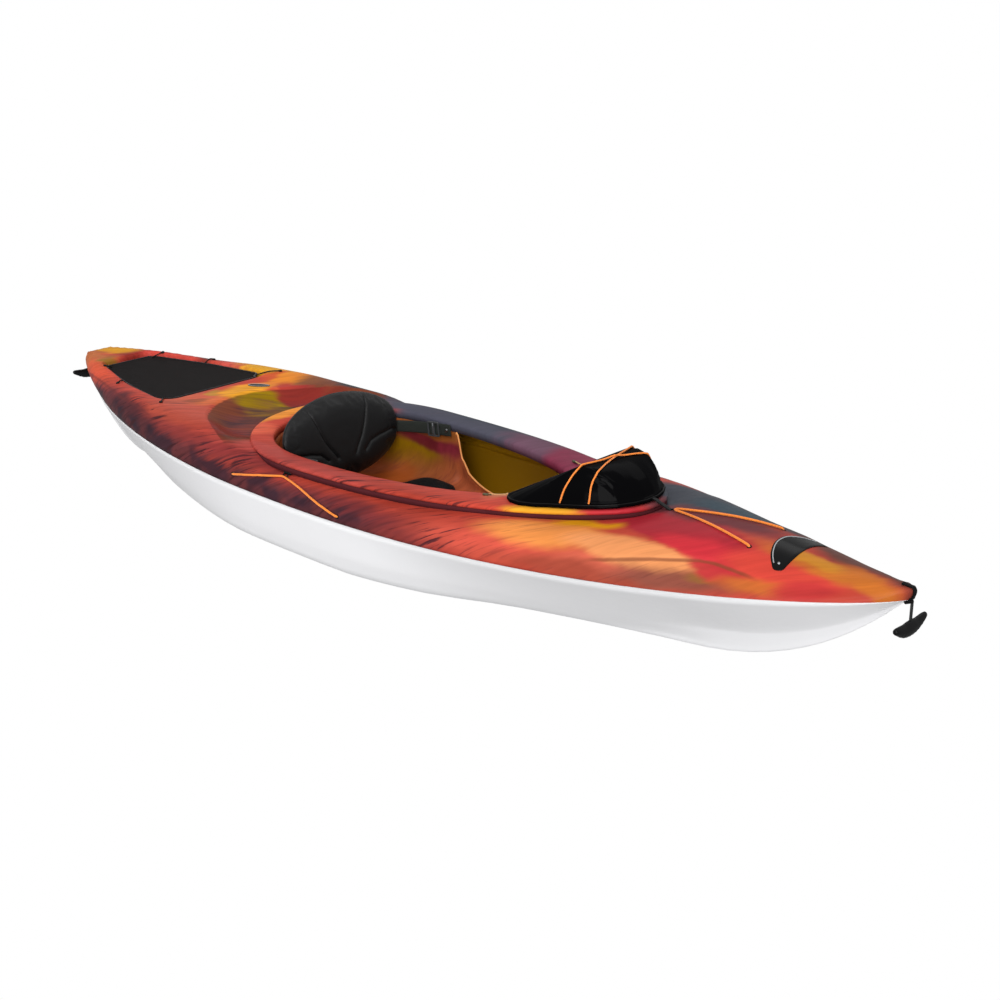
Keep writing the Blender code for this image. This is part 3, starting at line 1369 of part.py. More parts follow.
# ------------------------------------------- shells drawn in closed sections
def sections(ob, parts, gap=0.0001):
    """Cut a shell by flat planes into closed sections that stand a hair apart.

    Each plane is a point and the direction of the side that is cut away.
    """
    for name, planes in parts:
        bm = bmesh.new()
        bm.from_mesh(ob.data)
        for co, no in planes:
            no = Vector(no)
            bmesh.ops.bisect_plane(bm, geom=bm.verts[:] + bm.edges[:] + bm.faces[:], dist=1e-7,
                                   plane_co=Vector(co) - no * gap, plane_no=no, clear_outer=True)
            rim = [e for e in bm.edges if e.is_boundary]
            bmesh.ops.triangle_fill(bm, use_beauty=True, use_dissolve=False, edges=rim, normal=no)
        bmesh.ops.remove_doubles(bm, verts=bm.verts, dist=1e-6)
        bmesh.ops.dissolve_degenerate(bm, edges=bm.edges, dist=1e-6)
        bmesh.ops.recalc_face_normals(bm, faces=bm.faces)
        if bm.calc_volume(signed=True) < 0:
            bmesh.ops.reverse_faces(bm, faces=bm.faces)
        me = bpy.data.meshes.new(name)
        bm.to_mesh(me)
        bm.free()
        new = bpy.data.objects.new(name, me)
        bpy.context.scene.collection.objects.link(new)
        me.materials.append(MATS[ob.name])
        MATS[name] = MATS[ob.name]
    bpy.data.objects.remove(ob)


AFT, FORE = (1, 0, 0), (-1, 0, 0)
PORT_OFF, STARBOARD_OFF = (0, 1, 0), (0, -1, 0)
sections(hull, [('hull_stern_port', [((-0.803, 0, 0), AFT), ((0, 0, 0), STARBOARD_OFF)]),
                ('hull_stern_starboard', [((-0.803, 0, 0), AFT), ((0, 0, 0), PORT_OFF)]),
                ('hull_main', [((-0.803, 0, 0), FORE)])])
sections(deck, [('deck_stern', [((-1.303, 0, 0), AFT)]),
                ('deck_well', [((-1.303, 0, 0), FORE), ((-0.803, 0, 0), AFT)]),
                ('deck_aft', [((-0.803, 0, 0), FORE), ((-0.303, 0, 0), AFT)]),
                ('deck_side_port', [((-0.303, 0, 0), FORE), ((0.503, 0, 0), AFT), ((0, 0, 0), STARBOARD_OFF)]),
                ('deck_side_starboard', [((-0.303, 0, 0), FORE), ((0.503, 0, 0), AFT), ((0, 0, 0), PORT_OFF)]),
                ('deck_fore', [((0.503, 0, 0), FORE)])])
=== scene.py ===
"""Looks of a recreational sit-in kayak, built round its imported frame.

Metres, the same axes as the frame: +X is the bow, +Y the port side, +Z up.
The shells are rebuilt here from the same design rules at a finer step.
"""
import bpy
import bmesh
import math
import numpy as np
from mathutils import Vector, Matrix
from mathutils.bvhtree import BVHTree
from mathutils.geometry import delaunay_2d_cdt


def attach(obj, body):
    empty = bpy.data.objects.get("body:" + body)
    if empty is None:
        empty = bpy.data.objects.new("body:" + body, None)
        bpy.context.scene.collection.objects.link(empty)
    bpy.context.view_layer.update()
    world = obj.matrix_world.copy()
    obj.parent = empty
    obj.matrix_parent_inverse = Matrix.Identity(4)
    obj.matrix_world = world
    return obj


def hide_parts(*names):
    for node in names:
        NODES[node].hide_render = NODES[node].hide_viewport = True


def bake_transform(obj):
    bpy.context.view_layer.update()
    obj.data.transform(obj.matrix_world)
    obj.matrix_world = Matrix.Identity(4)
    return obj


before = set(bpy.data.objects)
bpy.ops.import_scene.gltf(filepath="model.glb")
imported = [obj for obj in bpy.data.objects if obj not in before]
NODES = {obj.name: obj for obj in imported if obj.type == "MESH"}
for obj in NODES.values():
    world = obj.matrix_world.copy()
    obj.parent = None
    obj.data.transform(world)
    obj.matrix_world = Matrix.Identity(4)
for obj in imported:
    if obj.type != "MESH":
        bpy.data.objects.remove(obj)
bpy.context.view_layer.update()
scene = bpy.context.scene
pi = math.pi


def clamp(v, a=0.0, b=1.0):
    return a if v < a else b if v > b else v


def sm(a, b, v):
    t = clamp((v - a) / (b - a))
    return t * t * (3 - 2 * t)


def mix(a, b, t):
    return a + (b - a) * t


def make(name, verts, faces, mat, weld=1e-6, smooth=True, inner=None, inner_mat=None):
    """One closed body from points and faces; points from index `inner` on are its inside skin."""
    me = bpy.data.meshes.new(name)
    bm = bmesh.new()
    vs = [bm.verts.new(tuple(float(c) for c in v)) for v in verts]
    for f in faces:
        if len(set(f)) < 3:
            continue
        try:
            g = bm.faces.new([vs[i] for i in f])
        except ValueError:
            continue
        if inner is not None and sum(1 for i in f if inner(i)) > len(f) / 2:
            g.material_index = 1
    bmesh.ops.remove_doubles(bm, verts=bm.verts, dist=weld)
    bmesh.ops.dissolve_degenerate(bm, edges=bm.edges, dist=weld)
    loose = [v for v in bm.verts if not v.link_faces]
    bmesh.ops.delete(bm, geom=loose, context='VERTS')
    bmesh.ops.recalc_face_normals(bm, faces=bm.faces)
    if bm.calc_volume(signed=True) < 0:
        bmesh.ops.reverse_faces(bm, faces=bm.faces)
    for f in bm.faces:
        f.smooth = smooth
    bm.to_mesh(me)
    bm.free()
    ob = bpy.data.objects.new(name, me)
    scene.collection.objects.link(ob)
    me.materials.append(mat)
    if inner_mat:
        me.materials.append(inner_mat)
    return ob


def ring_faces(a, b, n, closed=True):
    """Quads between two loops of n points that start at indices a and b."""
    out = []
    for i in range(n if closed else n - 1):
        j = (i + 1) % n
        out.append((a + i, a + j, b + j, b + i))
    return out


def in_poly(x, y, poly):
    """Which of the points x, y lie inside the polygon."""
    hit = np.zeros(len(x), bool)
    n = len(poly)
    for i in range(n):
        xi, yi = float(poly[i][0]), float(poly[i][1])
        xj, yj = float(poly[i - 1][0]), float(poly[i - 1][1])
        if yi == yj:
            continue
        c = ((yi > y) != (yj > y)) & (x < (xj - xi) * (y - yi) / (yj - yi) + xi)
        hit ^= c
    return hit


def tris_in(outer, holes, inner):
    """Triangles of the plan region inside `outer`, outside `holes`."""
    pts = list(outer)
    edges = [(i, (i + 1) % len(outer)) for i in range(len(outer))]
    for h in holes:
        s = len(pts)
        pts += list(h)
        edges += [(s + i, s + (i + 1) % len(h)) for i in range(len(h))]
    pts += list(inner)
    res = delaunay_2d_cdt([Vector((float(p[0]), float(p[1]))) for p in pts], edges, [], 0, 1e-7)
    vo, _, fo, ids = res[0], res[1], res[2], res[3]
    back = [min(s) if s else -1 for s in ids]
    co = np.array([(v[0], v[1]) for v in vo])
    cen = np.array([co[list(f)].mean(0) for f in fo])
    keep = in_poly(cen[:, 0], cen[:, 1], outer)
    for h in holes:
        keep &= ~in_poly(cen[:, 0], cen[:, 1], h)
    return [tuple(back[i] for i in f) for f, k in zip(fo, keep) if k], len(pts)


def far_from(p, loops, d):
    for lp in loops:
        a = np.asarray(lp)
        if np.min(np.hypot(a[:, 0] - p[0], a[:, 1] - p[1])) < d:
            return False
    return True


# ---------------------------------------------------------------- camera
AZ, EL, ROLL = math.radians(43.1334), math.radians(20.3263), math.radians(-0.318)
_r = Vector((math.cos(AZ), math.sin(AZ), 0))
_h = Vector((-math.sin(AZ), math.cos(AZ), 0))
_f = _h * math.cos(EL) - Vector((0, 0, math.sin(EL)))
_u = _h * math.sin(EL) + Vector((0, 0, math.cos(EL)))
_rr = _r * math.cos(ROLL) + _u * math.sin(ROLL)
_uu = -_r * math.sin(ROLL) + _u * math.cos(ROLL)
EYE_AT = Vector((2.95757494, -2.78599215, 1.630692))
cam_data = bpy.data.cameras.new('camera')
cam_data.lens = 56.91
cam_data.sensor_width = 36
camera = bpy.data.objects.new('camera', cam_data)
scene.collection.objects.link(camera)
M = Matrix((_rr, _uu, -_f)).transposed().to_4x4()
M.translation = EYE_AT
camera.matrix_world = M
scene.camera = camera
scene.view_settings.view_transform = 'Standard'
scene.view_settings.look = 'None'

# ------------------------------------------------------- floor and lights
world = bpy.data.worlds.new('studio')
scene.world = world
world.use_nodes = True
wt = world.node_tree
wb = wt.nodes['Background']
wb.inputs['Color'].default_value = (1.0, 1.0, 1.0, 1)
wc = wt.nodes.new('ShaderNodeTexCoord')
ws = wt.nodes.new('ShaderNodeSeparateXYZ')
wr = wt.nodes.new('ShaderNodeMapRange')
wt.links.new(wc.outputs['Generated'], ws.inputs[0])
wt.links.new(ws.outputs['Z'], wr.inputs['Value'])
for k, v in (('From Min', -0.30), ('From Max', 0.30), ('To Min', 0.41), ('To Max', 0.66)):
    wr.inputs[k].default_value = v
wt.links.new(wr.outputs['Result'], wb.inputs['Strength'])


def lamp(name, kind, loc, aim, power, size, size_y=None):
    d = bpy.data.lights.new(name, kind)
    d.energy = power
    if kind == 'SUN':
        d.angle = size
    else:
        d.shape = 'RECTANGLE'
        d.size = size
        d.size_y = size_y or size
    o = bpy.data.objects.new(name, d)
    scene.collection.objects.link(o)
    o.location = loc
    o.rotation_mode = 'QUATERNION'
    o.rotation_quaternion = (Vector(aim) - Vector(loc)).to_track_quat('-Z', 'Y')
    return o


lamp('sky_light', 'SUN', (1.0, -2.0, 3.6), (0, 0, 0), 1.32, math.radians(40))
lamp('side_fill', 'SUN', (1.8, -2.5, 0.30), (0, 0, 0), 2.42, math.radians(45))
lamp('softbox', 'AREA', (0.2, 2.2, 2.6), (0.0, 0.0, 0.3), 12, 3.2, 0.9)

fm = bpy.data.meshes.new('floor')
fm.from_pydata([(-150, -150, -0.0006), (150, -150, -0.0006), (150, 150, -0.0006), (-150, 150, -0.0006)], [], [(0, 1, 2, 3)])
floor = bpy.data.objects.new('floor', fm)
scene.collection.objects.link(floor)
# seamless white sweep: seen, but neither lit nor lighting
floor.visible_diffuse = floor.visible_glossy = floor.visible_shadow = False


# ------------------------------------------------------------- materials
def lin(r, g, b):
    """Linear colour from 0-255 display values."""
    out = []
    for c in (r, g, b):
        c /= 255
        out.append(c / 12.92 if c <= 0.04045 else ((c + 0.055) / 1.055) ** 2.4)
    return (*out, 1.0)


class Mat:
    """A Principled material and short helpers for its node tree."""

    def __init__(self, name, rough=0.5, metal=0.0, **sockets):
        self.m = bpy.data.materials.new(name)
        self.m.use_nodes = True
        self.t = self.m.node_tree
        self.p = self.t.nodes['Principled BSDF']
        self.p.inputs['Roughness'].default_value = rough
        self.p.inputs['Metallic'].default_value = metal
        for k, v in sockets.items():
            self.p.inputs[k.replace('_', ' ')].default_value = v
        self.co = self.t.nodes.new('ShaderNodeTexCoord').outputs['Object']

    def put(self, s, v):
        if isinstance(v, bpy.types.NodeSocket):
            self.t.links.new(v, s)
        elif v is not None:
            s.default_value = v

    def math(self, op, a, b=None, c=None):
        n = self.t.nodes.new('ShaderNodeMath')
        n.operation = op
        for s, v in zip(n.inputs, (a, b, c)):
            self.put(s, v)
        return n.outputs[0]

    def vec(self, op, a, b=None, out=0):
        n = self.t.nodes.new('ShaderNodeVectorMath')
        n.operation = op
        self.put(n.inputs[0], a)
        if op == 'SCALE':
            self.put(n.inputs['Scale'], b)
        else:
            self.put(n.inputs[1], b)
        return n.outputs['Value'] if op in ('LENGTH', 'DOT_PRODUCT', 'DISTANCE') else n.outputs['Vector']

    def comb(self, x, y, z=0.0):
        n = self.t.nodes.new('ShaderNodeCombineXYZ')
        for s, v in zip(n.inputs, (x, y, z)):
            self.put(s, v)
        return n.outputs[0]

    def sep(self, v):
        n = self.t.nodes.new('ShaderNodeSeparateXYZ')
        self.put(n.inputs[0], v)
        return n.outputs[0], n.outputs[1], n.outputs[2]

    def noise(self, v, scale, detail=2.0, rough=0.5, dist=0.0, colour=False):
        n = self.t.nodes.new('ShaderNodeTexNoise')
        self.put(n.inputs['Vector'], v)
        n.inputs['Scale'].default_value = scale
        n.inputs['Detail'].default_value = detail
        n.inputs['Roughness'].default_value = rough
        n.inputs['Distortion'].default_value = dist
        return n.outputs['Color' if colour else 'Fac']

    def wave(self, v, scale, axis='X', dist=0.0):
        n = self.t.nodes.new('ShaderNodeTexWave')
        n.bands_direction = axis
        self.put(n.inputs['Vector'], v)
        n.inputs['Scale'].default_value = scale
        n.inputs['Distortion'].default_value = dist
        return n.outputs['Fac']

    def rng(self, v, a, b, lo=0.0, hi=1.0, smooth=True):
        n = self.t.nodes.new('ShaderNodeMapRange')
        n.interpolation_type = 'SMOOTHSTEP' if smooth else 'LINEAR'
        self.put(n.inputs['Value'], v)
        for k, q in (('From Min', a), ('From Max', b), ('To Min', lo), ('To Max', hi)):
            self.put(n.inputs[k], q)
        return n.outputs['Result']

    def mixc(self, f, a, b, mode='MIX'):
        n = self.t.nodes.new('ShaderNodeMix')
        n.data_type = 'RGBA'
        n.blend_type = mode
        self.put(n.inputs[0], f)
        self.put(n.inputs[6], a)
        self.put(n.inputs[7], b)
        return n.outputs[2]

    def patch(self, base, at, c, r, ang, colour, strength, soft):
        """Ellipse of colour round c; soft is the width of its edge as a share."""
        n = self.t.nodes.new('ShaderNodeMapping')
        n.vector_type = 'TEXTURE'
        self.put(n.inputs['Vector'], at)
        n.inputs['Location'].default_value = c
        n.inputs['Rotation'].default_value = (0, 0, math.radians(ang))
        n.inputs['Scale'].default_value = r
        d = self.vec('LENGTH', n.outputs[0])
        f = self.rng(d, 1 + soft * 0.6, 1 - soft * 0.6, 0.0, strength)
        return self.mixc(f, base, lin(*colour))

    def bump(self, h, dist, strength=1.0, under=None):
        n = self.t.nodes.new('ShaderNodeBump')
        n.inputs['Strength'].default_value = strength
        n.inputs['Distance'].default_value = dist
        self.put(n.inputs['Height'], h)
        if under is not None:
            self.put(n.inputs['Normal'], under)
        return n.outputs[0]

    def done(self, colour=None, normal=None, rough=None):
        if colour is not None:
            self.put(self.p.inputs['Base Color'], colour)
        if normal is not None:
            self.put(self.p.inputs['Normal'], normal)
        if rough is not None:
            self.put(self.p.inputs['Roughness'], rough)
        return self.m


def marbled(name, patches, girth, base=(200, 74, 58), streaks=1.0, seam=False, lines=(), scoop=None):
    """Swirled two-tone plastic: soft zones with brush-like edges and fine streaks, plus painted shade where asked: in
    the scoop, along creases and down the deck's sides.
    """
    q = Mat(name, 0.40, 0.0, IOR=1.04, Coat_Weight=0.14, Coat_Roughness=0.30)
    x, y, z = q.sep(q.co)
    if girth:
        k = q.rng(y, -0.12, 0.12, -1.0, 1.0, smooth=False)
        v = q.math('SUBTRACT', y, q.math('MULTIPLY', q.math('SUBTRACT', z, 0.29), k))
        at = q.comb(x, v, 0.0)
    else:
        v = y
        at = q.co
    # direction of the strokes, bent by a slow noise: across the tops, along the flanks
    slow = q.noise(at, 1.5, 1.0, colour=True)
    sx, sy, _ = q.sep(q.vec('SUBTRACT', slow, (0.5, 0.5, 0.5)))
    zz = 0.0 if girth else q.math('MULTIPLY', z, 20.0)

    def field(deg, bend, curve_x=False, kf=120.0, kb=34.0):
        ca, sa = math.cos(math.radians(deg)), math.sin(math.radians(deg))
        bx = q.math('ADD', x, q.math('MULTIPLY', sx, 0.30 * bend))
        bv = q.math('ADD', v, q.math('MULTIPLY', sy, 0.24 * bend))
        s = q.math('ADD', q.math('MULTIPLY', bx, ca), q.math('MULTIPLY', bv, sa))
        if curve_x:
            # shallow strokes aft, steeper amidships
            u = q.math('ADD', bx, 0.45)
            g = q.math('ADD', q.math('MULTIPLY', bx, 0.66), q.math('MULTIPLY', q.math('SQRT', q.math('ADD', q.math('MULTIPLY', u, u), 0.05)), 0.24))
            t = q.math('MULTIPLY', q.math('SUBTRACT', bv, g), ca)
        else:
            t = q.math('SUBTRACT', q.math('MULTIPLY', bv, ca), q.math('MULTIPLY', bx, sa))
        fine = q.comb(q.math('MULTIPLY', s, 5.0), q.math('MULTIPLY', t, kf), zz)
        broad = q.comb(q.math('MULTIPLY', s, 4.5), q.math('MULTIPLY', t, kb), zz)
        return (q.math('SUBTRACT', q.noise(fine, 1.0, 2.0, 0.6), 0.5), q.math('SUBTRACT', q.noise(broad, 1.0, 2.0, 0.55), 0.5),
                q.noise(fine, 1.13, 3.0, 0.65), q.noise(fine, 0.83, 2.0, 0.6), ca, sa)

    def lerp(f, a, b):
        return q.rng(f, 0.0, 1.0, a, b, smooth=False)
    stroke, wide, sharp, fleck, ca, sa = field(50, 1.0)
    if girth:
        f = q.rng(q.math('ABSOLUTE', v), 0.235, 0.300)
        stroke, wide, sharp, fleck, ca, sa = (lerp(f, a, b) for a, b in zip((stroke, wide, sharp, fleck, ca, sa), field(38, 0.4, True, 84.0, 27.0)))
    calm = q.rng(x, 0.42, 0.66, 1.0, 0.40) if girth else 1.0
    push = q.math('ADD', q.math('MULTIPLY', stroke, 0.020), q.math('MULTIPLY', wide, 0.080))
    push = q.math('MULTIPLY', push, calm)
    w = q.comb(q.math('MULTIPLY', push, ca), q.math('MULTIPLY', push, sa), 0.0)
    cloud = q.vec('SCALE', q.vec('SUBTRACT', q.noise(at, 6.0, 3.0, 0.5, colour=True), (0.5, 0.5, 0.5)), 0.075)
    p = q.vec('ADD', q.vec('ADD', at, w), cloud)
    c = lin(*base)
    for row in patches:
        cx, cv, rx, rv, ang, col, st, soft = row[:8]
        cz, rz = row[8:] if len(row) > 8 else (0.0, 1.0)
        c = q.patch(c, p, (cx, cv, cz), (rx, rv, rz), ang, col, st, soft * 1.25)
    if scoop:
        # painted shade: the shallow scoop is painted in its own darker colours up to a crisp edge
        inner = lin(*scoop[0])
        for cx, cv, rx, rv, ang, col, st, soft in scoop[1]:
            inner = q.patch(inner, p, (cx, cv, 0.0), (rx, rv, 1.0), ang, col, st, soft)
        ay = q.math('ABSOLUTE', y)
        edge = q.math('ADD', q.math('MULTIPLY', q.math('POWER', ay, 2.0), 2.6), q.math('MULTIPLY', q.math('POWER', ay, 5.0), 30.0))
        d = q.math('ADD', q.math('SUBTRACT', q.math('ADD', x, 0.724), edge), q.math('MULTIPLY', stroke, 0.012))
        back = q.math('MAXIMUM', q.math('DIVIDE', q.math('SUBTRACT', -0.13, x), 0.357), 0.0)
        rim = q.math('ADD', q.math('POWER', back, 2.25), q.math('POWER', q.math('DIVIDE', ay, 0.309), 2.0))
        m = q.math('MULTIPLY', q.rng(d, -0.003, 0.005), q.rng(rim, 0.985, 1.03))
        m = q.math('MULTIPLY', m, q.math('MULTIPLY', q.rng(ay, 0.315, 0.285), q.rng(x, -0.36, -0.42)))
        c = q.mixc(m, c, inner)
    if seam:
        # darker band above the seam of the near and far quarters
        edge = q.math('ADD', q.math('ADD', z, q.math('MULTIPLY', wide, 0.06)), q.math('MULTIPLY', stroke, 0.04))
        reach_x = q.rng(x, -1.5, 0.55, 0.058, 0.0, smooth=False)
        band = q.rng(q.math('SUBTRACT', edge, reach_x), 0.236, 0.200)
        band = q.math('MULTIPLY', q.math('MULTIPLY', band, q.rng(x, 0.55, 0.05)), q.rng(x, -1.36, -1.20))
        plum = q.mixc(q.rng(q.noise(at, 9.0, 2.0), 0.40, 0.62), lin(62, 44, 56), lin(112, 58, 62))
        c = q.mixc(q.math('MULTIPLY', band, 0.94), c, plum)
    # dark strokes, gathered in clusters
    group = q.rng(q.math('ADD', q.noise(at, 4.2, 2.0), q.math('MULTIPLY', wide, 0.6)), 0.40, 0.56)
    dark = q.rng(sharp, 0.53, 0.61)
    if girth:
        side = q.math('MULTIPLY', q.rng(v, -0.12, -0.26, 0.40, 1.15), q.rng(v, 0.20, 0.10, 0.35, 1.0))
        fore = q.rng(x, 0.66, 0.42, 0.26, 1.0)
    else:
        side, fore = 0.7, 0.7
    dark = q.math('MULTIPLY', q.math('MULTIPLY', dark, group), q.math('MULTIPLY', side, fore))
    c = q.mixc(q.math('MULTIPLY', dark, 0.82 * streaks), c, lin(78, 38, 44))
    grain = q.rng(fleck, 0.36, 0.64, 0.87, 1.11, smooth=False)
    grain = q.math('ADD', 1.0, q.math('MULTIPLY', q.math('SUBTRACT', grain, 1.0), q.math('MULTIPLY', q.math('MULTIPLY', fore, q.rng(v, 0.20, 0.10, 0.3, 1.0) if girth else 1.0), streaks)))
    tone = q.math('MULTIPLY', q.rng(wide, -0.22, 0.22, 0.70, 0.90, smooth=False), grain)
    if girth:
        # painted shade: the near side of the deck is painted darker than its top, mostly aft; the paint also darkens
        # towards the bow and on the far side from the cockpit forward
        tone = q.math('MULTIPLY', tone, q.math('SUBTRACT', 1.0, q.math('MULTIPLY', q.rng(v, -0.19, -0.29, 0.0, 0.30), q.rng(x, 0.62, 0.30))))
        tone = q.math('MULTIPLY', tone, q.rng(x, 0.60, 0.80, 1.0, 0.86))
        tone = q.math('MULTIPLY', tone, q.math('SUBTRACT', 1.0, q.math('MULTIPLY', q.rng(v, 0.20, 0.28, 0.0, 0.18), q.rng(x, -0.5, -0.2))))
    c = q.mixc(1.0, c, q.comb(tone, tone, tone), 'MULTIPLY')
    # painted shade: darker bands drawn along the given crease lines
    for line, colour, width, strength in lines:
        for side_y in (-1, 1):
            best = None
            for (xa, va), (xb, vb) in zip(line, line[1:]):
                e = (xb - xa, side_y * (vb - va), 0.0)
                ee = e[0] ** 2 + e[1] ** 2
                pa = q.vec('SUBTRACT', at, (xa, side_y * va, 0.0))
                h = q.math('MINIMUM', q.math('MAXIMUM', q.math('DIVIDE', q.vec('DOT_PRODUCT', pa, e), ee), 0.0), 1.0)
                d = q.vec('LENGTH', q.vec('SUBTRACT', pa, q.vec('SCALE', e, h)))
                best = d if best is None else q.math('MINIMUM', best, d)
            f = q.rng(q.math('ADD', best, q.math('MULTIPLY', wide, 0.004)), width, width * 0.2, 0.0, strength)
            x0, x1 = line[0][0], line[-1][0]
            f = q.math('MULTIPLY', f, q.math('MULTIPLY', q.rng(x, x0, x0 + 0.06), q.rng(x, x1, x1 - 0.06)))
            c = q.mixc(f, c, lin(*colour))
    n = q.bump(q.noise(q.co, 420.0, 2.0), 0.00012, 0.7)
    n = q.bump(q.noise(q.co, 26.0, 2.0), 0.0010, 0.25, n)
    r = q.rng(q.noise(q.co, 60.0, 3.0), 0.3, 0.7, 0.30, 0.40)
    return q.done(c, n, r)


DECK_PATCHES = [
    # far quarter, stern to amidships
    (-1.22, 0.130, 0.16, 0.060, 25, (206, 74, 64), 0.8, 0.6),
    # painted shadow under the far middle tie of the well cover
    (-1.09, 0.185, 0.035, 0.060, -30, (82, 42, 36), 0.85, 0.6),
    (-1.00, 0.215, 0.080, 0.050, 15, (206, 88, 78), 0.8, 0.5),
    (-0.95, 0.340, 0.30, 0.075, 15, (140, 58, 58), 0.7, 0.6),
    (-0.74, 0.230, 0.110, 0.095, 0, (236, 142, 42), 0.95, 0.5),
    (-0.87, 0.240, 0.110, 0.055, 10, (228, 166, 42), 0.95, 0.4),
    (-0.61, 0.235, 0.095, 0.075, 0, (118, 72, 52), 0.9, 0.5),
    (-0.20, 0.385, 0.52, 0.085, 0, (62, 60, 68), 0.9, 0.5),
    (-0.46, 0.300, 0.15, 0.055, 0, (56, 59, 62), 1.0, 0.4),
    (0.45, 0.360, 0.34, 0.090, -10, (72, 72, 82), 0.9, 0.5),
    (-0.64, 0.165, 0.070, 0.025, 10, (172, 48, 52), 0.85, 0.5),
    # stern nose
    (-1.47, -0.040, 0.10, 0.060, 0, (192, 104, 52), 0.9, 0.5),
    (-1.36, -0.085, 0.11, 0.040, -20, (196, 112, 62), 0.85, 0.5),
    # painted shade on the rear wall of the well
    (-1.30, 0.030, 0.060, 0.045, 0, (126, 32, 26), 0.75, 0.5),
    (-1.42, 0.040, 0.095, 0.050, 15, (228, 158, 24), 1.0, 0.4),
    (-1.30, -0.060, 0.060, 0.030, -30, (144, 110, 36), 0.85, 0.6),
    (-1.24, -0.140, 0.14, 0.042, -20, (220, 86, 56), 0.85, 0.5),
    # near quarter
    (-0.70, -0.220, 0.15, 0.10, 0, (204, 90, 70), 0.8, 0.6),
    (-0.56, -0.340, 0.30, 0.045, -4, (150, 62, 62), 0.8, 0.8),
    (-0.30, -0.335, 0.16, 0.030, 0, (158, 60, 60), 0.8, 0.8),
    (-0.96, -0.285, 0.24, 0.065, -20, (84, 46, 54), 0.90, 0.7),
    (-1.05, -0.345, 0.36, 0.060, -22, (56, 40, 46), 0.95, 0.5),
    (-0.795, 0.150, 0.030, 0.080, 0, (206, 64, 50), 0.75, 0.5),
    (-0.780, -0.110, 0.060, 0.090, 0, (216, 108, 78), 0.7, 0.6),
    (-0.738, 0.045, 0.050, 0.085, -4, (240, 164, 44), 1.0, 0.5),
    # painted highlight: a lighter band along the near edge of the scoop
    (-0.722, -0.085, 0.030, 0.070, -12, (222, 116, 66), 0.8, 0.5),
    (-0.790, -0.040, 0.025, 0.030, 0, (190, 150, 50), 0.7, 0.5),
    (-0.755, -0.120, 0.018, 0.040, -20, (110, 68, 50), 0.6, 0.6),
    # coaming
    (-0.15, -0.285, 0.32, 0.036, 0, (210, 88, 80), 0.85, 0.6),
    (-0.468, -0.010, 0.036, 0.130, 0, (242, 150, 56), 1.0, 0.4),
    (-0.420, -0.175, 0.060, 0.055, 30, (232, 104, 74), 0.85, 0.5),
    (-0.300, 0.270, 0.090, 0.045, 15, (150, 70, 75), 0.7, 0.6),
    (0.000, 0.270, 0.42, 0.085, 0, (84, 84, 98), 1.0, 0.35),
    (0.330, 0.225, 0.200, 0.085, -14, (112, 78, 96), 1.0, 0.4),
    (0.450, 0.170, 0.120, 0.085, -35, (134, 52, 76), 1.0, 0.4),
    (0.600, 0.160, 0.160, 0.060, -30, (150, 56, 70), 0.8, 0.5),
    (0.30, 0.330, 0.50, 0.050, 0, (66, 72, 84), 1.0, 0.4),
    (0.470, -0.095, 0.036, 0.070, 0, (238, 150, 108), 0.85, 0.5),
    # near bow quarter
    (0.10, -0.400, 0.34, 0.046, 4, (112, 50, 58), 0.75, 0.8),
    (0.42, -0.400, 0.10, 0.030, 8, (160, 66, 62), 0.6, 0.8),
    (0.60, -0.330, 0.25, 0.050, 10, (218, 90, 72), 0.8, 0.6),
    (0.95, -0.265, 0.21, 0.040, 20, (226, 110, 84), 0.85, 0.5),
    (0.86, -0.325, 0.26, 0.030, 10, (170, 74, 56), 0.85, 0.8),
    (0.71, -0.235, 0.17, 0.062, 12, (242, 150, 76), 0.97, 0.5),
    (0.94, -0.200, 0.17, 0.055, 12, (246, 160, 100), 0.97, 0.4),
    (0.78, -0.135, 0.085, 0.034, 25, (240, 166, 24), 0.95, 0.5),
    (0.64, -0.145, 0.100, 0.026, 20, (242, 172, 46), 0.95, 0.4),
    (1.06, -0.236, 0.14, 0.034, 20, (142, 80, 66), 0.9, 0.7),
    (1.13, -0.190, 0.050, 0.020, 25, (154, 106, 48), 0.7, 0.5),
    # bow, far side dark, near side crimson to orange
    (0.92, 0.115, 0.28, 0.110, 0, (70, 74, 84), 1.0, 0.35),
    (1.00, 0.080, 0.10, 0.050, 0, (58, 80, 92), 0.75, 0.5),
    (1.17, 0.105, 0.10, 0.070, 0, (60, 62, 68), 0.95, 0.5),
    (0.99, 0.002, 0.21, 0.032, 0, (116, 58, 64), 0.95, 0.5),
    (1.13, -0.150, 0.060, 0.050, -30, (206, 54, 62), 0.9, 0.4),
    (0.98, -0.072, 0.22, 0.054, -4, (182, 44, 56), 1.0, 0.35),
    (1.06, -0.105, 0.10, 0.034, 0, (220, 54, 64), 0.85, 0.5),
    (0.790, -0.085, 0.045, 0.050, 0, (200, 48, 58), 0.9, 0.4),
    (1.27, -0.090, 0.13, 0.052, 8, (228, 76, 62), 0.95, 0.5),
    (1.22, -0.165, 0.075, 0.026, 25, (220, 120, 50), 0.75, 0.7),
    (1.33, -0.120, 0.075, 0.032, 30, (202, 58, 58), 0.9, 0.5),
    (1.35, 0.075, 0.18, 0.075, -12, (112, 66, 56), 1.0, 0.5),
    (1.36, -0.032, 0.16, 0.026, 0, (212, 122, 46), 0.9, 0.7),
    (1.30, -0.020, 0.07, 0.016, 0, (222, 150, 44), 0.8, 0.6),
    (1.46, -0.040, 0.10, 0.022, -22, (212, 118, 46), 0.8, 0.7),
    (1.50, 0.016, 0.050, 0.022, 0, (96, 60, 50), 0.8, 0.8),
]
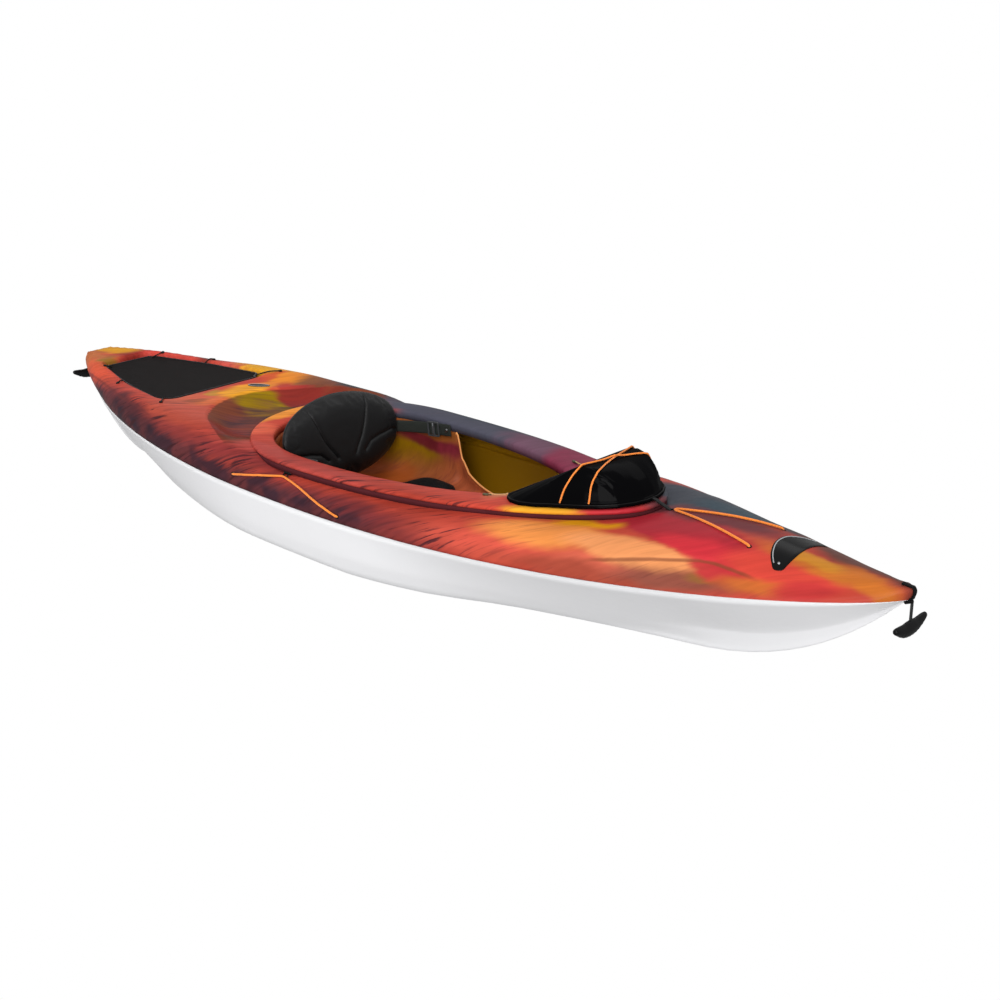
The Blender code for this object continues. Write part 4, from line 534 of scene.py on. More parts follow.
# painted shade: darker lines along the moulded creases, where the skin turns in
BOW_CREASE_SHADE = [(0.83, 0.290), (0.90, 0.248), (0.992, 0.1900), (1.083, 0.1395), (1.117, 0.130), (1.20, 0.132), (1.24, 0.137)]
AFT_CREASE_SHADE = [(-1.40, 0.132), (-1.20, 0.184), (-1.064, 0.223), (-0.985, 0.2496), (-0.895, 0.2641), (-0.80, 0.2901), (-0.75, 0.3051)]
# painted shade: darker colours inside the scoop behind the coaming, where the deck turns away from the light
SCOOP_SHADE = ((126, 64, 42), [
    (-0.635, 0.052, 0.115, 0.086, 0, (150, 118, 6), 1.0, 0.45),
    (-0.600, 0.010, 0.050, 0.070, -20, (142, 92, 30), 0.7, 0.9),
    (-0.610, 0.180, 0.110, 0.045, 25, (140, 44, 38), 0.95, 0.6),
    (-0.500, -0.235, 0.075, 0.060, -35, (150, 50, 44), 0.9, 0.8),
    (-0.530, -0.130, 0.035, 0.080, -20, (140, 60, 40), 0.7, 0.8),
])
deck_m = marbled('deck_marbled', DECK_PATCHES, True, seam=True, lines=((BOW_CREASE_SHADE, (112, 60, 38), 0.0090, 0.72), (AFT_CREASE_SHADE, (92, 40, 40), 0.0090, 0.50)), scoop=SCOOP_SHADE)

LINER_PATCHES = [
    (-0.20, 0.225, 0.13, 0.12, 0, (150, 112, 8), 0.95, 0.7, 0.160, 0.042),
    (-0.12, 0.235, 0.17, 0.10, 0, (110, 30, 42), 0.95, 0.6, 0.205, 0.022),
    (-0.06, 0.240, 0.05, 0.10, 0, (150, 50, 66), 0.7, 0.8, 0.190, 0.030),
    (-0.15, 0.235, 0.30, 0.08, 0, (140, 78, 34), 0.95, 0.5, 0.258, 0.032),
    (-0.06, 0.18, 0.18, 0.10, 0, (158, 86, 50), 0.9, 0.7, 0.130, 0.040),
    (-0.22, 0.13, 0.09, 0.10, 0, (170, 84, 34), 0.85, 0.6, 0.100, 0.030),
    (0.08, 0.10, 0.16, 0.20, 0, (184, 92, 58), 0.85, 0.7, 0.140, 0.060),
    (-0.10, -0.22, 0.40, 0.08, 0, (190, 78, 56), 0.8, 0.7, 0.190, 0.090),
]
liner_m = marbled('liner_marbled', LINER_PATCHES, False, base=(164, 84, 46), streaks=0.6)


def plastic(name, colour, rough=0.4, grain=300.0, depth=0.00015, vary=0.12, **sk):
    """Moulded plastic with a fine grain and slight tone changes."""
    q = Mat(name, rough, 0.0, **sk)
    a = lin(*colour)
    f = q.noise(q.co, 14.0, 3.0)
    c = q.mixc(f, tuple(v * (1 - vary) for v in a[:3]) + (1,), tuple(min(1, v * (1 + vary)) for v in a[:3]) + (1,))
    n = q.bump(q.noise(q.co, grain, 2.0), depth, 0.8)
    r = q.rng(q.noise(q.co, 45.0, 2.0), 0.3, 0.7, rough - 0.05, rough + 0.07)
    return q.done(c, n, r)


hull_m = plastic('hull_white', (222, 222, 224), 0.38, 260.0, 0.00010, 0.012, Specular_IOR_Level=0.35)
inside_m = plastic('hull_inside', (158, 113, 3), 0.6, 200.0, 0.0002, 0.05, Specular_IOR_Level=0.2)
black_m = plastic('black_plastic', (14, 14, 15), 0.40, 700.0, 0.00020, 0.15, IOR=1.08, Coat_Weight=0.2, Coat_Roughness=0.3)
bag_m = plastic('bag_skin', (4, 4, 5), 0.34, 520.0, 0.00008, 0.05, IOR=1.02, Coat_Weight=0.055, Coat_Roughness=0.12)
badge_m = plastic('badge_black', (8, 8, 9), 0.30, 400.0, 0.00008, 0.1, IOR=1.05, Coat_Weight=0.25, Coat_Roughness=0.2)
edge_m = plastic('liner_edge', (232, 156, 92), 0.4, 300.0, 0.0001, 0.05, IOR=1.3)
rubber_m = plastic('rubber_black', (14, 14, 15), 0.55, 500.0, 0.0003, 0.2, IOR=1.15)
grey_m = plastic('trim_grey', (150, 152, 154), 0.38, 500.0, 0.0001, 0.06)
frame_m = plastic('buckle_grey', (58, 60, 62), 0.34, 500.0, 0.0001, 0.1)


def woven(name, colour, pitch, rough=0.85, depth=0.0004, sheen=0.25, diag=False, ior=1.12):
    """Plain weave: two crossed sets of threads."""
    q = Mat(name, rough, 0.0, Sheen_Weight=sheen, Sheen_Roughness=0.4, IOR=ior)
    x, y, z = q.sep(q.co)
    k = 1.0 / pitch
    a = q.math('ADD', x, q.math('MULTIPLY', z, 0.35))
    b = q.math('ADD', y, q.math('MULTIPLY', z, 0.94))
    if diag:
        a, b = q.math('ADD', x, y), q.math('SUBTRACT', x, y)
    else:
        a, b = y, q.math('ADD', z, q.math('MULTIPLY', x, 0.8))
    u = q.math('SINE', q.math('MULTIPLY', a, 2 * pi * k))
    w = q.math('SINE', q.math('MULTIPLY', b, 2 * pi * k))
    h = q.math('MULTIPLY', u, w)
    f = q.rng(h, -1.0, 1.0, 0.0, 1.0, smooth=False)
    g = q.noise(q.co, 30.0, 3.0)
    dark = tuple(v * 0.55 for v in lin(*colour)[:3]) + (1,)
    c = q.mixc(q.math('ADD', q.math('MULTIPLY', f, 0.6), q.math('MULTIPLY', g, 0.5)), dark, lin(*colour))
    n = q.bump(h, depth, 0.5)
    n = q.bump(q.noise(q.co, 900.0, 2.0), 0.0002, 0.4, n)
    return q.done(c, n)


pad_m = woven('pad_fabric', (19, 19, 20), 0.0016, 0.42, 0.00016, 0.02, ior=1.3)
cush_m = woven('cushion_fabric', (20, 21, 23), 0.0016, 0.55, 0.00020, 0.02)
mesh_m = woven('cover_mesh', (36, 34, 34), 0.0034, 0.85, 0.0006, 0.0, diag=True)


def ribbed(name, colour, axis, pitch, rough=0.7):
    q = Mat(name, rough, 0.0, Specular_IOR_Level=0.2)
    x, y, z = q.sep(q.co)
    a = {'x': x, 'y': y, 'z': z}[axis]
    u = q.math('SINE', q.math('MULTIPLY', a, 2 * pi / pitch))
    f = q.rng(u, -1, 1, 0, 1, smooth=False)
    dark = tuple(v * 0.6 for v in lin(*colour)[:3]) + (1,)
    c = q.mixc(f, dark, lin(*colour))
    c = q.mixc(q.rng(q.noise(q.co, 80.0, 2.0), 0.4, 0.7, 0.0, 0.35), c, dark)
    return q.done(c, q.bump(u, 0.0003, 0.6))


web_m = ribbed('webbing_rib', (46, 50, 46), 'x', 0.0024)
strap_m = ribbed('handle_webbing', (44, 46, 46), 'z', 0.0022)


def braided(name, colour, fleck, pitch=0.0022):
    """Woven sleeve of a shock cord, crossed threads with a darker fleck."""
    q = Mat(name, 0.62, 0.0, Sheen_Weight=0.15, Sheen_Roughness=0.4)
    x, y, z = q.sep(q.co)
    a = q.math('ADD', x, y)
    b = q.math('SUBTRACT', q.math('ADD', x, z), y)
    u = q.math('SINE', q.math('MULTIPLY', a, 2 * pi / pitch))
    w = q.math('SINE', q.math('MULTIPLY', b, 2 * pi / pitch))
    h = q.math('MULTIPLY', u, w)
    f = q.rng(h, 0.1, 0.8, 0.0, 0.55)
    c = q.mixc(f, lin(*colour), lin(*fleck))
    c = q.mixc(q.rng(q.noise(q.co, 150.0, 2.0), 0.45, 0.75, 0.0, 0.4), c, tuple(v * 0.5 for v in lin(*colour)[:3]) + (1,))
    return q.done(c, q.bump(h, 0.0003, 0.5))


cord_m = braided('cord_orange', (240, 132, 36), (176, 84, 20))
olive_m = plastic('hook_olive', (64, 62, 30), 0.45, 500.0, 0.0001, 0.2)
tan_m = braided('cord_tan', (196, 150, 96), (120, 92, 60))


def brushed(name, colour, rough):
    q = Mat(name, rough, 1.0)
    f = q.noise(q.vec('MULTIPLY', q.co, (40.0, 900.0, 40.0)), 1.0, 3.0)
    a = lin(*colour)
    c = q.mixc(f, tuple(v * 0.8 for v in a[:3]) + (1,), a)
    return q.done(c, q.bump(f, 0.00005, 0.4), q.rng(f, 0.3, 0.7, rough - 0.06, rough + 0.08))


steel_m = brushed('steel_brushed', (176, 178, 182), 0.32)
foam_m = plastic('foam_beads', (222, 222, 218), 0.9, 160.0, 0.0012, 0.05)

fq = Mat('floor_pale', 1.0, 0.0, Specular_IOR_Level=0.0, Base_Color=(0, 0, 0, 1), Emission_Color=(1, 1, 1, 1), Emission_Strength=1.0)
floor.data.materials.append(fq.m)

# ------------------------------------------------------------ design rules
BEAM = 0.355            # half breadth at the sheer
T = 0.0042              # skin thickness
GAP = 0.0006            # clearance left between neighbouring pieces


def plan(c):
    u = min(1.0, abs(c))
    if c >= 0:
        return max(0.0, 1 - u ** 2.2) ** 0.72
    return max(0.0, 1 - u ** 2.6) ** 0.84


def reach(c, g):
    """Length of the outline at the height share g of the deck side."""
    k = math.sin(pi / 2 * clamp(g / 0.8)) - 0.5 * sm(0.75, 1.0, g) ** 2
    return (1.519 + 0.006 * k) if c >= 0 else (1.467 + 0.058 * min(1.0, k + 0.45 * sm(0.75, 1.0, g) ** 2))


def sheer(x):
    if x > -0.1:
        return 0.191 + 0.097 * ((x + 0.1) / 1.625) ** 1.8
    return 0.191 + 0.036 * clamp((-0.35 - x) / 1.12, 0, 1.04) ** 1.3


def keel(x):
    k = 0.0
    if x > 0.75:
        k = 0.284 * ((x - 0.75) / 0.762) ** 2.85
    elif x < -1.20:
        k = 0.125 * ((-1.20 - x) / 0.27) ** 2.2
    return min(k, sheer(x))


def hull_controls(x, b, s, k):
    """Half section corners: sheer, chine, bilge, floor, keel."""
    if x > 0.1:
        rc = 0.93 - 0.9 * (x - 0.1) ** 1.6
    elif x < -0.3:
        rc = 0.93 - 0.345 * (-0.3 - x) ** 1.5
    else:
        rc = 0.93
    if x > 0.0:
        rb = 0.845 - 0.9 * x ** 1.6
    elif x < -0.3:
        rb = 0.845 - 0.62 * (-0.3 - x) ** 1.5
    else:
        rb = 0.845
    rc = 0.13 + max(0.0, rc - 0.13)
    rb = 0.05 + max(0.0, rb - 0.05)
    rb += 0.030 * sm(-1.05, -0.80, x) * sm(0.55, 0.30, x)
    rb = min(rb, rc * 0.93)
    hc = 0.456 - 0.156 * sm(0.3, 1.05, x) + 0.05 * sm(-0.7, -1.3, x)
    zc = k + (s - k) * hc
    zb = k + (zc - k) * (0.34 - 0.10 * sm(-1.05, -0.80, x) * sm(0.55, 0.30, x))
    return [(b, s), (rc * b, zc), (rb * b, zb), (rb * b * 0.62, k + (zb - k) * 0.12), (0.0, k)]


def hull_half(x, b, s, k, fine=False):
    """Rounded half section from the sheer down to the keel."""
    p = [np.array(q) for q in hull_controls(x, b, s, k)]
    soft = [0, 0.16, 0.42, 0.5, 0]
    out = [p[0]]
    seg = 4 if fine else 1
    rnd = 5 if fine else 2
    cur = p[0]
    # the side panel swells a little between sheer and chine at the stern
    swell = 0.007 * sm(-0.90, -1.20, x) * sm(0.02, 0.08, b)
    for i in (1, 2, 3):
        a = p[i] + (p[i - 1] - p[i]) * soft[i]
        c = p[i] + (p[i + 1] - p[i]) * soft[i]
        steps = max(2, seg) if i == 1 else seg
        for j in range(1, steps):
            t = j / steps
            q = mix(cur, a, t)
            out.append(q + np.array([swell * 4 * t * (1 - t), 0.0]) if i == 1 else q)
        out.append(a)
        for j in range(1, rnd + 1):
            t = j / rnd
            out.append((1 - t) ** 2 * a + 2 * t * (1 - t) * p[i] + t * t * c)
        cur = c
    for j in range(1, (6 if fine else 2) + 1):
        out.append(mix(cur, p[4], j / (6 if fine else 2)))
    return out


def stations(m, power=1.0):
    """Shares c from +1 (bow) to -1 (stern), closer together at the tips."""
    return [math.cos(pi * i / m) for i in range(m + 1)]


# ---- deck
RIM = dict(xm=-0.13, hw=0.309, af=0.984, nf=2.15, qf=0.6, ar=0.357, nr=2.25, qr=0.5, blunt=True)
EYE = dict(xm=-0.15, hw=0.236, af=0.73, nf=2.2, qf=0.6, ar=0.272, nr=2.3, qr=0.5, blunt=False)


def egg(o, x):
    """Half width of an egg-shaped outline at x."""
    if x >= o['xm']:
        u = min(1.0, (x - o['xm']) / o['af'])
        if not o['blunt']:
            return o['hw'] * max(0.0, 1 - u ** o['nf']) ** o['qf']
        a = max(0.0, 1 - min(1.0, u * 1.0314) ** o['nf']) ** o['qf']
        b = max(0.0, 1 - u ** 1.51) ** 0.44
        return o['hw'] * mix(a, b, sm(0.36, 0.60, x))
    return o['hw'] * max(0.0, 1 - min(1.0, (o['xm'] - x) / o['ar']) ** o['nr']) ** o['qr']


def egg_dist(o, x, y):
    """Rough distance outside the outline (negative inside)."""
    if x >= o['xm']:
        a, n, q = o['af'], o['nf'], o['qf']
        if o['blunt']:
            k = sm(0.36, 0.60, x)
            n, q = mix(n, 1.51, k), mix(q, 0.44, k)
            a = mix(a / 1.0314, a, k)
        u = (x - o['xm']) / a
    else:
        a, n, q = o['ar'], o['nr'], o['qr']
        u = (o['xm'] - x) / a
    v = abs(y) / o['hw']
    f = u ** n + v ** (1 / q) - 1
    gx = n * u ** (n - 1) / a if u > 1e-6 else 0.0
    gy = (1 / q) * v ** (1 / q - 1) / o['hw'] if v > 1e-6 else 0.0
    return f / max(1e-6, math.hypot(gx, gy))


def rim_z(x):
    return 0.286 + 0.013 * x + 0.041 * x * x - 0.010 * x ** 3 + 0.014 * sm(0.45, 0.85, x)


def egg_loop(o, n):
    """Closed plan loop from the front tip round by port."""
    x0, x1 = o['xm'] + o['af'], o['xm'] - o['ar']
    pts = []
    for i in range(n):
        a = 2 * pi * i / n
        x = (x0 + x1) / 2 + (x0 - x1) / 2 * math.cos(a)
        y = egg(o, x) * (1 if a <= pi else -1)
        if i in (0, n // 2):
            y = 0.0
        pts.append((x, y))
    return np.array(pts)


def offset_loop(p, d):
    """Plan loop moved outward by d along its own normal."""
    t = np.roll(p, -1, 0) - np.roll(p, 1, 0)
    t /= np.linalg.norm(t, axis=1)[:, None]
    n = np.stack([t[:, 1], -t[:, 0]], 1)
    if np.sum(n * (p - p.mean(0))) < 0:
        n = -n
    return p + n * d


def section_exp(x):
    w = sm(0.45, 1.2, x) ** 1.7
    return 1 / (mix(0.09, 0.125, sm(-0.75, -0.40, x)) + 0.446 * w), 1 / (0.5 + 0.41 * w)


def crease_x(y):
    return -0.73 + 2.6 * y * y + 30 * abs(y) ** 5


def crown(x, y):
    rear = 0.286 + 0.014 * sm(-0.75, -1.40, x) - 0.022 * sm(-1.445, -1.485, x)
    fore = 0.271 + 0.065 * sm(0.25, 1.12, x) - 0.030 * sm(1.12, 1.56, x)
    d = x - crease_x(y)
    w = sm(-0.012, 0.14, d)
    z = mix(rear, fore, w)
    # shallow scoop behind the coaming
    z -= 0.022 * sm(0.0, 0.10, d) * sm(-0.30, -0.48, x) * sm(0.31, 0.16, abs(y))
    return z


T_IN = 0.87


def deck_t(x, y):
    e = 1.525
    b = BEAM * plan(x / e)
    a = min(1.0, abs(y) / b) if b > 1e-6 else T_IN
    # flat top and full shoulders on both noses
    return mix(a, 0.30 if x > 0 else 0.75, sm(e - 0.06, e, abs(x)))


def deck_base(x, y):
    n, m = section_exp(x)
    t = deck_t(x, y)
    s = sheer(x)
    z = s + (crown(x, y) - s) * max(0.0, 1 - t ** n) ** (1 / m)
    # the deck dips round the coaming so that the lip stands clear of it
    d = egg_dist(RIM, x, y)
    z -= 0.009 * math.exp(-(max(0.0, d + 0.02) / 0.04) ** 2) * sm(0.35, 0.8, x)
    return z


def flank(x, y, z):
    """Girth coordinate: distance from the middle plane measured down the side."""
    return y - (z - 0.29) * clamp(y / 0.12, -1, 1)


BOW_CREASE = [(0.80, 0.307), (0.829, 0.2837), (0.90, 0.242), (0.992, 0.1837), (1.083, 0.1325), (1.117, 0.123), (1.20, 0.125), (1.25, 0.130)]
AFT_CREASE = [(-1.42, 0.120), (-1.20, 0.178), (-1.064, 0.217), (-0.985, 0.2436), (-0.895, 0.2581), (-0.80, 0.2841), (-0.75, 0.2991), (-0.661, 0.3269), (-0.60, 0.345)]


def follow(line, x):
    return float(np.interp(x, [p[0] for p in line], [p[1] for p in line]))


def deck_z(x, y):
    """Deck height with the small moulded steps that the coarse rules leave out."""
    z = deck_base(x, y)
    v = abs(flank(x, y, z))
    if 0.80 < x < 1.26:
        k = sm(0.83, 0.90, x) * sm(1.255, 1.17, x)
        z += 0.0065 * k * sm(0.007, -0.007, v - follow(BOW_CREASE, x)) - 0.0030 * k
    elif -1.42 < x < -0.60:
        k = sm(-1.40, -1.20, x) * sm(-0.60, -0.72, x)
        z += 0.0040 * k * sm(0.008, -0.006, v - follow(AFT_CREASE, x)) - 0.0020 * k
    if -0.95 < x < -0.30:
        d = x - crease_x(y)
        z -= 0.0050 * sm(-0.006, 0.012, d) * sm(0.15, 0.03, d) * sm(0.26, 0.20, abs(y))
    # fuller shoulder abreast of the scoop
    z += 0.0160 * sm(-1.15, -0.90, x) * sm(-0.20, -0.36, x) * sm(0.13, 0.285, abs(y))
    # and a slightly fuller bow tip
    z += 0.0090 * sm(1.34, 1.50, x)
    # finger recess where the side cord is clipped
    for s in (-1, 1):
        r = math.hypot((x + 0.150) / 0.062, (y - s * 0.3075) / 0.0135)
        if r < 1.4:
            z -= 0.0055 * sm(1.3, 0.5, r)
    return z


def deck_n(x, y):
    h = 1e-3
    gx = (deck_z(x + h, y) - deck_z(x - h, y)) / (2 * h)
    gy = (deck_z(x, y + h) - deck_z(x, y - h)) / (2 * h)
    v = np.array([-gx, -gy, 1.0])
    return v / np.linalg.norm(v)


def round_poly(corners, radii, seg):
    """Plan polygon with rounded corners."""
    out = []
    n = len(corners)
    for i in range(n):
        p = np.array(corners[i], float)
        a = np.array(corners[i - 1], float) - p
        b = np.array(corners[(i + 1) % n], float) - p
        la, lb = np.linalg.norm(a), np.linalg.norm(b)
        a /= la
        b /= lb
        ang = math.acos(clamp(float(a @ b), -1, 1))
        d = min(radii[i] / math.tan(ang / 2), 0.45 * la, 0.45 * lb)
        s, e = p + a * d, p + b * d
        for j in range(seg + 1):
            t = j / seg
            out.append((1 - t) ** 2 * s + 2 * t * (1 - t) * p + t * t * e)
    return np.array(out)


WELL_FLOOR = 0.165


def resample(p, n):
    """Even closed resampling of a plan loop."""
    q = np.vstack([p, p[:1]])
    s = np.concatenate([[0], np.cumsum(np.linalg.norm(np.diff(q, axis=0), axis=1))])
    u = np.linspace(0, s[-1], n, endpoint=False)
    return np.stack([np.interp(u, s, q[:, 0]), np.interp(u, s, q[:, 1])], 1)


def well_loop(n):
    c = [(-0.822, 0.212), (-1.06, 0.172), (-1.315, 0.096),
         (-1.315, -0.096), (-1.06, -0.172), (-0.822, -0.212)]
    return resample(round_poly(c, [0.045, 0.5, 0.04, 0.04, 0.5, 0.045], 8), n)


def build_hull(m, fine, mat, inside):
    cs = stations(m)
    n = 2 * m
    verts, loops = [], []

    def skin(inner):
        st = []
        for i in range(n):
            k = i if i <= m else n - i
            sgn = 1 if i <= m else -1
            c = cs[k]
            if inner:
                ext = (1.519 if c >= 0 else 1.467) - 0.035
                amp = BEAM - 0.002 - T
            else:
                ext = 1.519 if c >= 0 else 1.467
                amp = BEAM - 0.002
            x = c * ext
            b = amp * plan(c)
            s = sheer(x) - 0.0003
            kz = keel(x) + (T if inner else 0.0)
            kz = min(kz, s)
            hs = hull_half(x, b, s, kz, fine)
            st.append([(x, sgn * q[0], q[1]) for q in hs])
        lv = len(st[0])
        out = []
        for j in range(lv):
            out.append(len(verts))
            for i in range(n):
                verts.append(st[i][j])
        return out
    outer = skin(False)
    inner = skin(True)
    faces = []
    for a, b in zip(outer, outer[1:]):
        faces += ring_faces(a, b, n)
    for a, b in zip(inner, inner[1:]):
        faces += ring_faces(b, a, n)
    faces += ring_faces(inner[0], outer[0], n)
    first = inner[0]
    return make('hull_shell', verts, faces, mat, weld=2e-5, inner=lambda i: i >= first, inner_mat=inside)


def build_deck(m, mc, mw, step, fine, mat, inside):
    n = 2 * m
    cs = stations(m)
    rows = 9 if fine else 3
    verts, faces = [], []

    def strip(inner):
        """Loops up the deck side from the sheer to the top panel."""
        loops = []
        for k in range(rows + 1):
            lp = []
            for i in range(n):
                kk = i if i <= m else n - i
                sgn = 1 if i <= m else -1
                c = cs[kk]
                xt = c * 1.525
                ne, me_ = section_exp(xt)
                a_end = math.asin(T_IN ** (ne / 2))
                a = mix(pi / 2, a_end, k / rows)
                t = math.sin(a) ** (2 / ne)
                f = (math.cos(a) / math.cos(a_end)) ** (2 / me_)
                cut = 0.03 if inner else 0.0
                x = c * (reach(c, f) - cut)
                amp = BEAM - (T if inner else 0.0)
                y = sgn * amp * plan(c) * t
                xin = c * (1.525 - cut)
                yin = amp * plan(c) * T_IN
                zin = deck_z(xin if not inner else c * 1.525, BEAM * plan(c) * T_IN) - (T if inner else 0.0)
                s = sheer(x) + 0.0003
                z = s + (zin - s) * f
                lp.append((x, y, z))
            loops.append(lp)
        return loops
    so = strip(False)
    si = strip(True)

    # coaming loops, from the deck round the lip to the inner edge
    ro = egg_loop(RIM, mc)
    ri = egg_loop(EYE, mc)
    base = offset_loop(ro, -0.020)
    zr = np.array([rim_z(x) for x in ro[:, 0]])
    zb = np.array([deck_z(x, y) for x, y in base])
    zb = np.minimum(zb, zr - 0.020)
    zi = np.array([rim_z(x) for x in ri[:, 0]])

    def flat(p, z):
        return [(a[0], a[1], b) for a, b in zip(p, z)]

    def across(s):
        return ro * (1 - s) + ri * s, zr * (1 - s) + zi * s
    up = [flat(base, zb)]
    lip = [(-0.0185, -0.0125), (-0.0030, -0.0115), (-0.0005, -0.0085), (0.0, -0.0050), (-0.0030, -0.0008)]
    if not fine:
        lip = [(-0.0185, -0.0125), (-0.0020, -0.0110), (0.0, -0.0050), (-0.0040, -0.0006)]
    for d, dz in lip:
        up.append(flat(offset_loop(ro, d), zr + dz))
    tops = [(0.3, 0.0015), (0.62, 0.0005), (0.88, -0.002), (0.965, -0.0045), (1.0, -0.011)]
    if fine:
        tops = [(0.10, 0.0008), (0.22, 0.0014), (0.36, 0.0016), (0.5, 0.0012), (0.64, 0.0004),
                (0.78, -0.0008), (0.87, -0.002), (0.93, -0.0034), (0.97, -0.0055), (0.992, -0.0085), (1.0, -0.013)]
    for s, dz in tops:
        p, z = across(s)
        up.append(flat(p, z + dz))
    up.append(flat(ri, zi - 0.026))
    dn = []
    dn.append(flat(offset_loop(ri, 0.005), zi - 0.026))
    dn.append(flat(offset_loop(ri, 0.0055), zi - 0.0115))
    p, z = across(0.82)
    dn.append(flat(p, z - 0.0075))
    p, z = across(0.5)
    dn.append(flat(p, z - 0.0055))
    dn.append(flat(offset_loop(ro, -0.0245), zr - 0.0065))
    dn.append(flat(offset_loop(ro, -0.0250), zb - 0.0052))

    # well for luggage behind the seat
    wl = well_loop(mw)
    z0 = np.array([deck_z(x, y) for x, y in wl])
    wf = np.full(mw, WELL_FLOOR)
    prof_o = [(0, 0, 0), (-0.006, -0.003, 0), (-0.010, -0.012, 0), (-0.020, 0.012, 1), (-0.034, 0.0, 1)]
    prof_i = [(0.0035, -0.0048, 0), (-0.0022, -0.008, 0), (-0.0053, -0.015, 0), (-0.0152, 0.009, 1), (-0.0315, -0.0048, 1)]
    if fine:
        prof_o = [(0, 0, 0), (-0.003, -0.0007, 0), (-0.0058, -0.0026, 0), (-0.0080, -0.006, 0), (-0.0095, -0.011, 0),
                  (-0.0150, -0.060, 0), (-0.0195, 0.020, 1), (-0.0215, 0.012, 1), (-0.026, 0.005, 1), (-0.032, 0.0015, 1), (-0.040, 0.0, 1)]
        prof_i = [(0.0035, -0.0048, 0), (-0.0022, -0.008, 0), (-0.0053, -0.015, 0), (-0.0152, 0.009, 1), (-0.0315, -0.0048, 1)]
    well_o = [flat(offset_loop(wl, d), (wf if k else z0) + dz) for d, dz, k in prof_o]
    well_i = [flat(offset_loop(wl, d), (wf if k else z0) + dz) for d, dz, k in prof_i]

    # top panel between side strip, coaming and well
    outer2 = [(p[0], p[1]) for p in so[-1]]
    hole_c = [(p[0], p[1]) for p in base]
    hole_w = [(p[0], p[1]) for p in wl]
    inner = []
    k = int(1.6 / step) + 1
    for i in range(-k, k + 1):
        for j in range(-k, k + 1):
            x = (i + (0.5 if j % 2 else 0.0)) * step
            y = j * step * 0.866
            if abs(x) > 1.51:
                continue
            b = BEAM * plan(x / 1.525) * T_IN
            if abs(y) > b - 0.45 * step:
                continue
            if egg_dist(RIM, x, y) < -0.02 + 0.45 * step * 0.8:
                continue
            inner.append((x, y))
    rows_at = []
    for line, x0, x1 in ((BOW_CREASE, 0.835, 1.25), (AFT_CREASE, -1.40, -0.62)):
        for sg in (-1, 1):
            px = x0
            while px < x1:
                v = follow(line, px)
                lo, hi = 0.0, BEAM * plan(px / 1.525) * 0.999
                for _ in range(24):
                    y = (lo + hi) / 2
                    if y + (0.29 - deck_base(px, y)) < v:
                        lo = y
                    else:
                        hi = y
                e = 1e-3
                slope = (follow(line, px + e) - follow(line, px - e)) / (2 * e)
                nn = np.array([-slope, 1.0]) / math.hypot(slope, 1)
                for d in (-0.0105, -0.0065, -0.003, 0.0, 0.003, 0.0065, 0.0105):
                    rows_at.append((px + nn[0] * d, sg * (lo + nn[1] * d)))
                px += 0.009
    for sg in (-1, 1):
        for k in range(70):
            yy = sg * 0.0036 * k
            for d in (-0.010, -0.006, -0.002, 0.002, 0.006, 0.010, 0.016, 0.024):
                rows_at.append((crease_x(yy) + d, yy))
        for i in range(-9, 10):
            for j in range(-5, 6):
                rows_at.append((-0.150 + i * 0.010, sg * (0.3075 + j * 0.0045)))
    g = np.array(rows_at)
    keep = []
    grid = {}
    for p in g:
        b = BEAM * plan(p[0] / 1.525) * T_IN
        if abs(p[1]) > b - 0.004 or egg_dist(RIM, p[0], p[1]) < -0.014:
            continue
        k2 = (int(p[0] // 0.0025), int(p[1] // 0.0025))
        if k2 in grid:
            continue
        grid[k2] = 1
        keep.append((float(p[0]), float(p[1])))
    near = set()
    for p in keep:
        a, b = int(p[0] // 0.008), int(p[1] // 0.008)
        for u in (-1, 0, 1):
            for w in (-1, 0, 1):
                near.add((a + u, b + w))
    inner = [p for p in inner if (int(p[0] // 0.008), int(p[1] // 0.008)) not in near]
    extra = keep

    def in_well(p):
        return (-1.315 < p[0] < -0.822) and abs(p[1]) < mix(0.096, 0.212, (p[0] + 1.315) / 0.493)
    allp = [outer2, hole_c, hole_w]
    inner = [p for p in inner if not in_well(p) and far_from(p, allp, 0.5 * step)]
    inner += [p for p in extra if not in_well(p) and far_from(p, allp, 0.004)]
    tri, tot = tris_in(outer2, [hole_c, hole_w], inner)
    assert tot == n + mc + mw + len(inner)

    # write the vertices: side loops, coaming, well, then the inner points
    def put(loop):
        s = len(verts)
        verts.extend(loop)
        return s
    so_i = [put(l) for l in so]
    up_i = [put(l) for l in up]
    wo_i = [put(l) for l in well_o]
    in_o = put([(p[0], p[1], deck_z(*p)) for p in inner])
    first = len(verts)
    si_i = [put(l) for l in si]
    dn_i = [put(l) for l in dn]
    wi_i = [put(l) for l in well_i]
    low = []
    for p in inner:
        q = np.array([p[0], p[1], deck_z(*p)]) - deck_n(*p) * T
        low.append(tuple(q))
    in_i = put(low)

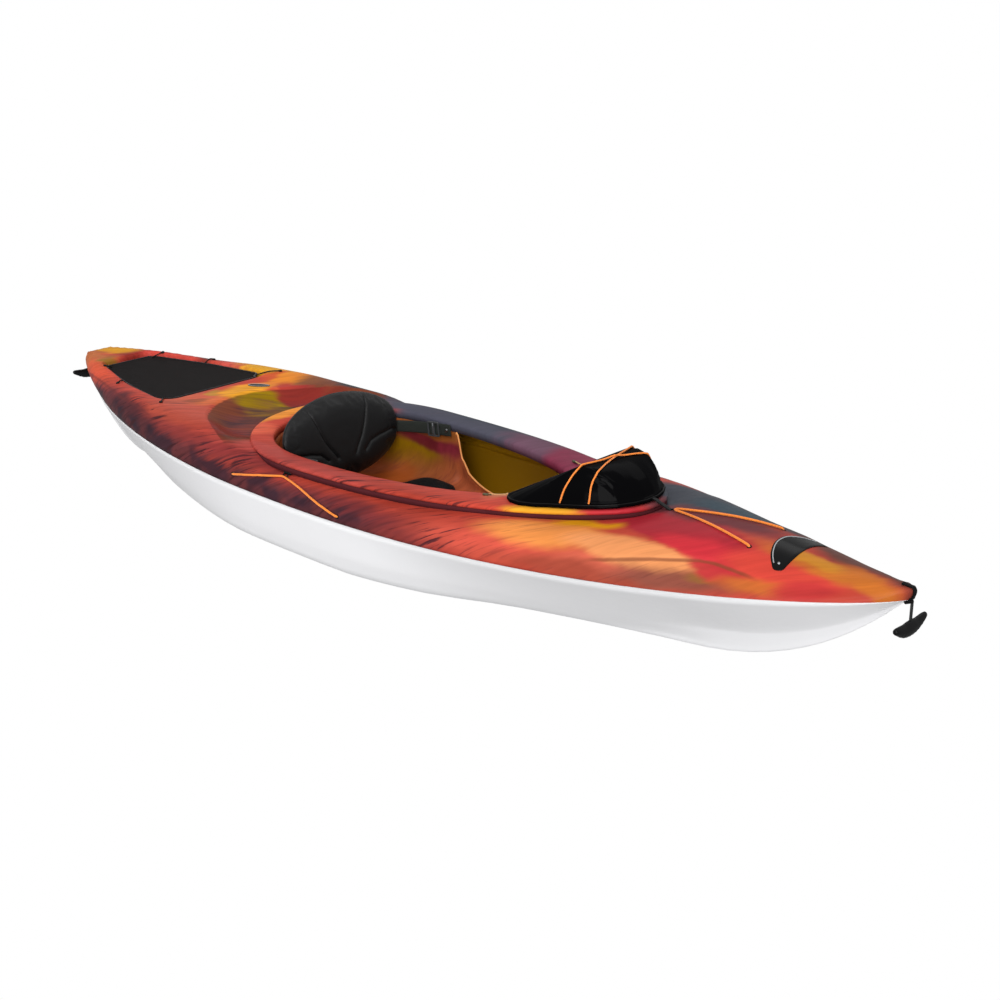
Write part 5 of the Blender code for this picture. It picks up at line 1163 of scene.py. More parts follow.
    def ref(i, a, b, c, d):
        if i < n:
            return a + i
        i -= n
        if i < mc:
            return b + i
        i -= mc
        if i < mw:
            return c + i
        return d + i - mw
    for f in tri:
        faces.append(tuple(ref(i, so_i[-1], up_i[0], wo_i[0], in_o) for i in f))
        faces.append(tuple(reversed([ref(i, si_i[-1], dn_i[-1], wi_i[0], in_i) for i in f])))
    for a, b in zip(so_i, so_i[1:]):
        faces += ring_faces(a, b, n)
    for a, b in zip(si_i, si_i[1:]):
        faces += ring_faces(b, a, n)
    faces += ring_faces(si_i[0], so_i[0], n)
    cl = up_i + dn_i
    for a, b in zip(cl, cl[1:]):
        faces += ring_faces(a, b, mc)
    for a, b in zip(wo_i, wo_i[1:]):
        faces += ring_faces(a, b, mw)
    for a, b in zip(wi_i, wi_i[1:]):
        faces += ring_faces(b, a, mw)
    for ids, rev in ((wo_i[-1], False), (wi_i[-1], True)):
        lp = [(verts[ids + i][0], verts[ids + i][1]) for i in range(mw)]
        pts = []
        st2 = 0.03
        for i in range(-12, 13):
            for j in range(-7, 8):
                q = (-1.06 + i * st2, j * st2)
                if in_poly(np.array([q[0]]), np.array([q[1]]), lp)[0] and far_from(q, [lp], 0.6 * st2):
                    pts.append(q)
        t2, _ = tris_in(lp, [], pts)
        zf = verts[ids][2]
        s = put([(q[0], q[1], zf) for q in pts])
        if rev:
            spare = set(range(s, len(verts)))
        else:
            kept = set(range(s, len(verts)))
        for f in t2:
            g = tuple(ids + i if i < mw else s + i - mw for i in f)
            faces.append(tuple(reversed(g)) if rev else g)
    return make('deck_shell', verts, faces, mat, weld=2e-6, inner=lambda i: i >= first and i not in kept, inner_mat=inside)


# ------------------------------------------------------- small-part tools
def V3(*a):
    return Vector(a if len(a) == 3 else a[0])


def curve(ctrl, n):
    """Smooth curve through the control points, n evenly spaced points."""
    c = [np.array(p, float) for p in ctrl]
    c = [2 * c[0] - c[1]] + c + [2 * c[-1] - c[-2]]
    out = []
    for i in range(1, len(c) - 2):
        for j in range(16):
            t = j / 16
            a, b, d, e = c[i - 1], c[i], c[i + 1], c[i + 2]
            out.append(0.5 * (2 * b + (d - a) * t + (2 * a - 5 * b + 4 * d - e) * t ** 2
                              + (3 * b - a - 3 * d + e) * t ** 3))
    out.append(c[-2])
    out = np.array(out)
    s = np.concatenate([[0], np.cumsum(np.linalg.norm(np.diff(out, axis=0), axis=1))])
    u = np.linspace(0, s[-1], n)
    return np.stack([np.interp(u, s, out[:, k]) for k in range(3)], 1)


def circle(r, n, rz=None):
    return [(r * math.cos(2 * pi * i / n), (rz or r) * math.sin(2 * pi * i / n)) for i in range(n)]


def slab(w, t, r=0.0006):
    """Flat section w wide and t thick with eased corners."""
    a, b = w / 2, t / 2
    return [(a, -b + r), (a, b - r), (a - r, b), (-a + r, b), (-a, b - r), (-a, -b + r), (-a + r, -b), (a - r, -b)]


def sweep(name, pts, section, mat, ref=(0, 0, 1), scale=None):
    """Closed body of one section carried along a path."""
    P = [Vector([float(c) for c in p]) for p in pts]
    n, k = len(P), len(section)
    verts, faces = [], []
    r = Vector(ref)
    for i in range(n):
        t = (P[min(n - 1, i + 1)] - P[max(0, i - 1)]).normalized()
        r = r - t * r.dot(t)
        r.normalize()
        s = t.cross(r)
        q = scale[i] if scale else 1.0
        for u, v in section:
            verts.append(P[i] + s * u * q + r * v * q)
    for i in range(n - 1):
        faces += ring_faces(i * k, (i + 1) * k, k)
    faces.append(tuple(range(k)))
    faces.append(tuple((n - 1) * k + i for i in reversed(range(k))))
    return make(name, verts, faces, mat)


def loft(name, loops, mat):
    """Closed body through loops of equal count, with flat ends."""
    k = len(loops[0])
    verts = [p for lp in loops for p in lp]
    faces = []
    for i in range(len(loops) - 1):
        faces += ring_faces(i * k, (i + 1) * k, k)
    faces.append(tuple(reversed(range(k))))
    faces.append(tuple((len(loops) - 1) * k + i for i in range(k)))
    return make(name, verts, faces, mat)


def axes(d, ref=(0, 0, 1)):
    """Rotation whose Z column is d."""
    z = Vector(d).normalized()
    x = Vector(ref).cross(z)
    if x.length < 1e-4:
        x = Vector((1, 0, 0)).cross(z)
    x.normalize()
    y = z.cross(x)
    return Matrix((x, y, z)).transposed()


def lathe(name, prof, mat, c, d, seg=16):
    """Turned body: profile of (radius, height) about the line through c along d."""
    R = axes(d)
    c = Vector(c)
    verts, faces, rows = [], [], []
    for r, h in prof:
        if r < 1e-9:
            rows.append([len(verts)] * seg)
            verts.append(c + R @ Vector((0, 0, h)))
        else:
            rows.append([len(verts) + i for i in range(seg)])
            for i in range(seg):
                a = 2 * pi * i / seg
                verts.append(c + R @ Vector((r * math.cos(a), r * math.sin(a), h)))
    closed = prof[0][0] > 1e-9
    n = len(rows)
    for i in range(n if closed else n - 1):
        a, b = rows[i], rows[(i + 1) % n]
        for j in range(seg):
            k = (j + 1) % seg
            f = [a[j], a[k], b[k], b[j]]
            g = [v for m, v in enumerate(f) if v not in f[:m]]
            if len(g) > 2:
                faces.append(tuple(g))
    return make(name, verts, faces, mat)


def rbox(name, c, size, r, mat, R=None, seg=2):
    """Box with rounded edges."""
    me = bpy.data.meshes.new(name)
    bm = bmesh.new()
    bmesh.ops.create_cube(bm, size=1.0)
    for v in bm.verts:
        v.co = Vector((v.co.x * size[0], v.co.y * size[1], v.co.z * size[2]))
    if r > 0:
        bmesh.ops.bevel(bm, geom=bm.edges, offset=r, segments=seg, affect='EDGES', profile=0.5)
    M = Matrix.Translation(Vector(c)) @ (R.to_4x4() if R else Matrix.Identity(4))
    bm.transform(M)
    for f in bm.faces:
        f.smooth = True
    bm.to_mesh(me)
    bm.free()
    ob = bpy.data.objects.new(name, me)
    scene.collection.objects.link(ob)
    me.materials.append(mat)
    me.set_sharp_from_angle(angle=math.radians(40))
    return ob


def plate(name, outer, holes, z0, z1, mat, R=None, c=(0, 0, 0)):
    """Flat plate with holes; outlines in its own plane, carried by R and c."""
    tri, n = tris_in(outer, holes, [])
    pts = list(outer) + [p for h in holes for p in h]
    R = R or Matrix.Identity(3)
    c = Vector(c)
    verts = [c + R @ Vector((p[0], p[1], z)) for z in (z0, z1) for p in pts]
    faces = [tuple(reversed(t)) for t in tri] + [tuple(i + n for i in t) for t in tri]
    s = 0
    for lp in [outer] + list(holes):
        faces += ring_faces(s, s + n, len(lp))
        s += len(lp)
    return make(name, verts, faces, mat, smooth=False)


def rect(w, h, r=0.0, seg=2, cx=0.0, cy=0.0):
    c = [(cx - w / 2, cy - h / 2), (cx + w / 2, cy - h / 2), (cx + w / 2, cy + h / 2), (cx - w / 2, cy + h / 2)]
    if r <= 0:
        return [tuple(p) for p in c]
    return [tuple(p) for p in round_poly(c, [r] * 4, seg)]


def merge(name, obs, mat, op='UNION'):
    """Boolean of the first object with the others, as one closed body."""
    base = obs[0]
    for o in obs[1:]:
        m = base.modifiers.new('b', 'BOOLEAN')
        m.operation = op
        m.solver = 'EXACT'
        m.object = o
    dg = bpy.context.evaluated_depsgraph_get()
    me = bpy.data.meshes.new_from_object(base.evaluated_get(dg))
    me.name = name
    bm = bmesh.new()
    bm.from_mesh(me)
    bmesh.ops.remove_doubles(bm, verts=bm.verts, dist=1e-6)
    bmesh.ops.dissolve_degenerate(bm, edges=bm.edges, dist=1e-6)
    bm.to_mesh(me)
    bm.free()
    for o in obs:
        bpy.data.objects.remove(o, do_unlink=True)
    ob = bpy.data.objects.new(name, me)
    scene.collection.objects.link(ob)
    me.materials.clear()
    me.materials.append(mat)
    return ob


def pivot(ob, p):
    """Put the origin of a moving piece on its joint axis."""
    ob.data.transform(Matrix.Translation(-Vector(p)))
    ob.location = Vector(p)
    return ob


def tree(*obs):
    bm = bmesh.new()
    for o in obs:
        bm.from_mesh(o.data)
    t = BVHTree.FromBMesh(bm)
    bm.free()
    return t


def outside(*obs):
    """Tree of the faces that look away from the middle of the boat."""
    bm = bmesh.new()
    for o in obs:
        bm.from_mesh(o.data)
    inner = []
    for f in bm.faces:
        c = f.calc_center_median()
        if f.normal.x * c.x * 0.1 + f.normal.y * c.y + f.normal.z * (c.z - 0.12) <= 0:
            inner.append(f)
    bmesh.ops.delete(bm, geom=inner, context='FACES')
    t = BVHTree.FromBMesh(bm)
    bm.free()
    return t


def top(t, x, y):
    """Height of the surface below a point well above it."""
    h = t.ray_cast(Vector((x, y, 1.0)), Vector((0, 0, -1)))
    return h[0].z


def side(t, x, y, z, lift):
    """Nearest surface point, lifted along its outward normal."""
    loc, nor, _, _ = t.find_nearest(Vector((x, y, z)))
    return loc + nor * lift, nor


def patch(name, outline, t, gap, thick, mat, step=0.02, ease=0.0008):
    """Thin plate that follows the surface below it."""
    xs = [p[0] for p in outline]
    ys = [p[1] for p in outline]
    pts = []
    i = 0
    x = min(xs)
    while x < max(xs):
        y = min(ys) + (0.5 * step if i % 2 else 0)
        while y < max(ys):
            if far_from((x, y), [outline], 0.6 * step):
                pts.append((x, y))
            y += step
        x += step * 0.866
        i += 1
    tri, n = tris_in(outline, [], pts)
    # points outside the outline are not used by any triangle
    allp = list(outline) + pts
    z = [top(t, p[0], p[1]) for p in allp]
    m = len(outline)
    q = offset_loop(np.array(outline), -ease)
    verts = [(p[0], p[1], h + gap) for p, h in zip(allp, z)]
    verts += [(p[0], p[1], h + gap + thick) for p, h in zip([tuple(a) for a in q] + pts, z)]
    mid = len(verts)
    verts += [(p[0], p[1], h + gap + thick - ease) for p, h in zip(outline, z)]
    faces = [tuple(reversed(f)) for f in tri] + [tuple(i + n for i in f) for f in tri]
    faces += ring_faces(0, mid, m) + ring_faces(mid, n, m)
    return make(name, verts, faces, mat)




def dress(ob, body='boat', *nodes, slot=None):
    """Ride on a body and stand for the CAD nodes; the slot argument is not used."""
    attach(ob, body)
    if nodes:
        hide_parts(*nodes)
    return ob


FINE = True
hull = dress(build_hull(60, True, hull_m, inside_m), 'boat', 'hull_main', 'hull_stern_port', 'hull_stern_starboard', slot='hull_shell')
deck = dress(build_deck(130 if FINE else 90, 220 if FINE else 150, 150 if FINE else 110, 0.015 if FINE else 0.022, True, deck_m, inside_m),
             'boat', 'deck_stern', 'deck_well', 'deck_aft', 'deck_side_port', 'deck_side_starboard', 'deck_fore', slot='deck_shell')
for side_y in (1, -1):
    pts = []
    for x in np.linspace(-0.44, 0.86, 70):
        w = (BEAM - 0.002 - T) * plan(x / (1.484 if x >= 0 else 1.432)) - 0.0012 - 0.0120 * sm(-0.05, 0.80, x)
        pts.append((x, side_y * w, sheer(x) - 0.0015))
    o = sweep('seam_strip_' + ('port' if side_y > 0 else 'starboard'), pts, [(0.009, -0.0006), (0.009, 0.0006), (-0.009, 0.0006), (-0.009, -0.0006)], inside_m, ref=(0, side_y, 0))
    dress(o, 'boat', slot='hull_shell')
# painted shade: a dark plum strip set under the lip of the coaming, where the lip's shadow falls
rim_pts = egg_loop(RIM, 240)
lip_shade_v, lip_shade_f = [], []
for off, drop in ((-0.0026, 0.0086), (-0.0016, 0.0265), (-0.0085, 0.0265), (-0.0085, 0.0086)):
    lip_shade_v += [(float(a), float(b), float(rim_z(a) - drop)) for a, b in offset_loop(rim_pts, off)]
for k in range(4):
    for i in range(240):
        j = (i + 1) % 240
        lip_shade_f.append((k * 240 + i, k * 240 + j, (k + 1) % 4 * 240 + j, (k + 1) % 4 * 240 + i))
lip_shade = make('coaming_lip_shade_strip', lip_shade_v, lip_shade_f, plastic('lip_shade_plum', (74, 32, 36), 0.5, 300.0, 0.0001, 0.2, IOR=1.05))
dress(lip_shade, 'boat', slot='deck_shell')
DECK = tree(deck)
DECK_OUT = outside(deck)
SHELL = tree(deck, hull)


# ------------------------------------------------------------------- seat
# -------------------------------------------------------- seat and backrest
def pan_half(x):
    g = 0.155 + 0.047 * (1 - clamp((x - 0.03) / 0.18)) ** 1.6
    return mix(egg(EYE, x) - 0.0005, g, sm(-0.02, 0.05, x))


def pan_top(x):
    h = 0.145 + 0.043 * (1 - clamp((x + 0.02) / 0.23)) ** 2
    return mix(rim_z(x) - 0.027, h, sm(-0.036, -0.012, x))


def pan_floor(x):
    z = 0.087 + 0.038 * sm(-0.2, 0.2, x)
    return z + (pan_top(x) - 0.012 - z) * sm(-0.30, -0.425, x) ** 1.5


def pan_point(x, a):
    """Inner surface of the seat pan: station x, angle a from -90 to 90."""
    s, c = math.sin(a), math.cos(a)
    hw, zt, zf = pan_half(x), pan_top(x), pan_floor(x)
    return np.array([x, math.copysign(abs(s) ** 0.4, s) * hw, zt - (zt - zf) * max(0.0, c) ** 0.4])


def build_liner(xs, m, mat, thick=0.004):
    n = m + 1
    grid, back = [], []
    for x in xs:
        row, low = [], []
        for j in range(n):
            a = mix(-pi / 2, pi / 2, j / m)
            a = clamp(a, -pi / 2, pi / 2)
            p = pan_point(x, a)
            e = 1e-3
            x2, x1 = min(x + e, xs[-1]), max(x - e, xs[0])
            du = (pan_point(x2, a) - pan_point(x1, a))
            a2, a1 = min(a + 0.02, pi / 2), max(a - 0.02, -pi / 2)
            dv = pan_point(x, a2) - pan_point(x, a1)
            nn = np.cross(du, dv)
            nn /= max(1e-12, np.linalg.norm(nn))
            if j in (0, m):
                nn = np.array([nn[0] * 0.0, -1.0 if j == 0 else 1.0, 0.0])
                if x < -0.35:
                    t = clamp((-0.35 - x) / 0.07)
                    nn = np.array([-t, nn[1] * (1 - t * t) ** 0.5, 0.0])
            elif nn[2] > 0:
                nn = -nn
            row.append(p)
            low.append(p + nn * thick)
        grid.append(row)
        back.append(low)
    k = len(xs)
    verts = [p for r in grid for p in r] + [p for r in back for p in r]
    o = k * n
    faces = []
    for i in range(k - 1):
        for j in range(m):
            a, b, c, d = i * n + j, i * n + j + 1, (i + 1) * n + j + 1, (i + 1) * n + j
            faces.append((a, b, c, d))
            faces.append((o + d, o + c, o + b, o + a))
    edge = [i for i in range(n)] + [i * n + m for i in range(1, k)] + \
           [(k - 1) * n + j for j in range(m - 1, -1, -1)] + [i * n for i in range(k - 2, 0, -1)]
    q = len(edge)
    for i in range(q):
        a, b = edge[i], edge[(i + 1) % q]
        faces.append((b, a, o + a, o + b))
    return make('seat_liner', verts, faces, mat)


def build_liner(xs, m, mat, edge, thick=0.004):
    n = m + 1
    grid, back = [], []
    for x in xs:
        row, low = [], []
        for j in range(n):
            a = clamp(mix(-pi / 2, pi / 2, j / m), -pi / 2, pi / 2)
            p = pan_point(x, a)
            e = 1e-3
            x2, x1 = min(x + e, xs[-1]), max(x - e, xs[0])
            du = (pan_point(x2, a) - pan_point(x1, a))
            a2, a1 = min(a + 0.02, pi / 2), max(a - 0.02, -pi / 2)
            dv = pan_point(x, a2) - pan_point(x, a1)
            nn = np.cross(du, dv)
            nn /= max(1e-12, np.linalg.norm(nn))
            if j in (0, m):
                nn = np.array([0.0, -1.0 if j == 0 else 1.0, 0.0])
                if x < -0.35:
                    t = clamp((-0.35 - x) / 0.07)
                    nn = np.array([-t, nn[1] * (1 - t * t) ** 0.5, 0.0])
            elif nn[2] > 0:
                nn = -nn
            row.append(p)
            low.append(p + nn * thick)
        grid.append(row)
        back.append(low)
    k = len(xs)
    verts = [p for r in grid for p in r] + [p for r in back for p in r]
    o = k * n
    # rounded front edge: one more row between the two skins, pushed forward
    r0 = len(verts)
    for j in range(n):
        a, b = grid[-1][j], back[-1][j]
        verts.append((a + b) / 2 + np.array([0.0022, 0, 0]))
    faces = []
    for i in range(k - 1):
        for j in range(m):
            a, b, c, d = i * n + j, i * n + j + 1, (i + 1) * n + j + 1, (i + 1) * n + j
            faces.append((a, b, c, d))
            faces.append((o + d, o + c, o + b, o + a))
    for j in range(m):
        a, b = (k - 1) * n + j, (k - 1) * n + j + 1
        faces.append((a, b, r0 + j + 1, r0 + j))
        faces.append((r0 + j, r0 + j + 1, o + b, o + a))
    faces.append(((k - 1) * n, r0, o + (k - 1) * n))
    faces.append(((k - 1) * n + m, o + (k - 1) * n + m, r0 + m))
    rear = list(range(n))
    for a, b in zip(rear, rear[1:]):
        faces.append((b, a, o + a, o + b))
    for i in range(k - 1):
        a, b = i * n, (i + 1) * n
        faces.append((a, b, o + b, o + a))
        a, b = i * n + m, (i + 1) * n + m
        faces.append((b, a, o + a, o + b))
    ob = make('seat_liner_shell', verts, faces, mat)
    ob.data.materials.append(edge)
    return ob


LX = [-0.4195, -0.416, -0.412, -0.405, -0.398, -0.388, -0.375, -0.358, -0.340, -0.31, -0.28, -0.24, -0.20, -0.16, -0.12, -0.085, -0.055,
      -0.044, -0.036, -0.031, -0.026, -0.021, -0.016, -0.010, 0.0, 0.012, 0.03, 0.05, 0.075, 0.10, 0.125, 0.15, 0.175, 0.195, 0.207, 0.21]
liner = dress(build_liner(LX, 56, liner_m, edge_m), 'boat', 'seat_liner', slot='seat_liner_shell')
PAN = tree(liner)


for side_y in (1, -1):
    pts = []
    for k in range(46):
        x = mix(-0.036, 0.205, (k / 45) ** 1.3)
        p = pan_point(x, side_y * pi / 2)
        pts.append((p[0], p[1] - side_y * 0.0006, p[2] + 0.0008))
    up = [(-0.0375, side_y * (pan_half(-0.0375) - 0.0006), z) for z in np.linspace(pan_top(-0.05) - 0.004, pts[0][2] + 0.003, 8)]
    path = []
    for p in up + pts:
        if not path or (Vector(p) - path[-1]).length > 0.004:
            path.append(Vector([float(c) for c in p]))
    o = sweep('liner_edge_' + ('port' if side_y > 0 else 'starboard'), path, circle(0.0025, 12), edge_m, ref=(0, side_y, 0))
    dress(o, 'boat', slot='seat_liner_shell')


# ---------------------------------------------------------- padded pieces
def remesh(ob, voxel):
    """Even skin for a soft piece."""
    m = ob.modifiers.new('r', 'REMESH')
    m.mode = 'VOXEL'
    m.voxel_size = voxel
    m.use_smooth_shade = True
    dg = bpy.context.evaluated_depsgraph_get()
    me = bpy.data.meshes.new_from_object(ob.evaluated_get(dg))
    mats = [s for s in ob.data.materials]
    ob.modifiers.clear()
    ob.data = me
    me.materials.clear()
    for s in mats:
        me.materials.append(s)
    for f in me.polygons:
        f.use_smooth = True
    return ob


def coords(me):
    co = np.zeros(len(me.vertices) * 3)
    me.vertices.foreach_get('co', co)
    return co.reshape(-1, 3)


def normals(me):
    no = np.zeros(len(me.vertices) * 3)
    me.vertices.foreach_get('normal', no)
    return no.reshape(-1, 3)


def puff(ob, cap, hold, pressure=4.0, frames=20):
    """Short cloth run under pressure; each point may move by at most cap times its hold."""
    rest = coords(ob.data)
    keep = hold(rest, normals(ob.data))
    m = ob.modifiers.new('c', 'CLOTH')
    s = m.settings
    s.quality = 5
    s.mass = 0.2
    s.tension_stiffness = s.compression_stiffness = 18
    s.shear_stiffness = 8
    s.bending_stiffness = 0.6
    s.use_pressure = True
    s.uniform_pressure_force = pressure
    s.effector_weights.gravity = 0.0
    m.point_cache.frame_start = 1
    m.point_cache.frame_end = frames
    m.collision_settings.use_collision = False
    for k in range(1, frames + 1):
        scene.frame_set(k)
    dg = bpy.context.evaluated_depsgraph_get()
    e = ob.evaluated_get(dg)
    new = coords(e.to_mesh())
    e.to_mesh_clear()
    ob.modifiers.clear()
    scene.frame_set(1)
    d = new - rest
    ln = np.linalg.norm(d, axis=1, keepdims=True)
    d *= np.minimum(1.0, cap / np.maximum(ln, 1e-9)) * keep[:, None]
    ob.data.vertices.foreach_set('co', (rest + d).ravel())
    ob.data.update()
    return ob


def refine(ob, levels=1):
    m = ob.modifiers.new('s', 'SUBSURF')
    m.levels = m.render_levels = levels
    dg = bpy.context.evaluated_depsgraph_get()
    me = bpy.data.meshes.new_from_object(ob.evaluated_get(dg))
    ob.modifiers.clear()
    ob.data = me
    for f in me.polygons:
        f.use_smooth = True
    return ob


def groove(ob, lines, width, depth, facing, flat=(1, 2)):
    """Sewn channels: press the skin in along lines drawn in two of its axes."""
    co, no = coords(ob.data), normals(ob.data)
    on = facing(co, no)
    p = co[:, list(flat)]
    h = np.zeros(len(co))
    for line in lines:
        best = np.full(len(co), 1e9)
        for a, b in zip(line, line[1:]):
            a, b = np.array(a), np.array(b)
            ab = b - a
            t = np.clip(((p - a) @ ab) / (ab @ ab), 0, 1)
            best = np.minimum(best, np.linalg.norm(p - a - t[:, None] * ab, axis=1))
        # a narrow stitch line in a wide soft valley
        h = np.maximum(h, np.exp(-(best / width) ** 2) * 0.65 + np.exp(-(best / (width * 3.2)) ** 2) * 0.35)
    co -= no * (h * depth * on)[:, None]
    ob.data.vertices.foreach_set('co', co.ravel())
    ob.data.update()


def back_x(y, z):
    """Mid surface of the backrest: leans back and wraps forward."""
    return -0.275 - 0.22 * (z - 0.25) + 0.36 * y * y


def back_outline(n, grow=0.0):
    out = []
    for i in range(n):
        a = 2 * pi * i / n
        s, c = math.sin(a), math.cos(a)
        if s >= 0:
            z = 0.262 + (0.110 + grow) * s
            y = (0.209 + grow) * max(0.0, 1 - s ** 2.6) ** 0.55
        else:
            z = 0.262 + (0.127 + grow) * s
            y = (0.209 + grow) * max(0.0, 1 - (-s) ** 2.4) ** 0.47
        out.append((math.copysign(y, c) if abs(c) > 1e-9 else 0.0, z))
    return out


def back_body(name, n, shares, mat, grow=0.0):
    """Loops of shrunken outlines at (share, offset) from front to back."""
    base = back_outline(n, grow)
    loops = []
    for s, off in shares:
        lp = []
        for y, z in base:
            yy, zz = y * s, 0.262 + (z - 0.262) * s
            lp.append((back_x(yy, zz) + off, yy, zz))
        loops.append(lp)
    return loft(name, loops, mat)


SEAM_L = [(-0.104, 0.345), (-0.0976, 0.326), (-0.088, 0.300), (-0.0833, 0.287), (-0.072, 0.262), (-0.0603, 0.2423), (-0.047, 0.225), (-0.034, 0.205)]
SEAM_R = [(-y, z) for y, z in SEAM_L]
LOW_R = [(0.205, 0.232), (0.180, 0.2418), (0.153, 0.2395), (0.128, 0.2362), (0.0927, 0.2268), (0.070, 0.206)]
LOW_L = [(-y, z) for y, z in LOW_R]
base_pad = back_body('backrest_cushion', 110,
                     [(0.20, 0.0215), (0.40, 0.0222), (0.62, 0.0215), (0.78, 0.0190), (0.90, 0.0150), (0.965, 0.0105), (0.992, 0.0062), (1.0, 0.0020),
                      (0.992, -0.0030), (0.975, -0.0062), (0.93, -0.0080), (0.60, -0.0086), (0.30, -0.0087)], pad_m)
remesh(base_pad, 0.0048)
puff(base_pad, 0.0060, lambda co, no: np.clip(1.2 * no[:, 0] + 0.25, 0, 1) * np.clip((0.200 - np.abs(co[:, 1])) / 0.05, 0.15, 1))
refine(base_pad)
groove(base_pad, [SEAM_L, SEAM_R, LOW_L, LOW_R], 0.0024, 0.0062, lambda co, no: np.clip(no[:, 0] * 3, 0, 1))
dress(base_pad, 'backrest', 'backrest_pad', slot='seat_fabric')

# bound edge round the back of the pad
ring = back_outline(150)
loop = [(back_x(y, z) - 0.0058, y * 0.992, 0.262 + (z - 0.262) * 0.992) for y, z in ring]
def ring_tube(name, pts, r, mat, seg=8):
    """Closed tube through a loop of points."""
    P = [Vector([float(c) for c in p]) for p in pts]
    n = len(P)
    verts, faces = [], []
    c = sum(P, Vector()) / n
    for i in range(n):
        t = (P[(i + 1) % n] - P[i - 1]).normalized()
        u = (P[i] - c)
        u = (u - t * u.dot(t)).normalized()
        w = t.cross(u)
        for k in range(seg):
            a = 2 * pi * k / seg
            verts.append(P[i] + u * (r * math.cos(a)) + w * (r * math.sin(a)))
    for i in range(n):
        a, b = i * seg, ((i + 1) % n) * seg
        faces += ring_faces(a, b, seg)
    return make(name, verts, faces, mat)


mid = sum((Vector([float(c) for c in p]) for p in loop), Vector()) / len(loop)
loop = [mid + (Vector([float(c) for c in p]) - mid) * 0.982 + Vector((0.0015, 0, 0)) for p in loop]
binding = ring_tube('backrest_binding', loop, 0.0022, ribbed('binding_tape', (58, 60, 60), 'z', 0.0016))
dress(binding, 'backrest', slot='seat_fabric')

CUSH_X0, CUSH_L = 0.231, 0.321


def cushion_half(x):
    """Butterfly outline: narrow behind, wide where the thighs rest."""
    w = mix(0.118, 0.182, sm(-0.16, -0.08, x))
    e = clamp((x + CUSH_X0) / CUSH_L)
    return w * (1 - abs(2 * e - 1) ** 5) ** 0.5 * mix(1.0, 0.86, sm(-0.02, 0.07, x))


def build_cushion(name, xs, m, mat, lift=0.0025):
    top_r, bot_r = [], []
    for i, x in enumerate(xs):
        w = cushion_half(x)
        a, b = [], []
        for j in range(m + 1):
            t = -1 + 2 * j / m
            y = w * math.copysign(1 - (1 - abs(t)) ** 1.5, t)
            z0 = max(top(PAN, x, clamp(y + d, -0.2, 0.2)) for d in (-0.012, 0, 0.012)) + lift
            f = (1 - abs(t) ** 6) ** 0.5
            e = clamp((x + CUSH_X0) / CUSH_L)
            f *= (1 - abs(2 * e - 1) ** 8) ** 0.5
            h = 0.006 + 0.020 * f + 0.008 * f * math.exp(-((abs(y) - 0.14) / 0.04) ** 2) * sm(-0.16, -0.06, x)
            b.append((x, y, z0))
            a.append((x, y, z0 + h))
        top_r.append(a)
        bot_r.append(b)
    loops = [list(reversed(b)) + a for a, b in zip(top_r, bot_r)]
    return loft(name, loops, mat)


def build_cushion(name, xs, m, mat, lift=0.0022):
    top_r, bot_r = [], []
    for i, x in enumerate(xs):
        w = cushion_half(x)
        a, b = [], []
        for j in range(m + 1):
            t = -1 + 2 * j / m
            y = w * math.copysign(1 - (1 - abs(t)) ** 1.5, t)
            z0 = max(top(PAN, x, clamp(y + d, -0.2, 0.2)) for d in (-0.010, 0, 0.010)) + lift
            f = (1 - abs(t) ** 6) ** 0.5
            e = clamp((x + CUSH_X0) / CUSH_L)
            f *= (1 - abs(2 * e - 1) ** 8) ** 0.5
            h = 0.005 + 0.019 * f + 0.008 * f * math.exp(-((abs(y) - 0.14) / 0.04) ** 2) * sm(-0.16, -0.06, x)
            b.append((x, y, z0))
            a.append((x, y, z0 + h))
        top_r.append(a)
        bot_r.append(b)
    loops = [list(reversed(b)) + a for a, b in zip(top_r, bot_r)]
    return loft(name, loops, mat)


cushion = build_cushion('seat_pad', list(np.linspace(-0.2285, 0.0875, 30)), 26, cush_m)
remesh(cushion, 0.0046)
puff(cushion, 0.0060, lambda co, no: np.clip(no[:, 2] * 1.3, 0, 1))
refine(cushion)
MID = [(x, 0.0) for x in np.linspace(-0.20, 0.06, 6)]
SIDE_P = [(-0.215, 0.070), (-0.15, 0.083), (-0.08, 0.094), (0.0, 0.094), (0.070, 0.078)]
SIDE_S = [(x, -y) for x, y in SIDE_P]
CROSS = [(-0.095, y) for y in np.linspace(-0.088, 0.088, 7)]
groove(cushion, [MID, SIDE_P, SIDE_S, CROSS], 0.0020, 0.0046, lambda co, no: np.clip(no[:, 2] * 2.5, 0, 1), flat=(0, 1))
dress(cushion, 'boat', 'seat_cushion', slot='seat_fabric')

# ------------------------------------------------------ straps and buckles
def strap_mid(x):
    return mix(0.2365, 0.2615, (x + 0.262) / 0.202)


def strap_y(x):
    return egg(EYE, x) - 0.0064


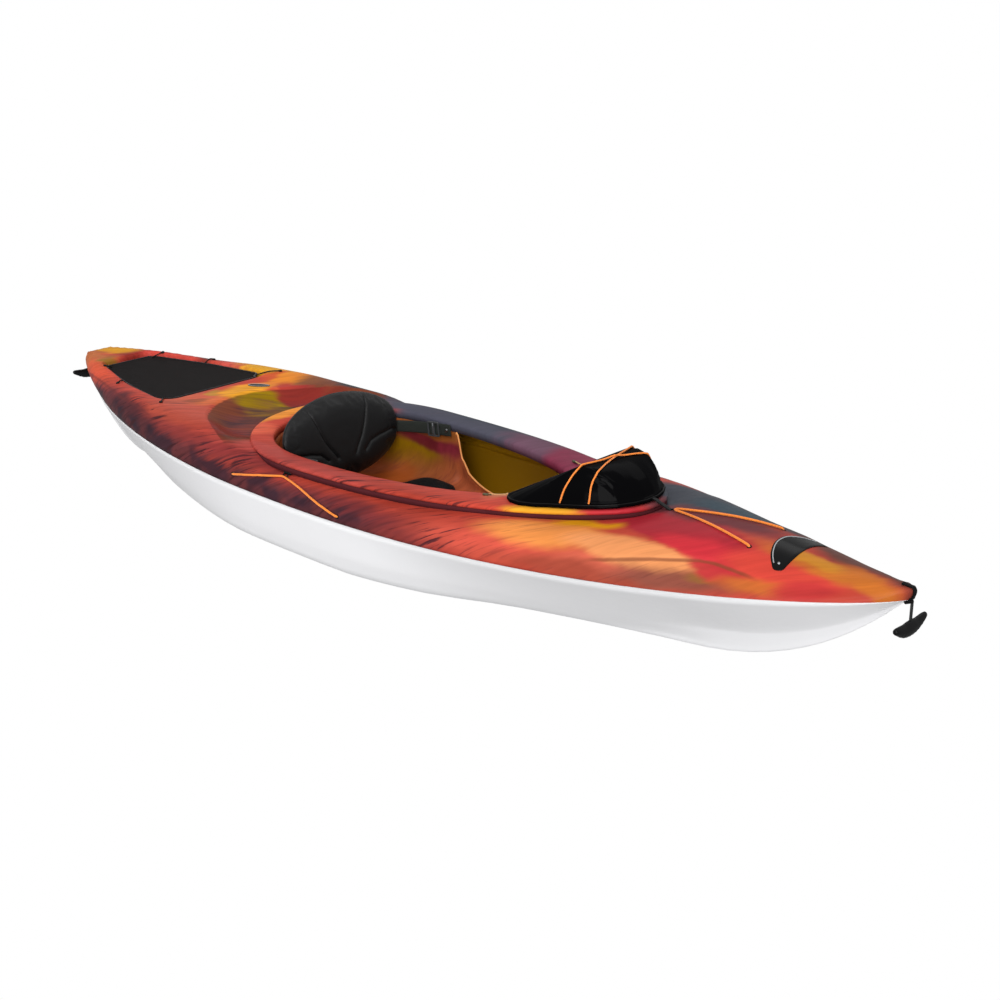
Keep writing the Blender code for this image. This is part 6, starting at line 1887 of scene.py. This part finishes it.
for nm, sg in (('port', 1), ('starboard', -1)):
    xs = np.linspace(-0.266, -0.0560, 60)
    pts = [(x, sg * (strap_y(x) - 0.0012 * math.sin((x + 0.06) * 30)), strap_mid(x)) for x in xs]
    s = sweep('side_strap_' + nm, pts, [(0.0170, -0.0005), (0.0170, 0.0005), (0.0150, 0.0011), (0.005, 0.0011), (-0.005, 0.0011), (-0.0150, 0.0011),
                                        (-0.0170, 0.0005), (-0.0170, -0.0005), (-0.0150, -0.0011), (-0.005, -0.0011), (0.005, -0.0011), (0.0150, -0.0011)],
              web_m, ref=(0, sg, 0))
    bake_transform(s)
    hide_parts('backrest_strap_' + nm)
    slope = (strap_mid(-0.1) - strap_mid(-0.15)) / 0.05
    x = -0.123
    d = Vector((1, 0, slope)).normalized()
    n = Vector((0, -sg, 0))
    u = n.cross(d)
    R = Matrix((d, u, n)).transposed()
    bk = plate('ladder_buckle_' + nm, rect(0.046, 0.044, 0.005, 5), [rect(0.0125, 0.034, 0.002, 2, cx=-0.0118), rect(0.0125, 0.034, 0.002, 2, cx=0.0118)],
               0.0, 0.0034, frame_m, R, (x, sg * (strap_y(x) - 0.0024), strap_mid(x)))
    b = bk.modifiers.new('b', 'BEVEL')
    b.width, b.segments, b.limit_method = 0.0009, 2, 'ANGLE'
    dress(bk, 'boat', 'strap_buckle_' + nm, slot='black_nylon')
    bar = sweep('buckle_bar_' + nm, [Vector((x, sg * (strap_y(x) - 0.0046), strap_mid(x))) + u * k for k in (-0.0185, -0.009, 0.0, 0.009, 0.0185)],
                circle(0.0016, 10), steel_m, ref=(1, 0, 0))
    dress(bar, 'boat', slot='steel')

# ------------------------------------------------------------- deck cords
CORD_R = 0.003
def hug(path, t, lift):
    """Path points moved out until they stand clear of a surface."""
    out = []
    for p in path:
        p = Vector([float(c) for c in p])
        loc, nor, _, d = t.find_nearest(p)
        if (p - loc).dot(nor) < lift:
            p = loc + nor * lift
        out.append(p)
    return out


def on_deck(ctrl, n, lift):
    """Evenly spaced path that hugs the deck."""
    pts = []
    for p in curve(ctrl, n):
        loc, nor = side(DECK_OUT, p[0], p[1], p[2], lift)
        pts.append(loc)
    return hug(pts, DECK_OUT, lift)




def tube(name, path, r, mat, seg=10, ref=(0, 0, 1)):
    """Round cord with softly closed ends."""
    P = [Vector([float(c) for c in p]) for p in path]
    n = len(P)
    d0, d1 = (P[1] - P[0]).normalized(), (P[-1] - P[-2]).normalized()
    pts = [P[0] - d0 * (0.5 * r), P[0] - d0 * (0.3 * r)] + P + [P[-1] + d1 * (0.3 * r), P[-1] + d1 * (0.5 * r)]
    sc = [0.45, 0.85] + [1.0] * n + [0.85, 0.45]
    return sweep(name, pts, circle(r, seg), mat, ref=ref, scale=sc)


def deck_cord(name, ctrl, n, lift, node):
    """Shock cord lying on the deck whose two ends go down into small holes."""
    path = [Vector([float(c) for c in p]) for p in on_deck(ctrl, n, lift)]
    for _ in range(3):
        path = [path[0]] + [(a + b * 2 + c) / 4 for a, b, c in zip(path, path[1:], path[2:])] + [path[-1]]
        path = hug(path, DECK_OUT, lift)
    for k, q in ((0, 1), (-1, -2)):
        al = (path[k] - path[q]).normalized()
        loc, nor = side(DECK_OUT, *(path[k] + al * 0.0075), 0.0)
        e = [path[k] + al * 0.0030 - nor * 0.0006, path[k] + al * 0.0056 - nor * 0.0022, loc - nor * 0.0012]
        path = list(reversed(e)) + path if k == 0 else path + e
        hole = lathe('%s_eyelet_%s' % (name, 'a' if k == 0 else 'b'),
                     [(0.0032, -0.0008), (0.0058, -0.0008), (0.0060, 0.0004), (0.0052, 0.0012), (0.0038, 0.0013), (0.0032, 0.0006)], black_m, loc, nor, 20)
        dress(hole, 'boat', slot='black_nylon')
    c = tube(name, path, CORD_R, cord_m, 12)
    dress(c, 'boat', node, slot='bungee_cord')
    return c, path


bow_cord, _ = deck_cord('bow_cord', [(1.1515, 0.0660, 0.33), (1.03, 0.036, 0.33), (0.926, 0.0092, 0.33), (0.9070, 0.0066, 0.33), (0.8990, 0.0, 0.33),
                                     (0.9070, -0.0066, 0.33), (0.926, -0.0092, 0.33), (1.03, -0.036, 0.33), (1.1515, -0.0660, 0.33)], 60, CORD_R + 0.0004, 'bow_bungee')
side_cord, SC = deck_cord('paddle_cord', [(-0.3080, -0.3445, 0.222), (-0.2450, -0.3400, 0.232), (-0.1850, -0.3290, 0.242), (-0.1450, -0.3190, 0.247),
                                          (-0.1270, -0.3170, 0.247), (-0.1120, -0.3200, 0.245), (-0.0450, -0.3310, 0.237), (0.0300, -0.3400, 0.222), (0.1070, -0.3440, 0.209)],
                          60, CORD_R + 0.0004, 'paddle_bungee')
ploc, pnor = side(DECK_OUT, -0.1290, -0.3010, 0.256, 0.0006)
R = axes(pnor, (0, 1, 0))
clip = rbox('paddle_hook', ploc + pnor * 0.0040, (0.028, 0.014, 0.008), 0.0026, black_m, R, 3)
clip2 = sweep('paddle_hook_lip', curve([ploc + pnor * 0.006 + R @ Vector((a, b, c)) for a, b, c in
                                        ((0.008, -0.004, 0.0), (0.008, -0.010, 0.0), (0.007, -0.015, -0.0008), (0.000, -0.0165, -0.0012), (-0.007, -0.015, -0.0008), (-0.008, -0.010, 0.0), (-0.008, -0.004, 0.0))], 30),
               circle(0.0019, 8), black_m, ref=tuple(pnor))
dress(clip, 'boat', 'paddle_clip', slot='black_nylon')
dress(clip2, 'boat', slot='black_nylon')

# ---------------------------------------------------- cover over the well
def mesh_half(x):
    w = mix(0.100, 0.172, (x + 1.315) / 0.255) if x < -1.06 else mix(0.172, 0.212, (x + 1.06) / 0.238)
    return min(w - 0.0155, 0.187) - 0.030 * sm(-0.875, -0.840, x) - 0.012 * sm(-1.26, -1.292, x)


MESH_Z = 0.2845


xs = np.concatenate([np.linspace(-1.292, -1.270, 6), np.linspace(-1.262, -0.872, 46), np.linspace(-0.864, -0.838, 8)])
mm = 34
loops = []
for x in xs:
    w = mesh_half(x)
    up, dn = [], []
    for j in range(mm + 1):
        y = w * (-1 + 2 * j / mm)
        e = (x + 1.065) / 0.227
        z = MESH_Z - 0.005 * (1 - min(1.0, e * e)) * (1 - (y / w) ** 2)
        # light pull lines towards the six ties
        for ax, ay in ((-1.27, 0.08), (-1.086, 0.1515), (-0.851, 0.171)):
            for s in (-1, 1):
                r = math.hypot(x - ax, y - s * ay)
                z += 0.0012 * math.exp(-(r / 0.05) ** 2) * math.cos(math.atan2(y - s * ay, x - ax) * 7) * min(1, r / 0.02)
        up.append((x, y, z + 0.0007))
        dn.append((x, y, z - 0.0007))
    loops.append(list(reversed(dn)) + up)
cover = loft('well_cover', loops, mesh_m)
hem_pts = []
outline = [(x, mesh_half(x)) for x in xs] + [(x, -mesh_half(x)) for x in xs[::-1]]
hem_pts = [(p[0], p[1], MESH_Z + 0.0002) for p in resample(np.array(outline), 220)]
hem = ring_tube('well_cover_hem', hem_pts, 0.0030, woven('hem_tape', (36, 35, 36), 0.0014, 0.8, 0.0002), 10)
dress(cover, 'boat', 'well_mesh', slot='mesh_fabric')
dress(hem, 'boat', slot='mesh_fabric')

TIES = [('rear', -1.256, 0.110, -1.2700, 0.0800), ('mid', -1.081, 0.1835, -1.0860, 0.1515), ('front', -0.799, 0.2250, -0.8510, 0.1710)]
for tag, ax, ay, mx, my in TIES:
    for nm, sg in (('port', 1), ('starboard', -1)):
        loc, nor = side(DECK_OUT, ax, sg * ay, 0.30, 0.0004)
        pad = lathe('well_button_%s_%s' % (tag, nm), [(0.0, 0.0), (0.0056, 0.0), (0.0056, 0.0020), (0.0046, 0.0036), (0.0026, 0.0046), (0.0, 0.0048)], black_m, loc, nor, 20)
        a = loc + nor * 0.0028
        b = Vector((mx, sg * my, MESH_Z + 0.0030))
        mid = (a + b) / 2
        zt = top(DECK, mid.x, mid.y)
        mid.z = max(mid.z, zt + 0.0032 if zt > 0.25 else mid.z)
        line = tube('well_cord_%s_%s' % (tag, nm), curve([a, mid, b, b + (b - a).normalized() * 0.006 - Vector((0, 0, 0.0018))], 20), 0.0019, black_m, 8)
        dress(line, 'boat', 'well_tie_%s_%s' % (tag, nm), slot='black_nylon')
        dress(pad, 'boat', slot='black_nylon')

# ------------------------------------------------------------ cockpit bag
BAG_EDGE = [(0.512, 0.146), (0.522, 0.163), (0.545, 0.179), (0.582, 0.186), (0.620, 0.179), (0.660, 0.163), (0.700, 0.1505),
            (0.735, 0.138), (0.776, 0.117), (0.808, 0.090), (0.830, 0.054), (0.8405, 0.020)]
RIDGE = (0.700, 0.085, 0.416)


def bag_loop(n):
    p = [(x, y) for x, y in BAG_EDGE] + [(x, -y) for x, y in reversed(BAG_EDGE)]
    return resample(np.array(p), n)


def bag_point(o, s):
    """Point at share s from the ridge (0) to the outline point o (1)."""
    zo = rim_z(o[0]) + 0.0121
    sy = clamp(o[1], -RIDGE[1], RIDGE[1])
    sx = RIDGE[0] + clamp((o[0] - RIDGE[0]) * 0.15, -0.004, 0.010)
    w = sm(0.53, 0.76, o[0])
    g = mix(1 - s, max(0.0, 1 - s ** 2.3) ** 0.62, w)
    return (sx + (o[0] - sx) * s, sy + (o[1] - sy) * s, zo + (RIDGE[2] - zo) * g)


def bag_detail(p, n):
    """Moulded folds and the welded seam on the bag's skin."""
    x, y, z = p
    h = 0.0
    for s in (-1, 1):
        for line, w, amp in (([(0.715, 0.0955, 0.411), (0.755, 0.0905, 0.402), (0.785, 0.0767, 0.3837), (0.802, 0.060, 0.3735)], 0.0050, 0.0030),
                             ([(0.748, 0.1065, 0.390), (0.7667, 0.0985, 0.3815), (0.779, 0.0945, 0.371), (0.788, 0.091, 0.358)], 0.0045, 0.0026),
                             ([(0.640, 0.1334, 0.3714), (0.6736, 0.1077, 0.3976), (0.700, 0.092, 0.412)], 0.0050, 0.0028)):
            for a, b in zip(line, line[1:]):
                a, b = Vector((a[0], s * a[1], a[2])), Vector((b[0], s * b[1], b[2]))
                t = clamp((Vector(p) - a).dot(b - a) / (b - a).length_squared)
                d = (Vector(p) - a - (b - a) * t).length
                h = max(h, amp * math.exp(-(d / w) ** 2))
    # welded seam low on the flanks
    if 0.56 < x < 0.80 and abs(y) > 0.06:
        zs = 0.3765 + (x - 0.64) * 0.12
        h -= 0.0011 * math.exp(-((z - zs) / 0.0022) ** 2) * sm(0.56, 0.60, x) * sm(0.79, 0.74, x)
    return h


def build_bag(n, mat):
    edge = bag_loop(n)
    zb = [rim_z(x) + 0.0030 for x, y in edge]
    loops = []
    for off, dz in ((-0.0040, 0.0), (-0.0012, 0.0004), (0.0, 0.0020), (0.0003, 0.0042), (-0.0002, 0.0066), (-0.0020, 0.0086), (-0.0045, 0.0092), (-0.0072, 0.0084), (-0.0092, 0.0078)):
        loops.append([(p[0], p[1], z + dz) for p, z in zip(offset_loop(edge, off), zb)])
    wall = offset_loop(edge, -0.0105)
    for s in np.concatenate([np.linspace(0.985, 0.90, 5), np.linspace(0.87, 0.30, 18), np.linspace(0.26, 0.04, 6)]):
        loops.append([bag_point(p, float(s)) for p in wall])
    ob = loft('spray_bag', loops, mat)
    co, no = coords(ob.data), normals(ob.data)
    for i in range(len(co)):
        if co[i][2] > 0.325:
            co[i] += no[i] * bag_detail(co[i], no[i])
    ob.data.vertices.foreach_set('co', co.ravel())
    ob.data.update()
    return ob


bag = build_bag(180, bag_m)
dress(bag, 'bag', 'cockpit_bag', slot='bag_shell')
BAG = tree(bag)
BAG_R = 0.0022
welt = ring_tube('spray_bag_welt', [(p[0], p[1], rim_z(p[0]) + 0.0030 + 0.0086) for p in offset_loop(bag_loop(220), -0.0022)], 0.0014, black_m, 8)
dress(welt, 'bag', slot='bag_shell')


def bag_cord(name, ctrl, hump, node):
    pts = []
    for p in curve([(x, y, 0.5) for x, y in ctrl], 60):
        h = BAG.ray_cast(Vector((p[0], p[1], 0.6)), Vector((0, 0, -1)))
        k = math.exp(-(p[1] / 0.018) ** 2) * hump
        pts.append(h[0] + h[1] * (BAG_R + 0.0003) + Vector((0, 0, k)))
    path = [Vector([float(c) for c in p]) for p in hug(curve(pts, 60), BAG, BAG_R + 0.0003)]
    for _ in range(2):
        path = [path[0]] + [(a + b * 2 + c) / 4 for a, b, c in zip(path, path[1:], path[2:])] + [path[-1]]
    path = hug(path, BAG, BAG_R + 0.0002)
    c = tube(name, path, BAG_R, cord_m, 10)
    dress(c, 'bag', node, slot='bungee_cord')


bag_cord('bag_lace_a', [(0.6790, 0.1470), (0.691, 0.120), (0.701, 0.088), (0.721, 0.0), (0.7450, -0.0880), (0.7440, -0.1090), (0.7470, -0.1240)], 0.0, 'bag_cord_a')
bag_cord('bag_lace_b', [(0.6790, -0.1470), (0.691, -0.120), (0.701, -0.088), (0.721, 0.0), (0.7450, 0.0880), (0.7440, 0.1090), (0.7470, 0.1240)], 0.0050, 'bag_cord_b')

for nm, sg in (('port', 1), ('starboard', -1)):
    hz = rim_z(0.447) + 0.0026
    pts = curve([(0.5075, sg * 0.1440, rim_z(0.505) + 0.0085), (0.485, sg * 0.1530, rim_z(0.485) + 0.0060), (0.463, sg * 0.1630, hz + 0.0040)], 20)
    line = tube('tether_' + nm, pts, 0.0019, tan_m, 8)
    R = Matrix.Rotation(sg * -0.45, 3, 'Z')
    hook = rbox('rim_hook_' + nm, (0.455, sg * 0.1665, hz + 0.0024), (0.015, 0.008, 0.0042), 0.0018, olive_m, R, 3)
    eye = ring_tube('rim_hook_eye_' + nm, [Vector((0.466, sg * 0.1615, hz + 0.0040)) + R @ Vector((0.0045 * math.cos(t), 0.0036 * math.sin(t), 0.0)) for t in np.linspace(0, 2 * pi, 20, endpoint=False)], 0.0011, black_m, 6)
    knot = lathe('tether_knot_' + nm, [(0.0, -0.0032), (0.0022, -0.0028), (0.0034, -0.0010), (0.0034, 0.0012), (0.0022, 0.0028), (0.0, 0.0032)], tan_m, pts[0], (0.6, sg * -0.2, 0.2), 12)
    dress(line, 'bag', 'bag_hook_' + nm, slot='bungee_cord')
    dress(hook, 'bag', slot='black_nylon')
    dress(eye, 'bag', slot='black_nylon')
    dress(knot, 'bag', slot='bungee_cord')
sp = curve([(0.8395, 0, 0.3440), (0.850, 0, 0.3420), (0.860, 0, 0.3380), (0.876, 0, 0.3325), (0.8890, 0, 0.3280), (0.8965, 0, 0.3275)], 30)
front = sweep('front_hook_strap', sp, [(0.0058, -0.0010), (0.0058, 0.0010), (0.0030, 0.0015), (-0.0030, 0.0015), (-0.0058, 0.0010), (-0.0058, -0.0010), (-0.0030, -0.0015), (0.0030, -0.0015)], black_m)
dress(front, 'bag', 'bag_front_hook', slot='black_nylon')
curl = sweep('front_hook_curl', curve([(0.8930, 0, 0.3290), (0.9000, 0, 0.3310), (0.9050, 0, 0.3285), (0.9045, 0, 0.3240)], 16), circle(0.0018, 8), black_m, ref=(0, 1, 0))
dress(curl, 'bag', slot='black_nylon')

# ------------------------------------------------------------ deck plates
BADGE_C = [(1.2620, -0.092), (1.2620, 0.092), (1.2420, 0.0985), (1.2130, 0.068), (1.1935, 0.025), (1.1935, -0.025), (1.2130, -0.068), (1.2420, -0.0985)]
badge_edge = [tuple(p) for p in resample(round_poly(BADGE_C, [0.010, 0.010, 0.012, 0.12, 0.12, 0.12, 0.12, 0.012], 10), 90)]
badge = dress(patch('bow_plate', badge_edge, DECK, 0.0004, 0.0017, badge_m, step=0.010), 'boat', 'bow_badge_plate', slot='black_nylon')
BADGE = tree(badge)
arc = [p for p in badge_edge]
inner_edge = offset_loop(np.array(arc), -0.0048)
aft = sorted((p for p in inner_edge if p[0] < 1.236 and abs(p[1]) < 0.086), key=lambda p: p[1])
rim_pts = [(p[0], p[1], top(BADGE, p[0], p[1]) + 0.0001) for p in aft]
trim = tube('bow_plate_trim', curve(rim_pts, 80), 0.0014, grey_m, 8)
dress(trim, 'boat', slot='black_nylon')
bl, bn = side(BADGE, 1.2475, -0.0885, 0.34, 0.0001)
rivet = lathe('bow_plate_rivet', [(0.0, 0.0), (0.0036, 0.0), (0.0034, 0.0009), (0.0024, 0.0016), (0.0, 0.0019)], steel_m, bl, bn, 24)
dress(rivet, 'boat', 'bow_badge_rivet', slot='steel')
ca, sa = math.cos(math.radians(34)), math.sin(math.radians(34))
oval = [(-0.750 + 0.035 * math.cos(t) * ca - 0.0135 * math.sin(t) * sa, 0.0995 + 0.035 * math.cos(t) * sa + 0.0135 * math.sin(t) * ca)
        for t in [2 * pi * i / 60 for i in range(60)]]
ovp = dress(patch('stern_plate', oval, DECK, 0.0003, 0.0014, badge_m, step=0.006), 'boat', 'stern_oval_plate', slot='black_nylon')
OV = tree(ovp)
otrim = ring_tube('stern_plate_trim', [(p[0], p[1], top(OV, p[0], p[1]) + 0.0001) for p in offset_loop(np.array(oval), -0.0022)], 0.0008, grey_m, 6)
dress(otrim, 'boat', slot='black_nylon')


# ---------------------------------------------------------------- handles
def nose_loop(name, sgn, centre, a0, a1, n=25, w=0.012, t=0.0046):
    """Band that follows the nose from the deck round to its underside."""
    pts = []
    for i in range(n):
        a = math.radians(mix(a0, a1, i / (n - 1)))
        d = Vector((sgn * math.cos(a), 0, math.sin(a)))
        c = Vector(centre)
        far = 0.0
        for y in (-w / 2, 0.0, w / 2):
            h = SHELL.ray_cast(c + d * 0.25 + Vector((0, y, 0)), -d)
            far = max(far, (h[0] - c).dot(d) + (0.0006 + t / 2) / max(0.5, h[1].dot(d)))
        pts.append(c + d * far)
    pts = curve(pts, 60)
    sec = [(w / 2 * math.copysign(abs(math.cos(q)) ** 0.6, math.cos(q)), t / 2 * math.copysign(abs(math.sin(q)) ** 0.6, math.sin(q))) for q in np.linspace(0, 2 * pi, 16, endpoint=False)]
    return sweep(name, pts, sec, rubber_m, ref=(1, 0, 0.3)), Vector([float(c) for c in pts[-1]])


loop_ob, loop_end = nose_loop('bow_loop', 1, (1.478, 0, 0.2840), 60, -14)
dress(loop_ob, 'boat', 'bow_handle_loop', slot='handle_rubber')
tail = tube('bow_loop_tail', [loop_end + Vector((-0.0010, 0, 0.0010)), (loop_end + Vector((1.5232, 0, 0.2855))) / 2, Vector((1.5232, 0, 0.2845))], 0.0044, rubber_m, 14, ref=(1, 0, 0))
dress(tail, 'boat', slot='handle_rubber')
kp, kn = side(DECK_OUT, -1.4880, 0.0120, 0.300, 0.0004)
dress(lathe('stern_knob', [(0.0, 0.0), (0.0075, 0.0), (0.0078, 0.0010), (0.0075, 0.0022), (0.0062, 0.0046), (0.0034, 0.0062), (0.0, 0.0066)], rubber_m, kp, kn, 28),
      'boat', 'stern_handle_knob', slot='handle_rubber')
sn = Vector((-0.86, 0, -0.51)).normalized()
stp = SHELL.ray_cast(Vector((-1.517, 0.0, 0.2425)) + sn * 0.1, -sn)[0] + sn * 0.0006
dress(lathe('stern_stud', [(0.0, 0.0), (0.0055, 0.0), (0.0057, 0.0020), (0.0050, 0.0044), (0.0035, 0.0058), (0.0, 0.0060)], rubber_m, stp, sn, 24),
      'boat', 'stern_handle_stud', slot='handle_rubber')


def grip(name, x, z, slim, mat):
    """Palm grip that hangs across the boat, thicker in the middle."""
    rows = [(-0.0640, 0.0095, 0.0026, 0.0030), (-0.0634, 0.0094, 0.0046, 0.0048), (-0.0615, 0.0091, 0.0066, 0.0068), (-0.0550, 0.0075, 0.0085, 0.0090),
            (-0.0420, 0.0035, 0.0100, 0.0125), (-0.0250, -0.0010, 0.0115, 0.0155), (-0.0100, -0.0015, 0.0125, 0.0175), (0.0, -0.0016, 0.0127, 0.0178)]
    rows += [(-a, b, c, d) for a, b, c, d in reversed(rows[:-1])]
    ys = np.array([r[0] for r in rows])
    loops = []
    for y in np.concatenate([[-0.0640, -0.0634, -0.0625], np.linspace(-0.0615, 0.0615, 44), [0.0625, 0.0634, 0.0640]]):
        dz, rx, rz = (float(np.interp(y, ys, [r[k] for r in rows])) for k in (1, 2, 3))
        loops.append([Vector((x + u, y, z + dz + v)) for u, v in circle(rx * slim, 24, rz * (1.12 * slim if slim < 0.95 else 0.86))])
    ob = loft(name, loops, mat)
    co = coords(ob.data)
    # finger ribs on the lower half
    rib = 0.0006 * np.cos(co[:, 1] * 2 * pi / 0.0115) * np.clip((0.052 - np.abs(co[:, 1])) / 0.01, 0, 1) * (co[:, 2] < z)
    co[:, 2] += rib
    ob.data.vertices.foreach_set('co', co.ravel())
    return ob


BOW_PIN = (1.5230, 0.0, 0.2800)
STERN_PIN = (-1.5215, 0.0, 0.2325)
for tag, pin, z1, gz, slim in (('bow', BOW_PIN, 0.2440, 0.2245, 0.88), ('stern', STERN_PIN, 0.2240, 0.2085, 0.80)):
    s = sweep(tag + '_pull_strap', [(pin[0], 0, z) for z in np.linspace(pin[2], z1 - 0.002, 18)],
              [(0.0055, -0.0009), (0.0055, 0.0009), (0.0030, 0.0013), (-0.0030, 0.0013), (-0.0055, 0.0009), (-0.0055, -0.0009), (-0.0030, -0.0013), (0.0030, -0.0013)], strap_m, ref=(1, 0, 0))
    dress(s, tag + '_handle', tag + '_handle_strap', slot='webbing')
    g = grip(tag + '_pull_grip', pin[0], gz, slim, black_m)
    dress(g, tag + '_handle', tag + '_handle_grip', slot='black_nylon')

# ------------------------------------------------- finish of the kept nodes
KEEP = {'backrest_panel': black_m, 'backrest_hinge_bracket': black_m, 'backrest_hinge_pin': steel_m, 'strap_rivet_port': steel_m, 'strap_rivet_starboard': steel_m,
        'footrest_rail_port': black_m, 'footrest_rail_starboard': black_m, 'foot_pedal_port': black_m, 'foot_pedal_starboard': black_m,
        'bow_foam_pillar': foam_m, 'stern_foam_block': foam_m, 'seat_foam_block': foam_m, 'drain_collar': black_m, 'drain_plug': rubber_m}
for n, m in KEEP.items():
    o = NODES[n]
    o.data.materials.clear()
    o.data.materials.append(m)
